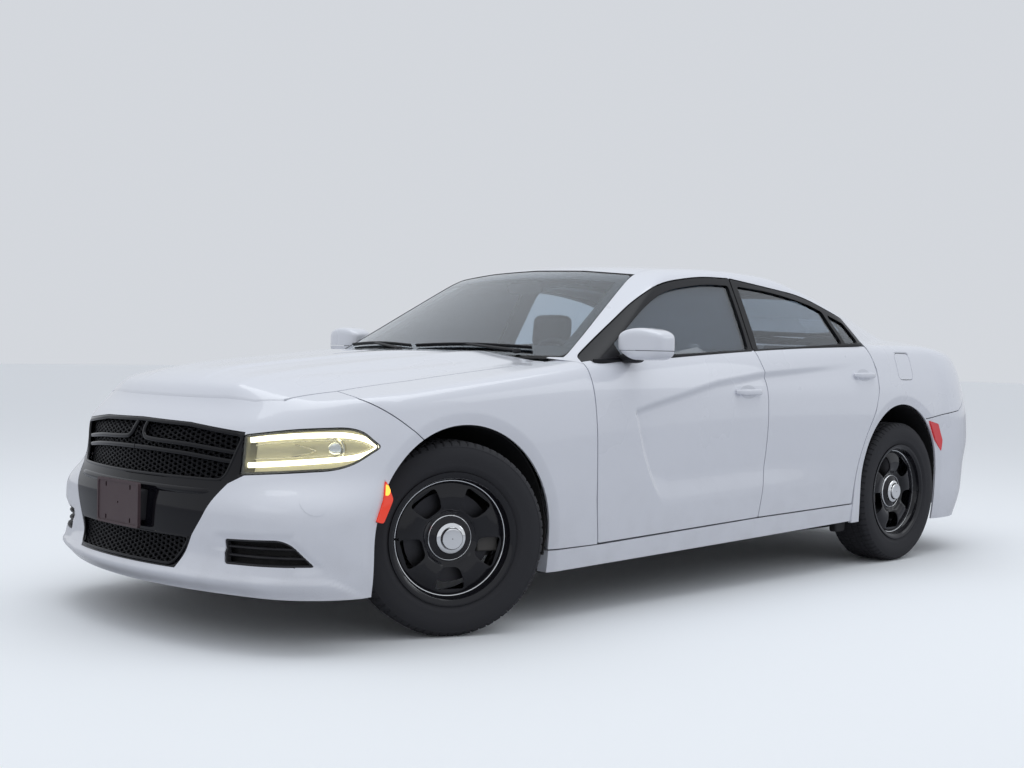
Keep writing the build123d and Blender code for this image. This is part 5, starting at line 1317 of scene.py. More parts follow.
def both_sides(name: str, mesh: bpy.types.Mesh, bodies: tuple[str, str], finish: Finish,
               replaces: Sequence[str] = (), whole: Sequence[str] = ()) -> None:
    """Places a left piece and its mirrored right piece.

    Args:
        name: the pieces' name without its side.
        mesh: the left piece.
        bodies: the bodies that carry the two.
        finish: their material.
        replaces: CAD nodes of both sides, named without _left and _right.
        whole: CAD nodes that cover both sides, named on the left piece.
    """
    other = mirrored(mesh)
    place(f"{name}_left", mesh, bodies[0], finish, [*(f"{node}_left" for node in replaces), *whole])
    place(f"{name}_right", other, bodies[1], finish, [f"{node}_right" for node in replaces])


def panel(patch: Patch, keep: Sequence[bpy.types.Mesh], cut: Sequence[bpy.types.Mesh]) -> bpy.types.Mesh:
    """A patch cut to shape and shaded by its hull."""
    return true_normals(carve(patch.mesh(), keep, cut), patch.hull, patch.outer, patch.dent)


def panel_pair(name: str, patch: Patch, keep: Sequence[bpy.types.Mesh], cut: Sequence[bpy.types.Mesh],
               bodies: tuple[str, str], finish: Finish, replaces: Sequence[str] = (),
               whole: Sequence[str] = ()) -> None:
    """A left panel and its mirrored right one, shaded by the hull; replaces and whole as in both_sides."""
    mesh = carve(patch.mesh(), keep, cut)
    other = mirrored(mesh)
    place(f"{name}_left", true_normals(mesh, patch.hull, patch.outer, patch.dent), bodies[0], finish,
          [*(f"{node}_left" for node in replaces), *whole])
    place(f"{name}_right", true_normals(other, patch.hull, patch.outer, patch.dent), bodies[1], finish,
          [f"{node}_right" for node in replaces])


BODY_PAIR = ("body", "body")
FRONT_DOORS = ("front_door_left", "front_door_right")
REAR_DOORS = ("rear_door_left", "rear_door_right")
FAR = 1100.0


def rectangle(u0: float, u1: float, v0: float, v1: float) -> Outline:
    """The outline between two corners."""
    return [(u0, v0), (u1, v0), (u1, v1), (u0, v1)]


def box(x0: float, x1: float, y0: float, y1: float, z0: float, z1: float) -> bpy.types.Mesh:
    """A closed box between two corners, for cutting."""
    return prism(Axis.Z, rectangle(x0, x1, y0, y1), z0, z1)


def screen_rooms(step: float) -> list[bpy.types.Mesh]:
    """The outlines of the windshield and the rear window, grown by a step, for cutting their neighbours."""
    return [prism(Axis.X, grown(WINDSHIELD, step), front(-1500), NOSE_X),
            prism(Axis.X, grown(BACKLIGHT, step), TAIL_X, front(-2200))]


def hood_room() -> bpy.types.Mesh:
    """The hood's outline with its shut gap, for cutting its neighbours."""
    return prism(Axis.Z, grown(HOOD, SHUT_GAP), COWL_Z - 300, COWL_Z + 100)


def lid_outline() -> Outline:
    """The trunk lid's plan outline: its sides, and a front edge along the cabin's surface at deck height."""
    y = np.linspace(-side(300), side(300), 33)
    low, high = np.full_like(y, tail(200)), np.full_like(y, tail(900))
    for _ in range(30):
        middle = (low + high) / 2
        inside = CABIN.outside(np.stack([middle, y, np.full_like(y, DECK_Z - 4)], 1)) < 12
        high, low = np.where(inside, middle, high), np.where(inside, low, middle)
    front_edge = [(float(a), float(b)) for a, b in zip((low + high) / 2, y)]
    return [*front_edge, *LID_SIDE, *[(x, -y) for x, y in reversed(LID_SIDE)]]


@dataclass
class SideDoors:
    """The four doors: painted skins, black window frames, panes, inner cards, handles and belt strips."""

    depth: float = 110.0
    frame_depth: float = 28.0
    card: float = 9.0
    handle_length: float = 185.0

    def lower(self, name: str, outline: Outline, span: tuple[float, float], bodies: tuple[str, str],
              node: str) -> None:
        """The painted skin and box of a door below its windows."""
        x0, x1 = span
        under = [(x0, 100.0), (x1, 100.0), (x1, belt(x1) + 3), (x0, belt(x0) + 3)]
        patch = Patch(LOWER, door_rays, (x0 + 10, x1 - 10, int((x1 - x0) / 9)), (0.0, 1.0, 130), 0.0, -104.0,
                      side_relief)
        keep = [prism(Axis.Y, eased(outline, 7.0), side(self.depth) + self.card, FAR),
                prism(Axis.Y, under, 0, FAR)]
        panel_pair(f"{name}_skin", patch, keep, [], bodies, WHITE, [node])
        card = carve(prism(Axis.Y, grown(rounded(outline, 30.0), -26.0), side(self.depth) + 0.5,
                           side(self.depth) + self.card),
                     [prism(Axis.Y, [(x, z - 16) for x, z in under], 0, FAR)])
        both_sides(f"{name}_card", soften(card), bodies, CABIN_PLASTIC)

    def upper(self, name: str, outline: Outline, windows: Sequence[Outline], span: tuple[float, float],
              bodies: tuple[str, str], node: str) -> None:
        """The black frame round a door's windows and its panes."""
        x0, x1 = span
        over = [(x0, belt(x0) - 30), (x1, belt(x1) - 30), (x1, ROOF_Z + 50), (x0, ROOF_Z + 50)]
        patch = Patch(CABIN, cabin_rays, (x0 + 6, x1 - 6, int((x1 - x0) / 12)), (-8, 62, 76), 0.0,
                      -self.frame_depth)
        holes = [prism(Axis.Y, eased(window, 16.0), 200, FAR) for window in windows]
        keep = [prism(Axis.Y, eased(outline, 9.0), 200, FAR), prism(Axis.Y, over, 0, FAR)]
        panel_pair(f"{name}_frame", patch, keep, holes, bodies, FRAME_BLACK)
        for number, window in enumerate(windows):
            pane = Patch(CABIN, cabin_rays, (x0, x1, int((x1 - x0) / 22)), (-8, 62, 44), -9.0, -13.0)
            keep = [prism(Axis.Y, grown(eased(window, 14.0), 5.0), 200, FAR)]
            panel_pair(f"{name}_pane_{number}", pane, keep, [], bodies, WINDOW, [node] if number == 0 else ())

    def belt_strip(self, name: str, span: tuple[float, float], bodies: tuple[str, str]) -> None:
        """The black strip along a door's belt, set on the cabin's surface just under the glass."""
        x = np.linspace(*span, 40)
        on = CABIN.cast(np.stack([x, 0 * x, belt(x)], 1), ACROSS, 3.0)
        both_sides(name, solid(tube(on, round_section(5.0, 9.0, 12, 3.0))), bodies, FRAME_BLACK)

    def handle(self, name: str, x: float, z: float, bodies: tuple[str, str]) -> None:
        """A pull handle: a bowed bar on two feet over a hollow cup in a darker copy of the skin's colour,
        which is painted shade.
        """
        t = np.linspace(-1, 1, 33)
        along = x + t * self.handle_length / 2
        inside = np.stack([along, RAY_LINE_Y + 0 * t, z + 0 * t], 1)
        skin = LOWER.cast(inside, ACROSS, 0.0, (0, 900), side_relief)
        lift = 8 + 20 * (1 - np.abs(t) ** 5)
        path = skin + np.stack([0 * t, lift, 0 * t], 1)
        points, quads, ends = tube(path, round_section(6.5, 13.0, 18, 2.8))
        squeeze = 1 - 0.42 * np.abs(np.repeat(t, 18)) ** 7
        middle = np.repeat(path, 18, axis=0)
        points = middle + (points - middle) * squeeze[:, None]
        reach = self.handle_length / 2 - 14
        feet = [pillow((x + s * reach, skin[16, 1] + 5, z), (13, 14, 10), (3.0, 3.0), 10, 20)
                for s in (-1, 1)]
        both_sides(name, solid(joined([(points, quads, ends), *feet])), bodies, WHITE)
        rings, steps = 8, 48
        size = rings * steps
        r, a = np.linspace(0, 1, rings + 1)[1:], np.linspace(0, 2 * np.pi, steps, endpoint=False)
        u = x - 6 + np.outer(r, np.cos(a)) * 62
        v = z + np.outer(r, np.sin(a)) * 30
        inside = np.stack([u.ravel(), RAY_LINE_Y + 0 * u.ravel(), v.ravel()], 1)
        rim = LOWER.cast(inside, ACROSS, 0.8, (0, 900), side_relief)
        net = grid_faces(rings, steps)
        wrap = np.array([[k * steps - 1, (k + 1) * steps - 1, k * steps, (k - 1) * steps]
                         for k in range(1, rings)])
        back = rim.copy()
        back[:, 1] -= 1.6
        faces = np.concatenate([net, wrap])
        k = size - steps + np.arange(steps)
        m = size - steps + (np.arange(steps) + 1) % steps
        outer = np.stack([k, m, m + size, k + size], 1)
        cup = mesh_of("cup", np.concatenate([rim, back]),
                      np.concatenate([faces, faces[:, ::-1] + size, outer]),
                      [list(range(steps)), list(range(size, size + steps))[::-1]])
        # The cup takes the darker copy of the white: painted shade in the hollow.
        both_sides(f"{name}_cup", soften(outward(cup)), bodies, SHADED_JAMB_PAINT)

    def build(self) -> None:
        """Builds all four doors."""
        self.lower("door_front", FRONT_DOOR, (front(-1870), front(-640)), FRONT_DOORS, "door_front")
        self.lower("door_rear", REAR_DOOR, (rear(215), front(-1770)), REAR_DOORS, "door_rear")
        self.upper("door_front", FRONT_DOOR, [FRONT_WINDOW], (front(-1880), front(-640)), FRONT_DOORS,
                   "door_front_glass")
        self.upper("door_rear", REAR_DOOR, [REAR_WINDOW_SIDE, QUARTER_WINDOW], (rear(250), front(-1770)),
                   REAR_DOORS, "door_rear_glass")
        self.belt_strip("door_front_belt_strip", (front(-1782), front(-720)), FRONT_DOORS)
        self.belt_strip("door_rear_belt_strip", (rear(296), front(-1806)), REAR_DOORS)
        self.handle("door_front_handle", front(-1690), BELT_Z - 128, FRONT_DOORS)
        self.handle("door_rear_handle", rear(378), BELT_Z - 50, REAR_DOORS)


@dataclass
class DoorMirrors:
    """The mirrors: a painted cap over a painted lower shell, a black rim, foot and sail, and the glass."""

    x: float = front(-908)
    inner_y: float = side(82)
    outer_y: float = side(-149)
    middle_z: float = BELT_Z + 74
    half: tuple[float, float] = (72.0, 66.0)
    wall: float = 14.0

    def shell(self, points: np.ndarray) -> np.ndarray:
        """Domes the top, lifts the inner end of the underside and leans the outer end back."""
        share = (points[:, 1] - self.inner_y) / (self.outer_y - self.inner_y)
        q = points.copy()
        rise = q[:, 2] - self.middle_z
        dome = 1 - 0.30 * (2 * share - 1) ** 2
        tuck = 1 - 0.62 * (1 - ramp(share, -0.1, 0.42)) - 0.10 * ramp(share, 0.8, 1.0)
        q[:, 2] = self.middle_z + np.where(rise > 0, rise * dome, rise * tuck)
        q[:, 0] -= 10 * share ** 2
        return q

    def build(self) -> None:
        """Builds both mirrors."""
        y, half_y = (self.inner_y + self.outer_y) / 2, (self.outer_y - self.inner_y) / 2
        depth, high = self.half
        back, ahead = self.x - depth - 20, self.x + depth + 20
        whole = solid(pillow((self.x + 8, y, self.middle_z), (depth - 6, half_y, high), (4.0, 5.0), 52, 84,
                             self.shell))
        seam, rim_x = self.middle_z - 26, self.x - depth + 30
        behind = box(back, rim_x, 0, FAR + 10, 0, 2000)
        cap = carve(whole.copy(), [], [behind.copy(), box(back, ahead, 0, FAR + 10, 0, seam)])
        base = carve(whole.copy(), [box(back, ahead, 0, FAR + 10, 0, seam - 2.5)], [behind.copy()])
        room = box(back, rim_x - 8, self.inner_y + self.wall, self.outer_y - self.wall, self.middle_z - 46,
                   self.middle_z + 46)
        rim = carve(whole.copy(), [behind], [room])
        both_sides("mirror_cap", soften(cap, 40), FRONT_DOORS, WHITE)
        both_sides("mirror_base", soften(base, 40), FRONT_DOORS, WHITE, ["door_mirror"])
        both_sides("mirror_rim", soften(rim, 40), FRONT_DOORS, BLACK_PLASTIC)
        pane = box(rim_x - 14, rim_x - 10, self.inner_y, self.outer_y, self.middle_z - 45, self.middle_z + 45)
        both_sides("mirror_glass", carve(pane, [whole]), FRONT_DOORS, SILVER_GLASS)
        foot = solid(pillow((self.x + 2, side(50), BELT_Z + 14), (33, 60, 20), (3.0, 3.0), 20, 36))
        both_sides("mirror_foot", foot, FRONT_DOORS, BLACK_PLASTIC)
        low = belt(front(-760)) + 3
        triangle = [(front(-748), low), (front(-872), low + 74), (front(-900), low + 2)]
        sail = Patch(CABIN, cabin_rays, (front(-930), front(-730), 30), (-8, 30, 30), -3.0, -8.0)
        panel_pair("mirror_sail", sail, [prism(Axis.Y, rounded(triangle, 6.0), 200, FAR)], [], FRONT_DOORS,
                   BLACK_PLASTIC)


def arch_room(arch: tuple[float, float, float], inner_y: float) -> bpy.types.Mesh:
    """The room of one left wheel arch."""
    return drum(*arch, inner_y, FAR)


@dataclass
class BodyShell:
    """The fixed body: sides with pillars and quarters, sills, roof, screens, cowl, fenders and covers."""

    skin: float = 18.0

    def sides(self) -> None:
        """Roof rails, pillars and rear quarters as one panel a side, cut round the doors."""
        outline = [(front(-560), COWL_Z - 8), (front(-560), ROOF_Z + 60), (tail(500), ROOF_Z + 60),
                   (tail(-40), DECK_Z + 60), (tail(-40), DECK_Z - 289), (tail(285), DECK_Z - 289),
                   (tail(470), DECK_Z - 376), (rear(-250), DECK_Z - 416), (rear(-250), SILL_Z + 40),
                   *QUARTER[:8], (front(-664), BELT_Z - 12)]
        patch = Patch(BODY, quarter_rays, (front(-540), -2550.0, 380), (-50, 84, 150), 0.0, -self.skin,
                      side_relief)
        y0, y1 = TAIL_BAND
        lamp = prism(Axis.X, [(side(330), y0), (side(330), y1), (FAR, y1 - 12), (FAR, y0 + 12)], TAIL_X - 50,
                     tail(250))
        cuts = [*(prism(Axis.Y, grown(eased(door, 7.0), SHUT_GAP), 0, FAR)
                  for door in (FRONT_DOOR, REAR_DOOR)),
                box(rear(-300), front(-900), -10, ROOF_PANEL_Y + 1.5, roof(200), ROOF_Z + 80),
                *screen_rooms(3),
                box(front(-1000), front(-300), 0, side(250), 0, COWL_Z + 10),
                prism(Axis.Z, grown(lid_outline(), SHUT_GAP), LID_EDGE_Z - SHUT_GAP, ROOF_Z + 50),
                box(TAIL_X - 100, tail(770), -10, side(334), 0, DECK_Z - 10), arch_room(REAR_ARCH, 610.0),
                lamp]
        keep = [prism(Axis.Y, outline, 0, FAR)]
        mesh = carve(patch.mesh(), keep, cuts)
        other = mirrored(mesh)
        fuel = prism(Axis.Y, grown(rounded(FUEL_DOOR, 34.0, 9), 3.5), side(140), FAR)
        mesh = carve(mesh, [], [fuel])
        place("body_side_skin_left", true_normals(mesh, BODY, 0.0, side_relief), "body", WHITE,
              ["body_side_left"])
        place("body_side_skin_right", true_normals(other, BODY, 0.0, side_relief), "body", WHITE,
              ["body_side_right"])

    def jambs(self) -> None:
        """The steps behind the doors: a B-pillar above the belt, a post below it and a hinge post."""
        pillar = Patch(CABIN, cabin_rays, (front(-1930), front(-1750), 24), (-10, 60, 60), -36.0, -70.0)
        outline = [(front(-1768), BELT_Z + 30), (front(-1800), roof(52)), (front(-1905), roof(52)),
                   (front(-1880), BELT_Z + 30)]
        panel_pair("b_pillar", pillar, [prism(Axis.Y, outline, 200, FAR)], [], BODY_PAIR, CABIN_PLASTIC)
        # The posts take the darker copy of the white: painted shade behind the doors.
        post = prism(Axis.Y, rounded([(front(-1730), SILL_Z + 60), (front(-1745), BELT_Z + 70),
                                      (front(-1930), BELT_Z + 70),
                                   (front(-1910), SILL_Z + 60)], 20), side(214), side(128))
        both_sides("b_post", soften(post), BODY_PAIR, SHADED_JAMB_PAINT)
        hinge = box(front(-716), front(-592), side(248), side(142), SILL_Z + 30, COWL_Z - 82)
        both_sides("hinge_post", soften(hinge), BODY_PAIR, SHADED_JAMB_PAINT)
        inner = Patch(CABIN, cabin_rays, (front(-660), tail(560), 200), (4, 70, 60), -33.0, -52.0)
        cuts = [*(prism(Axis.Y, grown(eased(door, 9.0), -12.0), 0, FAR) for door in (FRONT_DOOR, REAR_DOOR)),
                *screen_rooms(-12),
                box(rear(-300), front(-900), -10, ROOF_PANEL_Y - 30, roof(200), ROOF_Z + 80)]
        lowest = [(front(-600), belt(front(-600)) - 40), (front(-600), ROOF_Z), (tail(500), ROOF_Z),
                  (tail(500), DECK_Z - 60)]
        mesh = carve(inner.mesh(), [prism(Axis.Y, lowest, 200, FAR)], cuts)
        # The inner rails take the darker copy of the white: painted shade in the door openings.
        both_sides("inner_rail", soften(mesh), BODY_PAIR, SHADED_JAMB_PAINT)

    def sills(self) -> None:
        """The sill covers under the doors and the black jack pads behind them."""
        patch = Patch(LOWER, side_rays, (front(-380), rear(370), 170), (-60, -18, 60), 0.0, -60.0,
                      side_relief)
        panel_pair("sill_cover", patch, [prism(Axis.Y, SILL, 400, FAR)],
                   [arch_room(FRONT_ARCH, 400.0), arch_room(REAR_ARCH, 610.0)], BODY_PAIR, WHITE)
        pads = []
        for x in (front(-500), rear(450)):
            pads.append(pillow((x, side(122), SILL_Z + 26), (44, 22, 40), (6.0, 6.0), 12, 24))
        both_sides("jack_pad", solid(joined(pads)), BODY_PAIR, BLACK_PLASTIC)

    def screens(self) -> None:
        """Windshield and rear window with black bands round their inner faces and rubber seals."""
        fore, aft = screen_rays(0.0, 960.0, 1.0), screen_rays(-600.0, 960.0, -1.0)
        rows = (("windshield", WINDSHIELD, fore, (0.0, 60.0, 90), (front(-1500), NOSE_X), "windshield",
                 SCREEN, 42.0),
                ("rear_window", BACKLIGHT, aft, (2.0, 76.0, 110), (TAIL_X, front(-2200)), "rear_window",
                 WINDOW, 38.0))
        for name, outline, rays, rise, span, node, finish, band in rows:
            def patch(outer: float, inner: float) -> Patch:
                """The screen's wall between two levels."""
                return Patch(CABIN, rays, (-side(120), side(120), 120), rise, outer, inner, reach=(0, 2300))
            smooth = rounded(outline, 30.0)
            place(f"{name}_glass", panel(patch(-2.0, -7.0), [prism(Axis.X, smooth, *span)], []), "body",
                  finish, [node])
            place(f"{name}_band", panel(patch(-7.6, -9.2), [prism(Axis.X, grown(smooth, -1.0), *span)],
                                        [prism(Axis.X, grown(smooth, -band), *span)]), "body", GLOSS_BLACK)
            place(f"{name}_seal", panel(patch(-1.0, -12.0), [prism(Axis.X, grown(smooth, 10.0), *span)],
                                        [prism(Axis.X, grown(smooth, -0.5), *span)]), "body", RUBBER_SEAL)

    def roof(self) -> None:
        """The roof panel between the rails, and its headlining."""
        span = box(rear(200), front(-1000), -ROOF_PANEL_Y, ROOF_PANEL_Y, roof(200), ROOF_Z + 40)
        grid = ((rear(190), front(-990), 150), (-ROOF_PANEL_Y - 10, ROOF_PANEL_Y + 10, 90))
        place("roof_skin", panel(Patch(CABIN, up_rays, *grid, 0.0, -self.skin), [span], screen_rooms(3)),
              "body", WHITE, ["roof_panel"])
        lining = box(rear(560), front(-1270), -ROOF_PANEL_Y, ROOF_PANEL_Y, roof(200), ROOF_Z + 40)
        place("roof_lining", panel(Patch(CABIN, up_rays, *grid, -24.0, -30.0), [lining], []), "body",
              CABIN_PLASTIC)

    def front_end(self) -> None:
        """The cowl, the fenders, and the front cover with its black mask."""
        deck = Patch(LOWER, up_rays, (front(-690), front(-430), 50), (-760.0, 760.0, 130), -5.0, -18.0)
        cowl = [(front(-449), 0), (front(-477), 380), (front(-588), side(219)), (front(-665), side(219)),
                (front(-665), -side(219)), (front(-588), -side(219)), (front(-477), -380)]
        slots = [box(front(-560), front(-500), y, y + 7, 800, 1200) for y in np.arange(-600.0, 600.0, 22.0)]
        place("cowl_cover", panel(deck, [prism(Axis.Z, cowl, COWL_Z - 120, COWL_Z + 60)], slots), "body",
              BLACK_PLASTIC, ["cowl_panel"])
        patch = Patch(LOWER, side_rays, (front(-716), front(430), 140), (-50, 78, 150), 0.0, -self.skin,
                      side_relief)
        rooms = [hood_room(), arch_room(FRONT_ARCH, 400.0),
                 box(front(-720), front(-566), 0, side(214), 0, 1500)]
        panel_pair("fender", patch, [prism(Axis.Y, FENDER, 200, FAR)], rooms, BODY_PAIR, WHITE,
                   whole=["fenders"])
        mask = [(560, 752), (300, 776), (0, 782), (-300, 776), (-560, 752), (-583, 606), (-528, 572),
                (-452, 448), (-408, 386), (-346, 266), (346, 266), (408, 386), (452, 448), (528, 572),
                (583, 606)]
        holes = [prism(Axis.X, GRILLE, nose(330), NOSE_X + 50),
                 prism(Axis.X, LOWER_GRILLE, nose(330), NOSE_X + 50)]
        cover = Patch(LOWER, FRONT_FAN, (-77, 77, 290), (-36, 42, 160), 0.0, -self.skin, cover_relief)
        lamp, intake = grown(LAMP_SHAPE, 3), rounded(INTAKE, INTAKE_ROUND, 9)
        cuts = [hood_room(), arch_room(FRONT_ARCH, 400.0), drum(*FRONT_ARCH, -FAR, -400.0)]
        for sign in (1, -1):
            cuts.append(prism(Axis.X, [(sign * y, z) for y, z in lamp], nose(640), NOSE_X + 50))
            cuts.append(prism(Axis.X, [(sign * y, z) for y, z in intake], nose(420), NOSE_X + 50))
            low, high = sorted((sign * side(250), sign * FAR))
            cuts.append(prism(Axis.Y, grown(FRONT_MARKER, 1.0), low, high))
        cuts.append(box(0, NOSE_X + 50, -FAR, FAR, 0, SILL_Z - 2))
        face = carve(cover.mesh(), [prism(Axis.Y, FRONT_COVER, -FAR, FAR)],
                     [*[c.copy() for c in cuts], *[h.copy() for h in holes],
                      prism(Axis.X, mask, nose(330), NOSE_X + 50)])
        place("front_cover_skin", true_normals(face, LOWER, 0.0, cover_relief), "body", WHITE,
              ["front_bumper"])
        cover.outer = -1.5
        black = carve(cover.mesh(), [prism(Axis.Y, FRONT_COVER, -FAR, FAR),
                                     prism(Axis.X, mask, nose(330), NOSE_X + 50)],
                      [*cuts, *holes])
        place("front_cover_mask", true_normals(black, LOWER, -1.5, cover_relief), "body", GLOSS_BLACK)

    def rear_end(self) -> None:
        """The rear cover with its plate recess."""
        y, low, high = REAR_PLATE
        cover = Patch(LOWER, rear_fan, (-80, 80, 260), (-36, 24, 100), 0.0, -self.skin, side_relief)
        cuts = [arch_room(REAR_ARCH, 610.0), drum(*REAR_ARCH, -FAR, -610.0),
                prism(Axis.X, rounded(rectangle(-y, y, low, high), 14.0), TAIL_X - 60, tail(300)),
                box(TAIL_X - 50, tail(600), -side(250), side(250), 0, SILL_Z + 28),
                box(TAIL_X - 50, 0, -FAR, FAR, 0, SILL_Z - 2)]
        for sign in (1, -1):
            cuts.append(prism(Axis.Y, grown(REAR_MARKER, 1.0), *sorted((sign * side(250), sign * FAR))))
            cuts.append(box(TAIL_X - 50, tail(420), *sorted((sign * 460, sign * 580)), 0, 314))
        place("rear_cover_skin", panel(cover, [prism(Axis.Y, REAR_COVER, -FAR, FAR)], cuts), "body", WHITE,
              ["rear_bumper"])
        wall = box(tail(22), tail(58), -y - 11, y + 11, low - 11, high + 11)
        room = prism(Axis.X, rounded(rectangle(-y, y, low, high), 12.0), TAIL_X - 60, tail(46))
        tray = carve(wall, [], [room])
        place("plate_recess", soften(tray), "body", BLACK_PLASTIC)

    def build(self) -> None:
        """Builds the fixed body."""
        self.sides()
        self.jambs()
        self.sills()
        self.screens()
        self.roof()
        self.front_end()
        self.rear_end()


@dataclass
class Lids:
    """The hood, the trunk lid with its lamp band, and the fuel door."""

    skin: float = 18.0

    def build(self) -> None:
        """Builds the three lids."""
        hood = Patch(LOWER, up_rays, (front(-600), nose(184), 170), (-750.0, 750.0, 190), 0.0, -self.skin)
        place("hood_skin", panel(hood, [prism(Axis.Z, rounded(HOOD, 26.0), COWL_Z - 260, COWL_Z + 100)], []),
              "hood", WHITE, ["hood"])
        liner = Patch(LOWER, up_rays, (front(-520), nose(300), 70), (-640.0, 640.0, 80), -20.0, -30.0)
        place("hood_liner", panel(liner, [prism(Axis.Z, rounded(grown(HOOD, -70), 60.0), COWL_Z - 260,
                                                COWL_Z + 100)], []),
              "hood", SOOT)

        def rays(y: np.ndarray, turn: np.ndarray) -> Arrays:
            """Rays from a line across the trunk, from straight back at 0 degrees over the top to forwards."""
            a = np.radians(turn)
            start = np.stack([np.full_like(y, -1950.0), y, np.full_like(y, 900.0)], 1)
            return start, np.stack([-np.cos(a), 0 * a, np.sin(a)], 1)

        lid = Patch(LOWER, rays, (-660.0, 660.0, 130), (-10.0, 152.0, 170), 0.0, -self.skin)
        room = lid_outline()
        band = box(TAIL_X - 50, tail(250), -LID_LAMP_Y, LID_LAMP_Y, *TAIL_BAND)
        place("trunk_lid_skin", panel(lid, [prism(Axis.Z, room, LID_EDGE_Z, DECK_Z + 60)], [band]),
              "trunk_lid", WHITE, ["trunk_lid"])
        lid.outer, lid.inner = -0.5, -8.0
        lens = carve(lid.mesh(), [box(TAIL_X - 50, tail(250), -LID_LAMP_Y + 1.5, LID_LAMP_Y - 1.5,
                                      TAIL_BAND[0] + 1.5, TAIL_BAND[1] - 1.5)])
        place("trunk_lamp_lens", true_normals(lens, LOWER, -0.5), "trunk_lid", RED_LENS, ["trunk_lid_lamp"])
        fuel = Patch(LOWER, side_rays, (rear(-150), rear(40), 24), (20, 60, 50), 0.0, -10.0)
        flap = [prism(Axis.Y, rounded(FUEL_DOOR, 32.0, 9), side(150), FAR)]
        place("fuel_door_skin", panel(fuel, flap, []), "fuel_door", WHITE, ["fuel_door"])
        # The cup behind the fuel door takes the darker copy of the white: painted shade in the recess.
        cup = carve(prism(Axis.Y, rounded(grown(FUEL_DOOR, 10), 40.0, 9), side(118), side(84)), [],
                    [prism(Axis.Y, rounded(grown(FUEL_DOOR, 3), 34.0, 9), side(110), FAR)])
        place("fuel_cup", soften(cup), "body", SHADED_JAMB_PAINT)


def on_front(y: np.ndarray, z: np.ndarray, level: float | np.ndarray) -> np.ndarray:
    """Points of the nose's surface at places (y, z), cast forwards, at a level of the hull's distance."""
    start = np.stack([np.full_like(y, 1500.0), y, z], 1)
    return LOWER.cast(start, AHEAD, level, (0, 1200))


def contains(outline: Outline, y: np.ndarray, z: np.ndarray) -> np.ndarray:
    """Whether places lie in an outline, by counting the edges that a level line crosses."""
    p = np.array(outline, float)
    q = np.roll(p, -1, 0)
    crossing = (p[None, :, 1] > z[:, None]) != (q[None, :, 1] > z[:, None])
    run = np.where(q[:, 1] == p[:, 1], 1e-9, q[:, 1] - p[:, 1])
    at = (q[:, 0] - p[:, 0])[None] * (z[:, None] - p[None, :, 1]) / run[None] + p[None, :, 0]
    return np.sum(crossing & (y[:, None] < at), 1) % 2 == 1


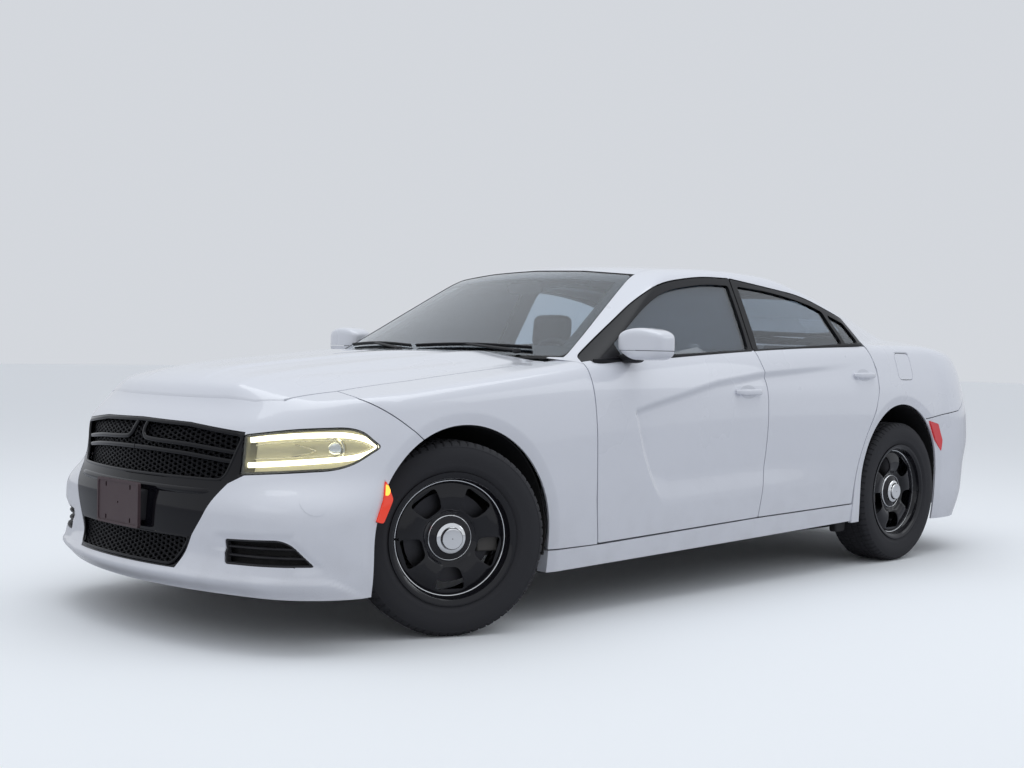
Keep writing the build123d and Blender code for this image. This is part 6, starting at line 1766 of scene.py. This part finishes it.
@dataclass
class NoseTrim:
    """The nose's inserts: honeycombs, bars, intakes with louvres, blind plugs and the plate bracket."""

    cell: tuple[float, float] = (32.0, 17.0)
    wall: float = 3.0
    depth: float = 14.0
    bracket: tuple[float, float] = (152.0, 83.0)
    bracket_z: float = SILL_Z + 276
    shelf: tuple[float, float] = (500.0, SILL_Z + 346)
    plug_place: tuple[float, float, float] = (nose(297), SILL_Z + 321, 33.0)

    def honeycomb(self, name: str, outline: Outline, level: float, replaces: Sequence[str]) -> None:
        """A net of six-sided rings, its columns three quarters of a cell apart and half a cell up in turn."""
        wide, high = self.cell
        p = np.array(outline, float)
        columns = np.arange(-np.ceil(p[:, 0].max() / (0.75 * wide)),
                            np.ceil(p[:, 0].max() / (0.75 * wide)) + 1)
        rows = np.arange(0, np.ceil((p[:, 1].max() - p[:, 1].min()) / high) + 2)
        c, r = np.meshgrid(columns, rows, indexing="ij")
        y = (c * 0.75 * wide).ravel()
        z = (p[:, 1].min() - high / 2 + r * high + (c % 2) * high / 2).ravel()
        inside = contains(grown(outline, 9.0), y, z)
        y, z = y[inside], z[inside]
        corner = np.array([(0.5, 0.0), (0.25, 0.5), (-0.25, 0.5), (-0.5, 0.0), (-0.25, -0.5), (0.25, -0.5)])
        rings = []
        for shrink in (0.35, self.wall * 1.1):
            scale = np.array([wide - 2.2 * shrink, high - 2 * shrink])
            rings.append(np.stack([y[:, None] + corner[None, :, 0] * scale[0],
                                   z[:, None] + corner[None, :, 1] * scale[1]], 2))
        flat = np.concatenate(rings, 1).reshape(-1, 2)
        near = on_front(flat[:, 0], flat[:, 1], level)
        far = on_front(flat[:, 0], flat[:, 1], level - self.depth)
        count = len(flat)
        start = np.arange(len(y))[:, None] * 12
        k = np.arange(6)
        m = (k + 1) % 6
        faces = [(k, m, m + 6, k + 6), (k + 6 + count, m + 6 + count, m + count, k + count),
                 (k + count, m + count, m, k), (k + 6, m + 6, m + 6 + count, k + 6 + count)]
        quads = np.concatenate([np.stack([start + a for a in face], 2).reshape(-1, 4) for face in faces])
        mesh = mesh_of(name, np.concatenate([near, far]), quads)
        place(name, outward(mesh, 1e-7), "body", MESH_BLACK, replaces)

    def bars(self) -> None:
        """Two slim bars on each side of the grille, the upper pair turned up in the middle; the shelf."""
        pieces = []
        for rows in ([(34, 768), (36, 740), (44, 720), (66, 708), (110, 704), (300, 697), (540, 678)],
                     [(2, 672), (100, 671), (300, 664), (528, 645)]):
            path = spline([(0, *row) for row in rows], 60)
            on = on_front(path[:, 1], path[:, 2], -12.0)
            pieces.append(tube(on, round_section(9.0, 7.0, 12, 3.0), (1, 0, 0)))
        both_sides("grille_bar", solid(joined(pieces), 50), BODY_PAIR, GLOSS_BLACK)
        y = np.linspace(-self.shelf[0], self.shelf[0], 120)
        shelf = on_front(y, np.full_like(y, self.shelf[1]), -7.0 - 26.0 * np.abs(y / self.shelf[0]) ** 14)
        place("crossbar_shelf", solid(tube(shelf, round_section(15.0, 14.0, 20), (1, 0, 0)), 60), "body",
              GLOSS_BLACK)

    def rim(self, name: str, outline: Outline, width: float) -> None:
        """The rounded lip round an opening, carried along its outline on the nose's surface."""
        p = np.array(rounded(outline, 26.0, 8))
        run = np.concatenate([[0], np.cumsum(np.linalg.norm(np.diff(np.vstack([p, p[:1]]), axis=0), axis=1))])
        t = np.linspace(0, run[-1], 260, endpoint=False)
        y, z = np.interp(t, run, np.append(p[:, 0], p[0, 0])), np.interp(t, run, np.append(p[:, 1], p[0, 1]))
        on = on_front(y, z, -6.0)
        place(name, solid(tube(on, round_section(width, width * 0.8, 12), (1, 0, 0), True), 60), "body",
              GLOSS_BLACK)

    def intakes(self) -> None:
        """The side intakes: a rim, a dark tray and two louvres each."""
        shape = rounded(INTAKE, INTAKE_ROUND, 9)
        patch = Patch(LOWER, INTAKE_FAN, (20, 70, 90), (-22, 22, 60), -3.0, -28.0, cover_relief)
        rim = carve(patch.mesh(), [prism(Axis.X, grown(shape, 2.0), nose(500), NOSE_X)],
                    [prism(Axis.X, grown(shape, -7.0), nose(500), NOSE_X)])
        both_sides("intake_rim", soften(rim), BODY_PAIR, BLACK_PLASTIC)
        back = Patch(LOWER, INTAKE_FAN, (20, 70, 60), (-22, 22, 40), -52.0, -56.0)
        tray = carve(back.mesh(), [prism(Axis.X, grown(shape, 22.0), nose(560), NOSE_X)])
        both_sides("intake_back", soften(tray), BODY_PAIR, SOOT)
        louvres = []
        for share, outer_y in ((0.33, side(134)), (0.66, side(156))):
            y = np.linspace(side(394), outer_y, 30)
            height = SILL_Z + 110 + 88 * share + 6 * share * (y - y[0]) / (y[-1] - y[0])
            louvres.append(tube(on_front(y, height, -33.0), round_section(18.0, 5.0, 12, 3.0)))
        both_sides("intake_louvre", solid(joined(louvres), 50), BODY_PAIR, BLACK_PLASTIC)

    def plug(self) -> None:
        """The round blind plug in each corner of the cover, standing just proud of it."""
        x, z, radius = self.plug_place
        turn = np.linspace(0, 2 * np.pi, 49)[:-1]
        circle = [(x + radius * math.cos(a), z + radius * math.sin(a)) for a in turn]
        patch = Patch(LOWER, side_rays, (x - 60, x + 60, 60), (-40, 10, 60), 1.6, -6.0)
        panel_pair("cover_plug", patch, [prism(Axis.Y, circle, side(300), FAR)], [], BODY_PAIR, WHITE)

    def plate(self) -> None:
        """The bare number plate bracket: a rimmed plate with four slots and a hole, on its rubber blocks."""
        half_y, half_z = self.bracket
        z = self.bracket_z
        x = nose(17)

        def sheet(step: float) -> Outline:
            """The plate's rounded outline, drawn in by a step."""
            a, b = half_y - step, half_z - step
            return rounded(rectangle(-a, a, z - b, z + b), 12.0, 7)

        slots = [prism(Axis.X, rounded(rectangle(y - 5, y + 5, v - 9, v + 9), 4.0), x - 80, x + 30)
                 for y in (-89.0, 89.0) for v in (z - 60.5, z + 60.5)]
        slots.append(prism(Axis.X, rounded(rectangle(-4, 4, z - 4, z + 4), 3.0), x - 80, x + 30))
        plate = carve(prism(Axis.X, sheet(0.0), x - 12, x), [],
                      [prism(Axis.X, sheet(9.0), x - 3, x + 9), *slots])
        place("plate_bracket_plate", soften(plate), "body", PLATE, ["plate_bracket"])
        blocks = [pillow((nose(50), y, z), (24, 26, 56), (8.0, 8.0), 10, 24) for y in (-120.0, 0.0, 120.0)]
        place("plate_bracket_blocks", solid(joined(blocks)), "body", BLACK_PLASTIC)

    def build(self) -> None:
        """Builds the inserts of the nose."""
        self.honeycomb("grille_honeycomb", GRILLE, -22.0, ["grille"])
        self.honeycomb("lower_honeycomb", LOWER_GRILLE, -16.0, [])
        self.bars()
        self.rim("grille_rim", GRILLE, 8.0)
        self.rim("lower_grille_rim", LOWER_GRILLE, 5.0)
        back = Patch(LOWER, FRONT_FAN, (-40, 40, 90), (-36, 20, 70), -56.0, -62.0)
        mesh = carve(back.mesh(), [prism(Axis.X, rectangle(-590, 590, 250, 800), nose(400), NOSE_X)])
        place("nose_back_panel", soften(mesh), "body", SOOT)
        self.intakes()
        self.plug()
        self.plate()


@dataclass
class HeadLamps:
    """The headlamps: smoked housings with a lit C-shaped band, a projector and a clear lens."""

    depth: float = 66.0
    band: tuple[tuple[float, float], ...] = ((572, 724), (640, 735), (720, 744), (790, 747), (824, 740),
                                             (850, 724), (863, 706), (852, 686), (826, 670), (790, 662),
                                             (720, 652), (640, 643), (572, 637))
    inner_band: tuple[tuple[float, float], ...] = ((580, 706), (640, 716), (720, 725), (790, 729),
                                                   (818, 723), (836, 713), (842, 705), (836, 695),
                                                   (812, 684), (780, 679), (720, 671), (640, 663), (580, 658))
    eye: tuple[float, float] = (765.0, 696.0)

    def strip(self, rows: Sequence, level: float, section: np.ndarray) -> tuple:
        """A strip through (y, z) rows on the nose's surface at a level."""
        path = spline([(0, *row) for row in rows], 120)
        return tube(on_front(path[:, 1], path[:, 2], level), section, (1, 0, 0))

    def build(self) -> None:
        """Builds both lamps."""
        rays = FRONT_FAN
        span = (nose(660), NOSE_X + 50)
        fan = ((24, 76, 110), (0, 26, 70))
        smooth = LAMP_SHAPE
        lens = Patch(LOWER, rays, *fan, -0.5, -4.0)
        panel_pair("headlamp_lens", lens, [prism(Axis.X, smooth, *span)], [], BODY_PAIR, LAMP_LENS,
                   whole=["headlamp_lenses"])
        shell = Patch(LOWER, rays, *fan, -5.0, -self.depth)
        core = carve(Patch(LOWER, rays, *fan, -1.0, -self.depth + 6).mesh(),
                     [prism(Axis.X, grown(smooth, -7.0), *span)])
        tray = carve(shell.mesh(), [prism(Axis.X, grown(smooth, -0.5), *span)], [core])
        both_sides("headlamp_housing", soften(tray), BODY_PAIR, LAMP_BEZEL, whole=["headlamps"])
        # The field's faint glow is painted light for the light that comes in through the lens.
        field_back = Patch(LOWER, rays, *fan, -44.0, -50.0)
        panel_pair("headlamp_field", field_back, [prism(Axis.X, grown(smooth, -7.5), *span)], [], BODY_PAIR,
                   PAINTED_LAMP_FIELD_LIGHT)
        strip = self.strip(self.band, -14.0, round_section(9.5, 5.0, 16, 3.0))
        both_sides("headlamp_band", solid(strip, 60), BODY_PAIR, LAMP_GLOW)
        strip = self.strip(self.inner_band, -26.0, round_section(2.2, 2.6, 10))
        both_sides("headlamp_inner_band", solid(strip, 60), BODY_PAIR, LAMP_MIRROR)
        y, z = self.eye
        face = on_front(np.array([y]), np.array([z]), -22.0)[0]
        turn = Matrix.Rotation(math.radians(-62.0), 4, "Z")
        ring, quads = lathe([(41, -18), (44, 2), (40, 6), (35, 4), (31, -12), (33, -18)], 64)
        rows = np.array(turn.to_3x3())
        move = np.array([face[0] - 26, y - 6, z])
        both_sides("headlamp_projector_ring", solid((ring @ rows.T + move, quads)), BODY_PAIR, LAMP_MIRROR)
        dome = pillow((0, -8, 0), (32, 16, 32), (2.0, 2.0), 20, 36)
        both_sides("headlamp_projector", solid((dome[0] @ rows.T + move, dome[1], dome[2])), BODY_PAIR,
                   SILVER_GLASS)
        fin = self.strip([(676, 712), (712, 700), (730, 690), (712, 680), (676, 668)], -32.0,
                         round_section(2.2, 4.0, 10))
        both_sides("headlamp_fin", solid(fin, 60), BODY_PAIR, LAMP_MIRROR)


@dataclass
class SideAndTailLamps:
    """Side marker lamps and tail lamps."""

    glow: tuple[float, float, float] = (front(380), SILL_Z + 368, 19.0)

    def build(self) -> None:
        """Builds the side and tail lamps."""
        span = (side(250), FAR)
        patch = Patch(LOWER, side_rays, (front(340), front(440), 30), (-30, 20, 60), 1.0, -10.0)
        shape = rounded(FRONT_MARKER, 9.0)
        panel_pair("front_marker", patch, [prism(Axis.Y, shape, *span)], [], BODY_PAIR, AMBER)
        x, z, radius = self.glow
        turn = np.linspace(0, 2 * np.pi, 33)[:-1]
        spot = [(x + 0.8 * radius * math.cos(a), z + radius * math.sin(a)) for a in turn]
        patch.outer, patch.inner = 2.4, 0.0
        panel_pair("front_marker_lit", patch, [prism(Axis.Y, spot, *span), prism(Axis.Y, shape, *span)], [],
                   BODY_PAIR, AMBER_LIT)
        patch = Patch(LOWER, side_rays, (rear(-440), rear(-260), 40), (-34, 30, 60), 1.0, -10.0)
        panel_pair("rear_marker", patch, [prism(Axis.Y, rounded(REAR_MARKER, 9.0), *span)], [], BODY_PAIR,
                   RED_MARKER, whole=["side_marker_lamps"])
        low, high = TAIL_BAND
        room = [prism(Axis.X, [(side(330) + 2, low + 2), (FAR, low + 14), (FAR, high - 14),
                               (side(330) + 2, high - 2)],
                      TAIL_X - 50, tail(248))]
        gap = prism(Axis.Z, grown(lid_outline(), SHUT_GAP), LID_EDGE_Z - 10, ROOF_Z)
        fan = ((20, 80, 90), (12, 30, 60))
        panel_pair("tail_lamp_lens", Patch(LOWER, rear_fan, *fan, -0.5, -8.0), room, [gap], BODY_PAIR,
                   RED_LENS, whole=["tail_lamps"])
        back = Patch(LOWER, rear_fan, (-80, 80, 140), (12, 30, 50), -22.0, -28.0)
        both = prism(Axis.X, rectangle(-FAR, FAR, low - 8, high + 8), TAIL_X - 50, tail(260))
        place("tail_lamp_field", soften(carve(back.mesh(), [both])), "body", SOOT)


@dataclass
class RoadWheels:
    """The four wheels: treaded tyre, pressed steel wheel with five vents, cap, rings and brake disc."""

    turns: int = 420
    pitch: int = 6
    vents: int = 5
    grooves: tuple[float, ...] = (-54.0, -19.0, 19.0, 54.0)
    kingpin: tuple[float, float] = (780.5, 25.0)
    track_rear: float = 1620.0
    tyre_rows: tuple[tuple[float, float], ...] = (
        (231, 94), (248, 95), (254, 99), (262, 105), (266, 106.5), (268, 107.6), (272, 107.9), (290, 111.4),
        (305, 112.3), (318, 111.2), (330, 108.5), (338, 105.6), (339, 106.4), (342, 105.2), (347, 100.5),
        (352, 95), (356.5, 88.5), (358.6, 82))

    def tyre(self) -> Arrays:
        """A tyre: its section turned about the axle, less the tread's rings and cross cuts."""
        outer = np.array(self.tyre_rows)
        y = np.linspace(77, -77, 45)
        crown = 360.0 - 1.3 * (y / 79.0) ** 2
        half = np.concatenate([outer, np.stack([crown, y], 1), outer[::-1] * [1, -1]])
        floor = np.stack([np.full(7, 231.0), np.linspace(-84, 84, 7)], 1)
        section = np.concatenate([half, floor])
        r, w = section.T
        turn = np.arange(self.turns)
        angle = turn * 2 * np.pi / self.turns
        tread = r > 345
        ring = np.min(np.abs(w[:, None] - np.array(self.grooves)[None]), 1) < 4.2
        radius = np.where(tread & ring & (np.abs(w) < 78), r - 7.0, r)[None, :] + 0 * angle[:, None]
        shoulder = tread & (np.abs(w) > 59)
        middle = tread & (np.abs(w) < 14)
        between = tread & (np.abs(w) > 23) & (np.abs(w) < 50)
        phase = turn % self.pitch
        for zone, at, deep in ((shoulder & (w > 0), 0, 5.5), (shoulder & (w < 0), 3, 5.5), (middle, 1, 3.0),
                               (between & (w > 0), 4, 4.0), (between & (w < 0), 2, 4.0)):
            radius -= deep * ((phase == at)[:, None] & (zone & ~ring)[None, :])
        points = np.stack([np.cos(angle)[:, None] * radius, w[None] + 0 * radius,
                           np.sin(angle)[:, None] * radius], 2)
        return points.reshape(-1, 3), ring_faces(self.turns, len(section), True)

    def disc(self) -> bpy.types.Mesh:
        """The pressed disc: a turned face whose spokes stand out between its vents, which are cut through."""
        face = spline([(0, 212, 58), (0, 203, 62), (0, 190, 66), (0, 172, 71), (0, 150, 74), (0, 128, 72),
                       (0, 108, 65), (0, 92, 53), (0, 80, 49), (0, 60, 48)], 60)[:, 1:]
        back = face[::-1] - [0, 6]
        points, quads = lathe([tuple(q) for q in np.concatenate([face, back])], 300)
        r, a = np.hypot(points[:, 0], points[:, 2]), np.arctan2(points[:, 2], points[:, 0])
        lobe = np.cos(self.vents * (a + np.pi / 2))
        points[:, 1] -= 7.0 * ramp(lobe, -0.35, 0.75) * ramp(r, 90, 120) * ramp(-r, -206, -176)
        mesh = outward(mesh_of("disc", points, quads))
        cuts = []
        for number in range(self.vents):
            turn = 2 * np.pi * number / self.vents
            shape = rounded([(-58, -189), (58, -189), (50, -150), (33, -108), (-33, -108), (-50, -150)],
                            17.0, 7)
            cuts.append(prism(Axis.Y, [(x * math.cos(turn) - z * math.sin(turn),
                                        x * math.sin(turn) + z * math.cos(turn))
                                    for x, z in shape], 0, 130))
        return soften(carve(mesh, [], cuts), 40)

    def carried(self, mesh: bpy.types.Mesh, axle: Axle, sign: int) -> bpy.types.Mesh:
        """A copy of a mesh of the wheel's own frame, carried to its wheel."""
        other = mesh.copy() if sign > 0 else mirrored(mesh)
        kingpin, offset = self.kingpin
        if axle is Axle.FRONT:
            spot = Matrix.Translation(Vector((FRONT_AXLE_X, sign * kingpin, AXLE_Z)) * 0.001)
            spot = spot @ Matrix.Rotation(math.radians(-STEER_REST), 4, "Z")
            spot = spot @ Matrix.Translation(Vector((0, sign * offset, 0)) * 0.001)
        else:
            spot = Matrix.Translation(Vector((REAR_AXLE_X, sign * self.track_rear / 2, AXLE_Z)) * 0.001)
        other.transform(spot)
        return other

    def build(self) -> None:
        """Builds the four wheels."""
        barrel = [(246, 101), (247.5, 97), (246, 93), (231, 94), (229, 88), (229, 72), (216, 58), (216, -58),
                  (229, -72), (229, -92), (246, -93), (247, -97), (246, -101), (240, -101), (222, -94),
                  (222, -74), (209, -58), (209, 56), (214, 62), (222, 74), (224, 92), (232, 99), (240, 101)]
        cap = [(2, 90), (30, 90.4), (38, 89.6), (40.5, 87), (41, 82), (43, 77.5), (46, 76.4), (53, 74.6),
               (56, 72.4), (57, 67), (57, 48), (2, 48)]
        # The black dish between the chrome cap and its ring is a painted dark reflection on what is chrome.
        painted_reflection_profile = [(57.4, 66), (60, 64.6), (68, 61.8), (77, 59.4), (80.6, 57.4), (80.6, 49), (57.4, 49)]
        brake = [(50, 42), (78, 42), (78, 20), (168, 20), (168, 9), (168, 5), (168, -6), (70, -6), (70, 34),
                 (50, 34)]
        tyre = solid(self.tyre(), 30)
        rim = solid(lathe(barrel, 160), 40)
        disc = self.disc()
        chrome = solid(lathe(cap, 96), 40)
        plate = solid(lathe(brake, 96), 40)
        painted_reflection_dish = solid(lathe(painted_reflection_profile, 96), 40)
        # The chrome lip where the black disc meets the rim is a painted highlight: a bright ring line that
        # stands in for a reflection on the black steel.
        lip = solid(lathe([(210.6, 55), (214.6, 55), (215.2, 59.5), (213.4, 61.8), (211.2, 61.2)], 160), 40)
        ring = solid(lathe([(81, 50), (86, 50.5), (86.4, 53), (84.6, 56.2), (82, 57.6), (81, 57)], 96), 40)
        valve = solid(pillow((203, 68, 0), (4, 15, 4), (2.0, 2.0), 10, 12))
        for axle in Axle:
            for label, sign in (("left", 1), ("right", -1)):
                body, key = f"{axle.value}_wheel_{label}", f"{axle.value}_{label}"
                place(f"tyre_tread_{key}", self.carried(tyre, axle, sign), body, TYRE, [f"tyre_{key}"])
                place(f"wheel_rim_{key}", self.carried(rim, axle, sign), body, WHEEL_PAINT, [f"wheel_{key}"])
                for name, mesh, finish in (("wheel_disc", disc, WHEEL_PAINT), ("wheel_cap", chrome, CHROME),
                                           ("wheel_cap_ring", ring, CHROME),
                                           ("wheel_cap_painted_reflection", painted_reflection_dish, WHEEL_PAINT),
                                           ("wheel_disc_painted_highlight", lip, CHROME), ("brake_disc", plate, STEEL),
                                           ("valve_stem", valve, RUBBER_SEAL)):
                    place(f"{name}_{key}", self.carried(mesh, axle, sign), body, finish)


@dataclass
class Cabin:
    """Seats, bench and trim seen through the glass."""

    floor: float = 222.0
    seat_y: float = 370.0

    def cushion(self, name: str, centre: Sequence[float], half: Sequence[float], tilt: float, finish: Finish,
                channels: Sequence[float] = (), bolster: float = 0.0, replaces: Sequence[str] = ()) -> None:
        """A padded piece: a crowned block with raised edges and sewn channels, tilted about Y.

        Args:
            name: the piece's name.
            centre: its middle.
            half: half sizes before it is tilted.
            tilt: degrees about Y.
            finish: its cloth.
            channels: places of the sewn channels across, as shares of the half width.
            bolster: how far the sides rise over the middle.
            replaces: the CAD nodes that it stands for.
        """
        a = math.radians(tilt)

        def shape(points: np.ndarray) -> np.ndarray:
            """Crown, bolsters, channels and the tilt."""
            q = points - np.array(centre, float)
            u, v = q[:, 0] / half[0], q[:, 1] / half[1]
            top = ramp(q[:, 2], 0, half[2] * 0.7)
            q[:, 2] -= top * bolster * (1 - ramp(np.abs(v), 0.5, 0.86))
            for at in channels:
                q[:, 2] -= top * 7.0 * np.exp(-((v - at) * half[1] / 6.0) ** 2)
            q[:, 2] -= top * 5.0 * np.exp(-((u + 0.72) * half[0] / 6.0) ** 2)
            q[:, 1] *= 1 - 0.035 * (1 - u ** 2) * (1 - top)
            x = q[:, 0] * math.cos(a) + q[:, 2] * math.sin(a)
            z = -q[:, 0] * math.sin(a) + q[:, 2] * math.cos(a)
            return np.stack([x, q[:, 1], z], 1) + np.array(centre, float)

        made = place(name, solid(pillow(centre, half, (5.0, 3.4), 44, 150, shape), 60), "body", finish,
                     replaces)

    def build(self) -> None:
        """Builds the seats and the bench."""
        f = self.floor
        for label, y, nodes in (("left", self.seat_y, ["front_seats"]), ("right", -self.seat_y, [])):
            self.cushion(f"seat_base_{label}", (front(-1385), y, f + 208), (268, 252, 62), -4.0, CLOTH,
                         (-0.52, 0.0, 0.52), 20.0, nodes)
            self.cushion(f"seat_back_{label}", (front(-1650), y, f + 530), (312, 242, 52), -105.0, CLOTH,
                         (-0.52, 0.52), 22.0)
            self.cushion(f"head_rest_{label}", (front(-1745), y, f + 938), (84, 124, 40), -96.0, CLOTH)
            metal = [tube(spline([(front(-1742), y + s * 60, f + 800), (front(-1744), y + s * 60, f + 890)],
                                 6),
                          round_section(6, 6)) for s in (-1, 1)]
            rails = [pillow((front(-1380), y + s * 120, f + 70), (180, 14, 76), (8.0, 8.0), 8, 24)
                     for s in (-1, 1)]
            place(f"seat_frame_{label}", solid(joined([*metal, *rails])), "body", BLACK_PLASTIC)
        self.cushion("bench_base", (rear(690), 0, f + 170), (198, 588, 74), 3.0, VINYL, (-0.34, 0.0, 0.34),
                     14.0, ["rear_bench"])
        self.cushion("bench_back", (rear(390), 0, f + 500), (300, 588, 62), -99.0, VINYL, (-0.34, 0.0, 0.34),
                     14.0)
        core = pillow((rear(560), 0, f + 60), (300, 585, 56), (8.0, 8.0), 10, 40)
        place("bench_core", solid(core), "body", CARPET)
        hood = pillow((front(-850), self.seat_y, COWL_Z - 40), (90, 190, 34), (3.0, 3.0), 24, 48)
        place("instrument_hood", solid(hood), "body", CABIN_PLASTIC)
        centre = pillow((front(-1180), 0, f + 190), (240, 96, 76), (6.0, 5.0), 20, 48)
        place("centre_console", solid(centre), "body", CABIN_PLASTIC)
        mirror = pillow((front(-1180), 0, roof(135)), (9, 118, 30), (3.0, 4.0), 16, 40)
        place("inner_mirror", solid(mirror), "body", CABIN_PLASTIC)


@dataclass
class Fittings:
    """The wipers, and finishes for the CAD pieces that stay."""

    kept: dict[str, Finish] = field(default_factory=lambda: {
        "floor_pan": SOOT, "front_frame": SOOT, "wheel_liners": SOOT, "dashboard": CABIN_PLASTIC,
        "steering_wheel": CABIN_PLASTIC, "parcel_shelf": CARPET, "engine_block": ALLOY,
        "propeller_shaft": IRON,
        "fuel_tank": SOOT, "exhaust": BRIGHT, "front_subframe": IRON, "rear_subframe": IRON,
        "knuckle_left": IRON, "knuckle_right": IRON})

    def screen(self, y: np.ndarray, z: np.ndarray, level: float) -> np.ndarray:
        """Points over the windshield at places (y, z)."""
        start = np.stack([np.zeros_like(y), y, z], 1)
        return CABIN.cast(start, AHEAD, level, (0, 1400))

    def build(self, nodes: dict) -> None:
        """Builds the wipers and gives the kept CAD pieces their finishes.

        Args:
            nodes: the CAD objects by name.
        """
        pieces = []
        for near, far, pivot in ((-20.0, 590.0, 560.0), (-640.0, -60.0, -90.0)):
            y = np.linspace(near, far, 30)
            z = COWL_Z + 14 + 9 * np.sin(np.pi * (y - near) / (far - near))
            blade = self.screen(y, z, 9.0)
            pieces.append(tube(blade, round_section(4.0, 8.0, 12, 3.0), (0.6, 0, 0.8)))
            spine = np.linspace(pivot, (near + far) / 2, 20)
            arm = self.screen(spine, np.linspace(COWL_Z + 2, COWL_Z + 24, 20), 20.0)
            pieces.append(tube(arm, round_section(7.0, 4.0, 12, 3.0), (0.6, 0, 0.8)))
            pieces.append(pillow(arm[0] - [0, 0, 4], (17, 17, 11), (2.0, 3.0), 12, 24))
        place("wiper_arms", solid(joined(pieces), 50), "body", BLACK_PLASTIC, ["wipers"])
        for name, finish in self.kept.items():
            node = nodes[name]
            if not node.data.materials:
                node.data.materials.append(finish.material())
            for slot in node.material_slots:
                slot.material = finish.material()


@dataclass
class Studio:
    """The floor, the soft light and the camera."""

    place: tuple[float, float, float] = (4.979, 4.613, 1.048)
    yaw: float = -134.24865
    pitch: float = 1.32986
    roll: float = 1.14530
    lens: float = 48.175
    pale: tuple[float, float, float] = (0.80, 0.83, 0.88)
    cool: tuple[float, float, float] = (0.93, 0.97, 1.0)
    reach: float = 60e3
    strength: float = 0.82

    def camera(self) -> None:
        """The camera, from its yaw, pitch and roll."""
        y, p, r = (math.radians(v) for v in (self.yaw, self.pitch, self.roll))
        ahead = Vector((math.cos(y) * math.cos(p), math.sin(y) * math.cos(p), -math.sin(p)))
        right = Vector((math.sin(y), -math.cos(y), 0))
        up = right.cross(ahead)
        turned_right = right * math.cos(r) + up * math.sin(r)
        turned_up = up * math.cos(r) - right * math.sin(r)
        data = bpy.data.cameras.new("camera")
        data.lens, data.sensor_width = self.lens, 36.0
        data.clip_end = 500.0
        made = bpy.data.objects.new("camera", data)
        basis = Matrix((turned_right, turned_up, -ahead)).transposed().to_4x4()
        made.matrix_world = Matrix.Translation(self.place) @ basis
        bpy.context.scene.collection.objects.link(made)
        bpy.context.scene.camera = made

    def floor(self) -> None:
        """A wide pale floor."""
        corners = [(x, y, 0.0) for x, y in rectangle(-self.reach, self.reach, -self.reach, self.reach)]
        made = add_object("floor", mesh_of("floor", np.array(corners), np.array([[0, 1, 2, 3]])))
        paint = bpy.data.materials.new("pale_floor")
        paint.use_nodes = True
        tree = paint.node_tree
        shader = tree.nodes["Principled BSDF"]
        shader.inputs["Roughness"].default_value = 0.75
        rays = tree.nodes.new("ShaderNodeLightPath")
        mix = tree.nodes.new("ShaderNodeMix")
        mix.data_type = "RGBA"
        mix.inputs[6].default_value = (0.50, 0.51, 0.54, 1)
        mix.inputs[7].default_value = (0.93, 0.95, 0.97, 1)
        seen = math_node(tree, "MAXIMUM", rays.outputs["Is Camera Ray"], rays.outputs["Is Transmission Ray"])
        tree.links.new(seen, mix.inputs[0])
        tree.links.new(mix.outputs[2], shader.inputs["Base Color"])
        made.data.materials.append(paint)

    def lamp(self, name: str, where: tuple, target: tuple, size: tuple[float, float], watts: float) -> None:
        """One soft area lamp that faces a target."""
        data = bpy.data.lights.new(name, "AREA")
        data.shape, data.size, data.size_y, data.energy = "RECTANGLE", size[0], size[1], watts
        data.color = self.cool
        made = bpy.data.objects.new(name, data)
        made.matrix_world = (Matrix.Translation(where)
                             @ (Vector(target) - Vector(where)).to_track_quat("-Z", "Y").to_matrix().to_4x4())
        bpy.context.scene.collection.objects.link(made)

    def light(self) -> None:
        """A pale world and three soft lamps."""
        world = bpy.data.worlds.new("studio")
        bpy.context.scene.world = world
        world.use_nodes = True
        tree = world.node_tree
        sky = tree.nodes["Background"]
        sky.inputs["Color"].default_value = (*self.pale, 1)
        sky.inputs["Strength"].default_value = self.strength
        seen = tree.nodes.new("ShaderNodeBackground")
        seen.inputs["Color"].default_value = (*self.pale, 1)
        seen.inputs["Strength"].default_value = self.strength
        rays = tree.nodes.new("ShaderNodeLightPath")
        either = math_node(tree, "MAXIMUM", rays.outputs["Is Camera Ray"], rays.outputs["Is Glossy Ray"])
        either = math_node(tree, "MAXIMUM", either, rays.outputs["Is Transmission Ray"])
        mix = tree.nodes.new("ShaderNodeMixShader")
        tree.links.new(either, mix.inputs[0])
        tree.links.new(sky.outputs[0], mix.inputs[1])
        tree.links.new(seen.outputs[0], mix.inputs[2])
        tree.links.new(mix.outputs[0], tree.nodes["World Output"].inputs["Surface"])
        self.lamp("overhead", (0.5, 0.5, 7.5), (0, 0, 0), (9.0, 5.0), 190.0)
        self.lamp("nose_side", (7.5, 1.0, 4.2), (1.8, 0, 0.6), (4.0, 2.5), 14.0)
        self.lamp("rear_side", (-5.5, 6.5, 4.5), (-0.5, 0.3, 0.7), (4.5, 2.5), 32.0)

    def build(self) -> None:
        """Builds camera, floor and light."""
        self.camera()
        self.floor()
        self.light()
        bpy.context.scene.view_settings.view_transform = "Standard"


def main() -> None:
    """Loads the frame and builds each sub-assembly in order."""
    logging.basicConfig(level=logging.INFO, format="%(message)s")
    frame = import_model()
    Studio().build()
    nodes = frame["nodes"]
    for part in (BodyShell(), SideDoors(), Lids(), DoorMirrors(), NoseTrim(), HeadLamps(),
                 SideAndTailLamps(), RoadWheels(), Cabin()):
        part.build()
        LOG.info("%s built, %d objects", type(part).__name__, len(bpy.data.objects))
    Fittings().build(nodes)


if __name__ == "__main__":
    main()
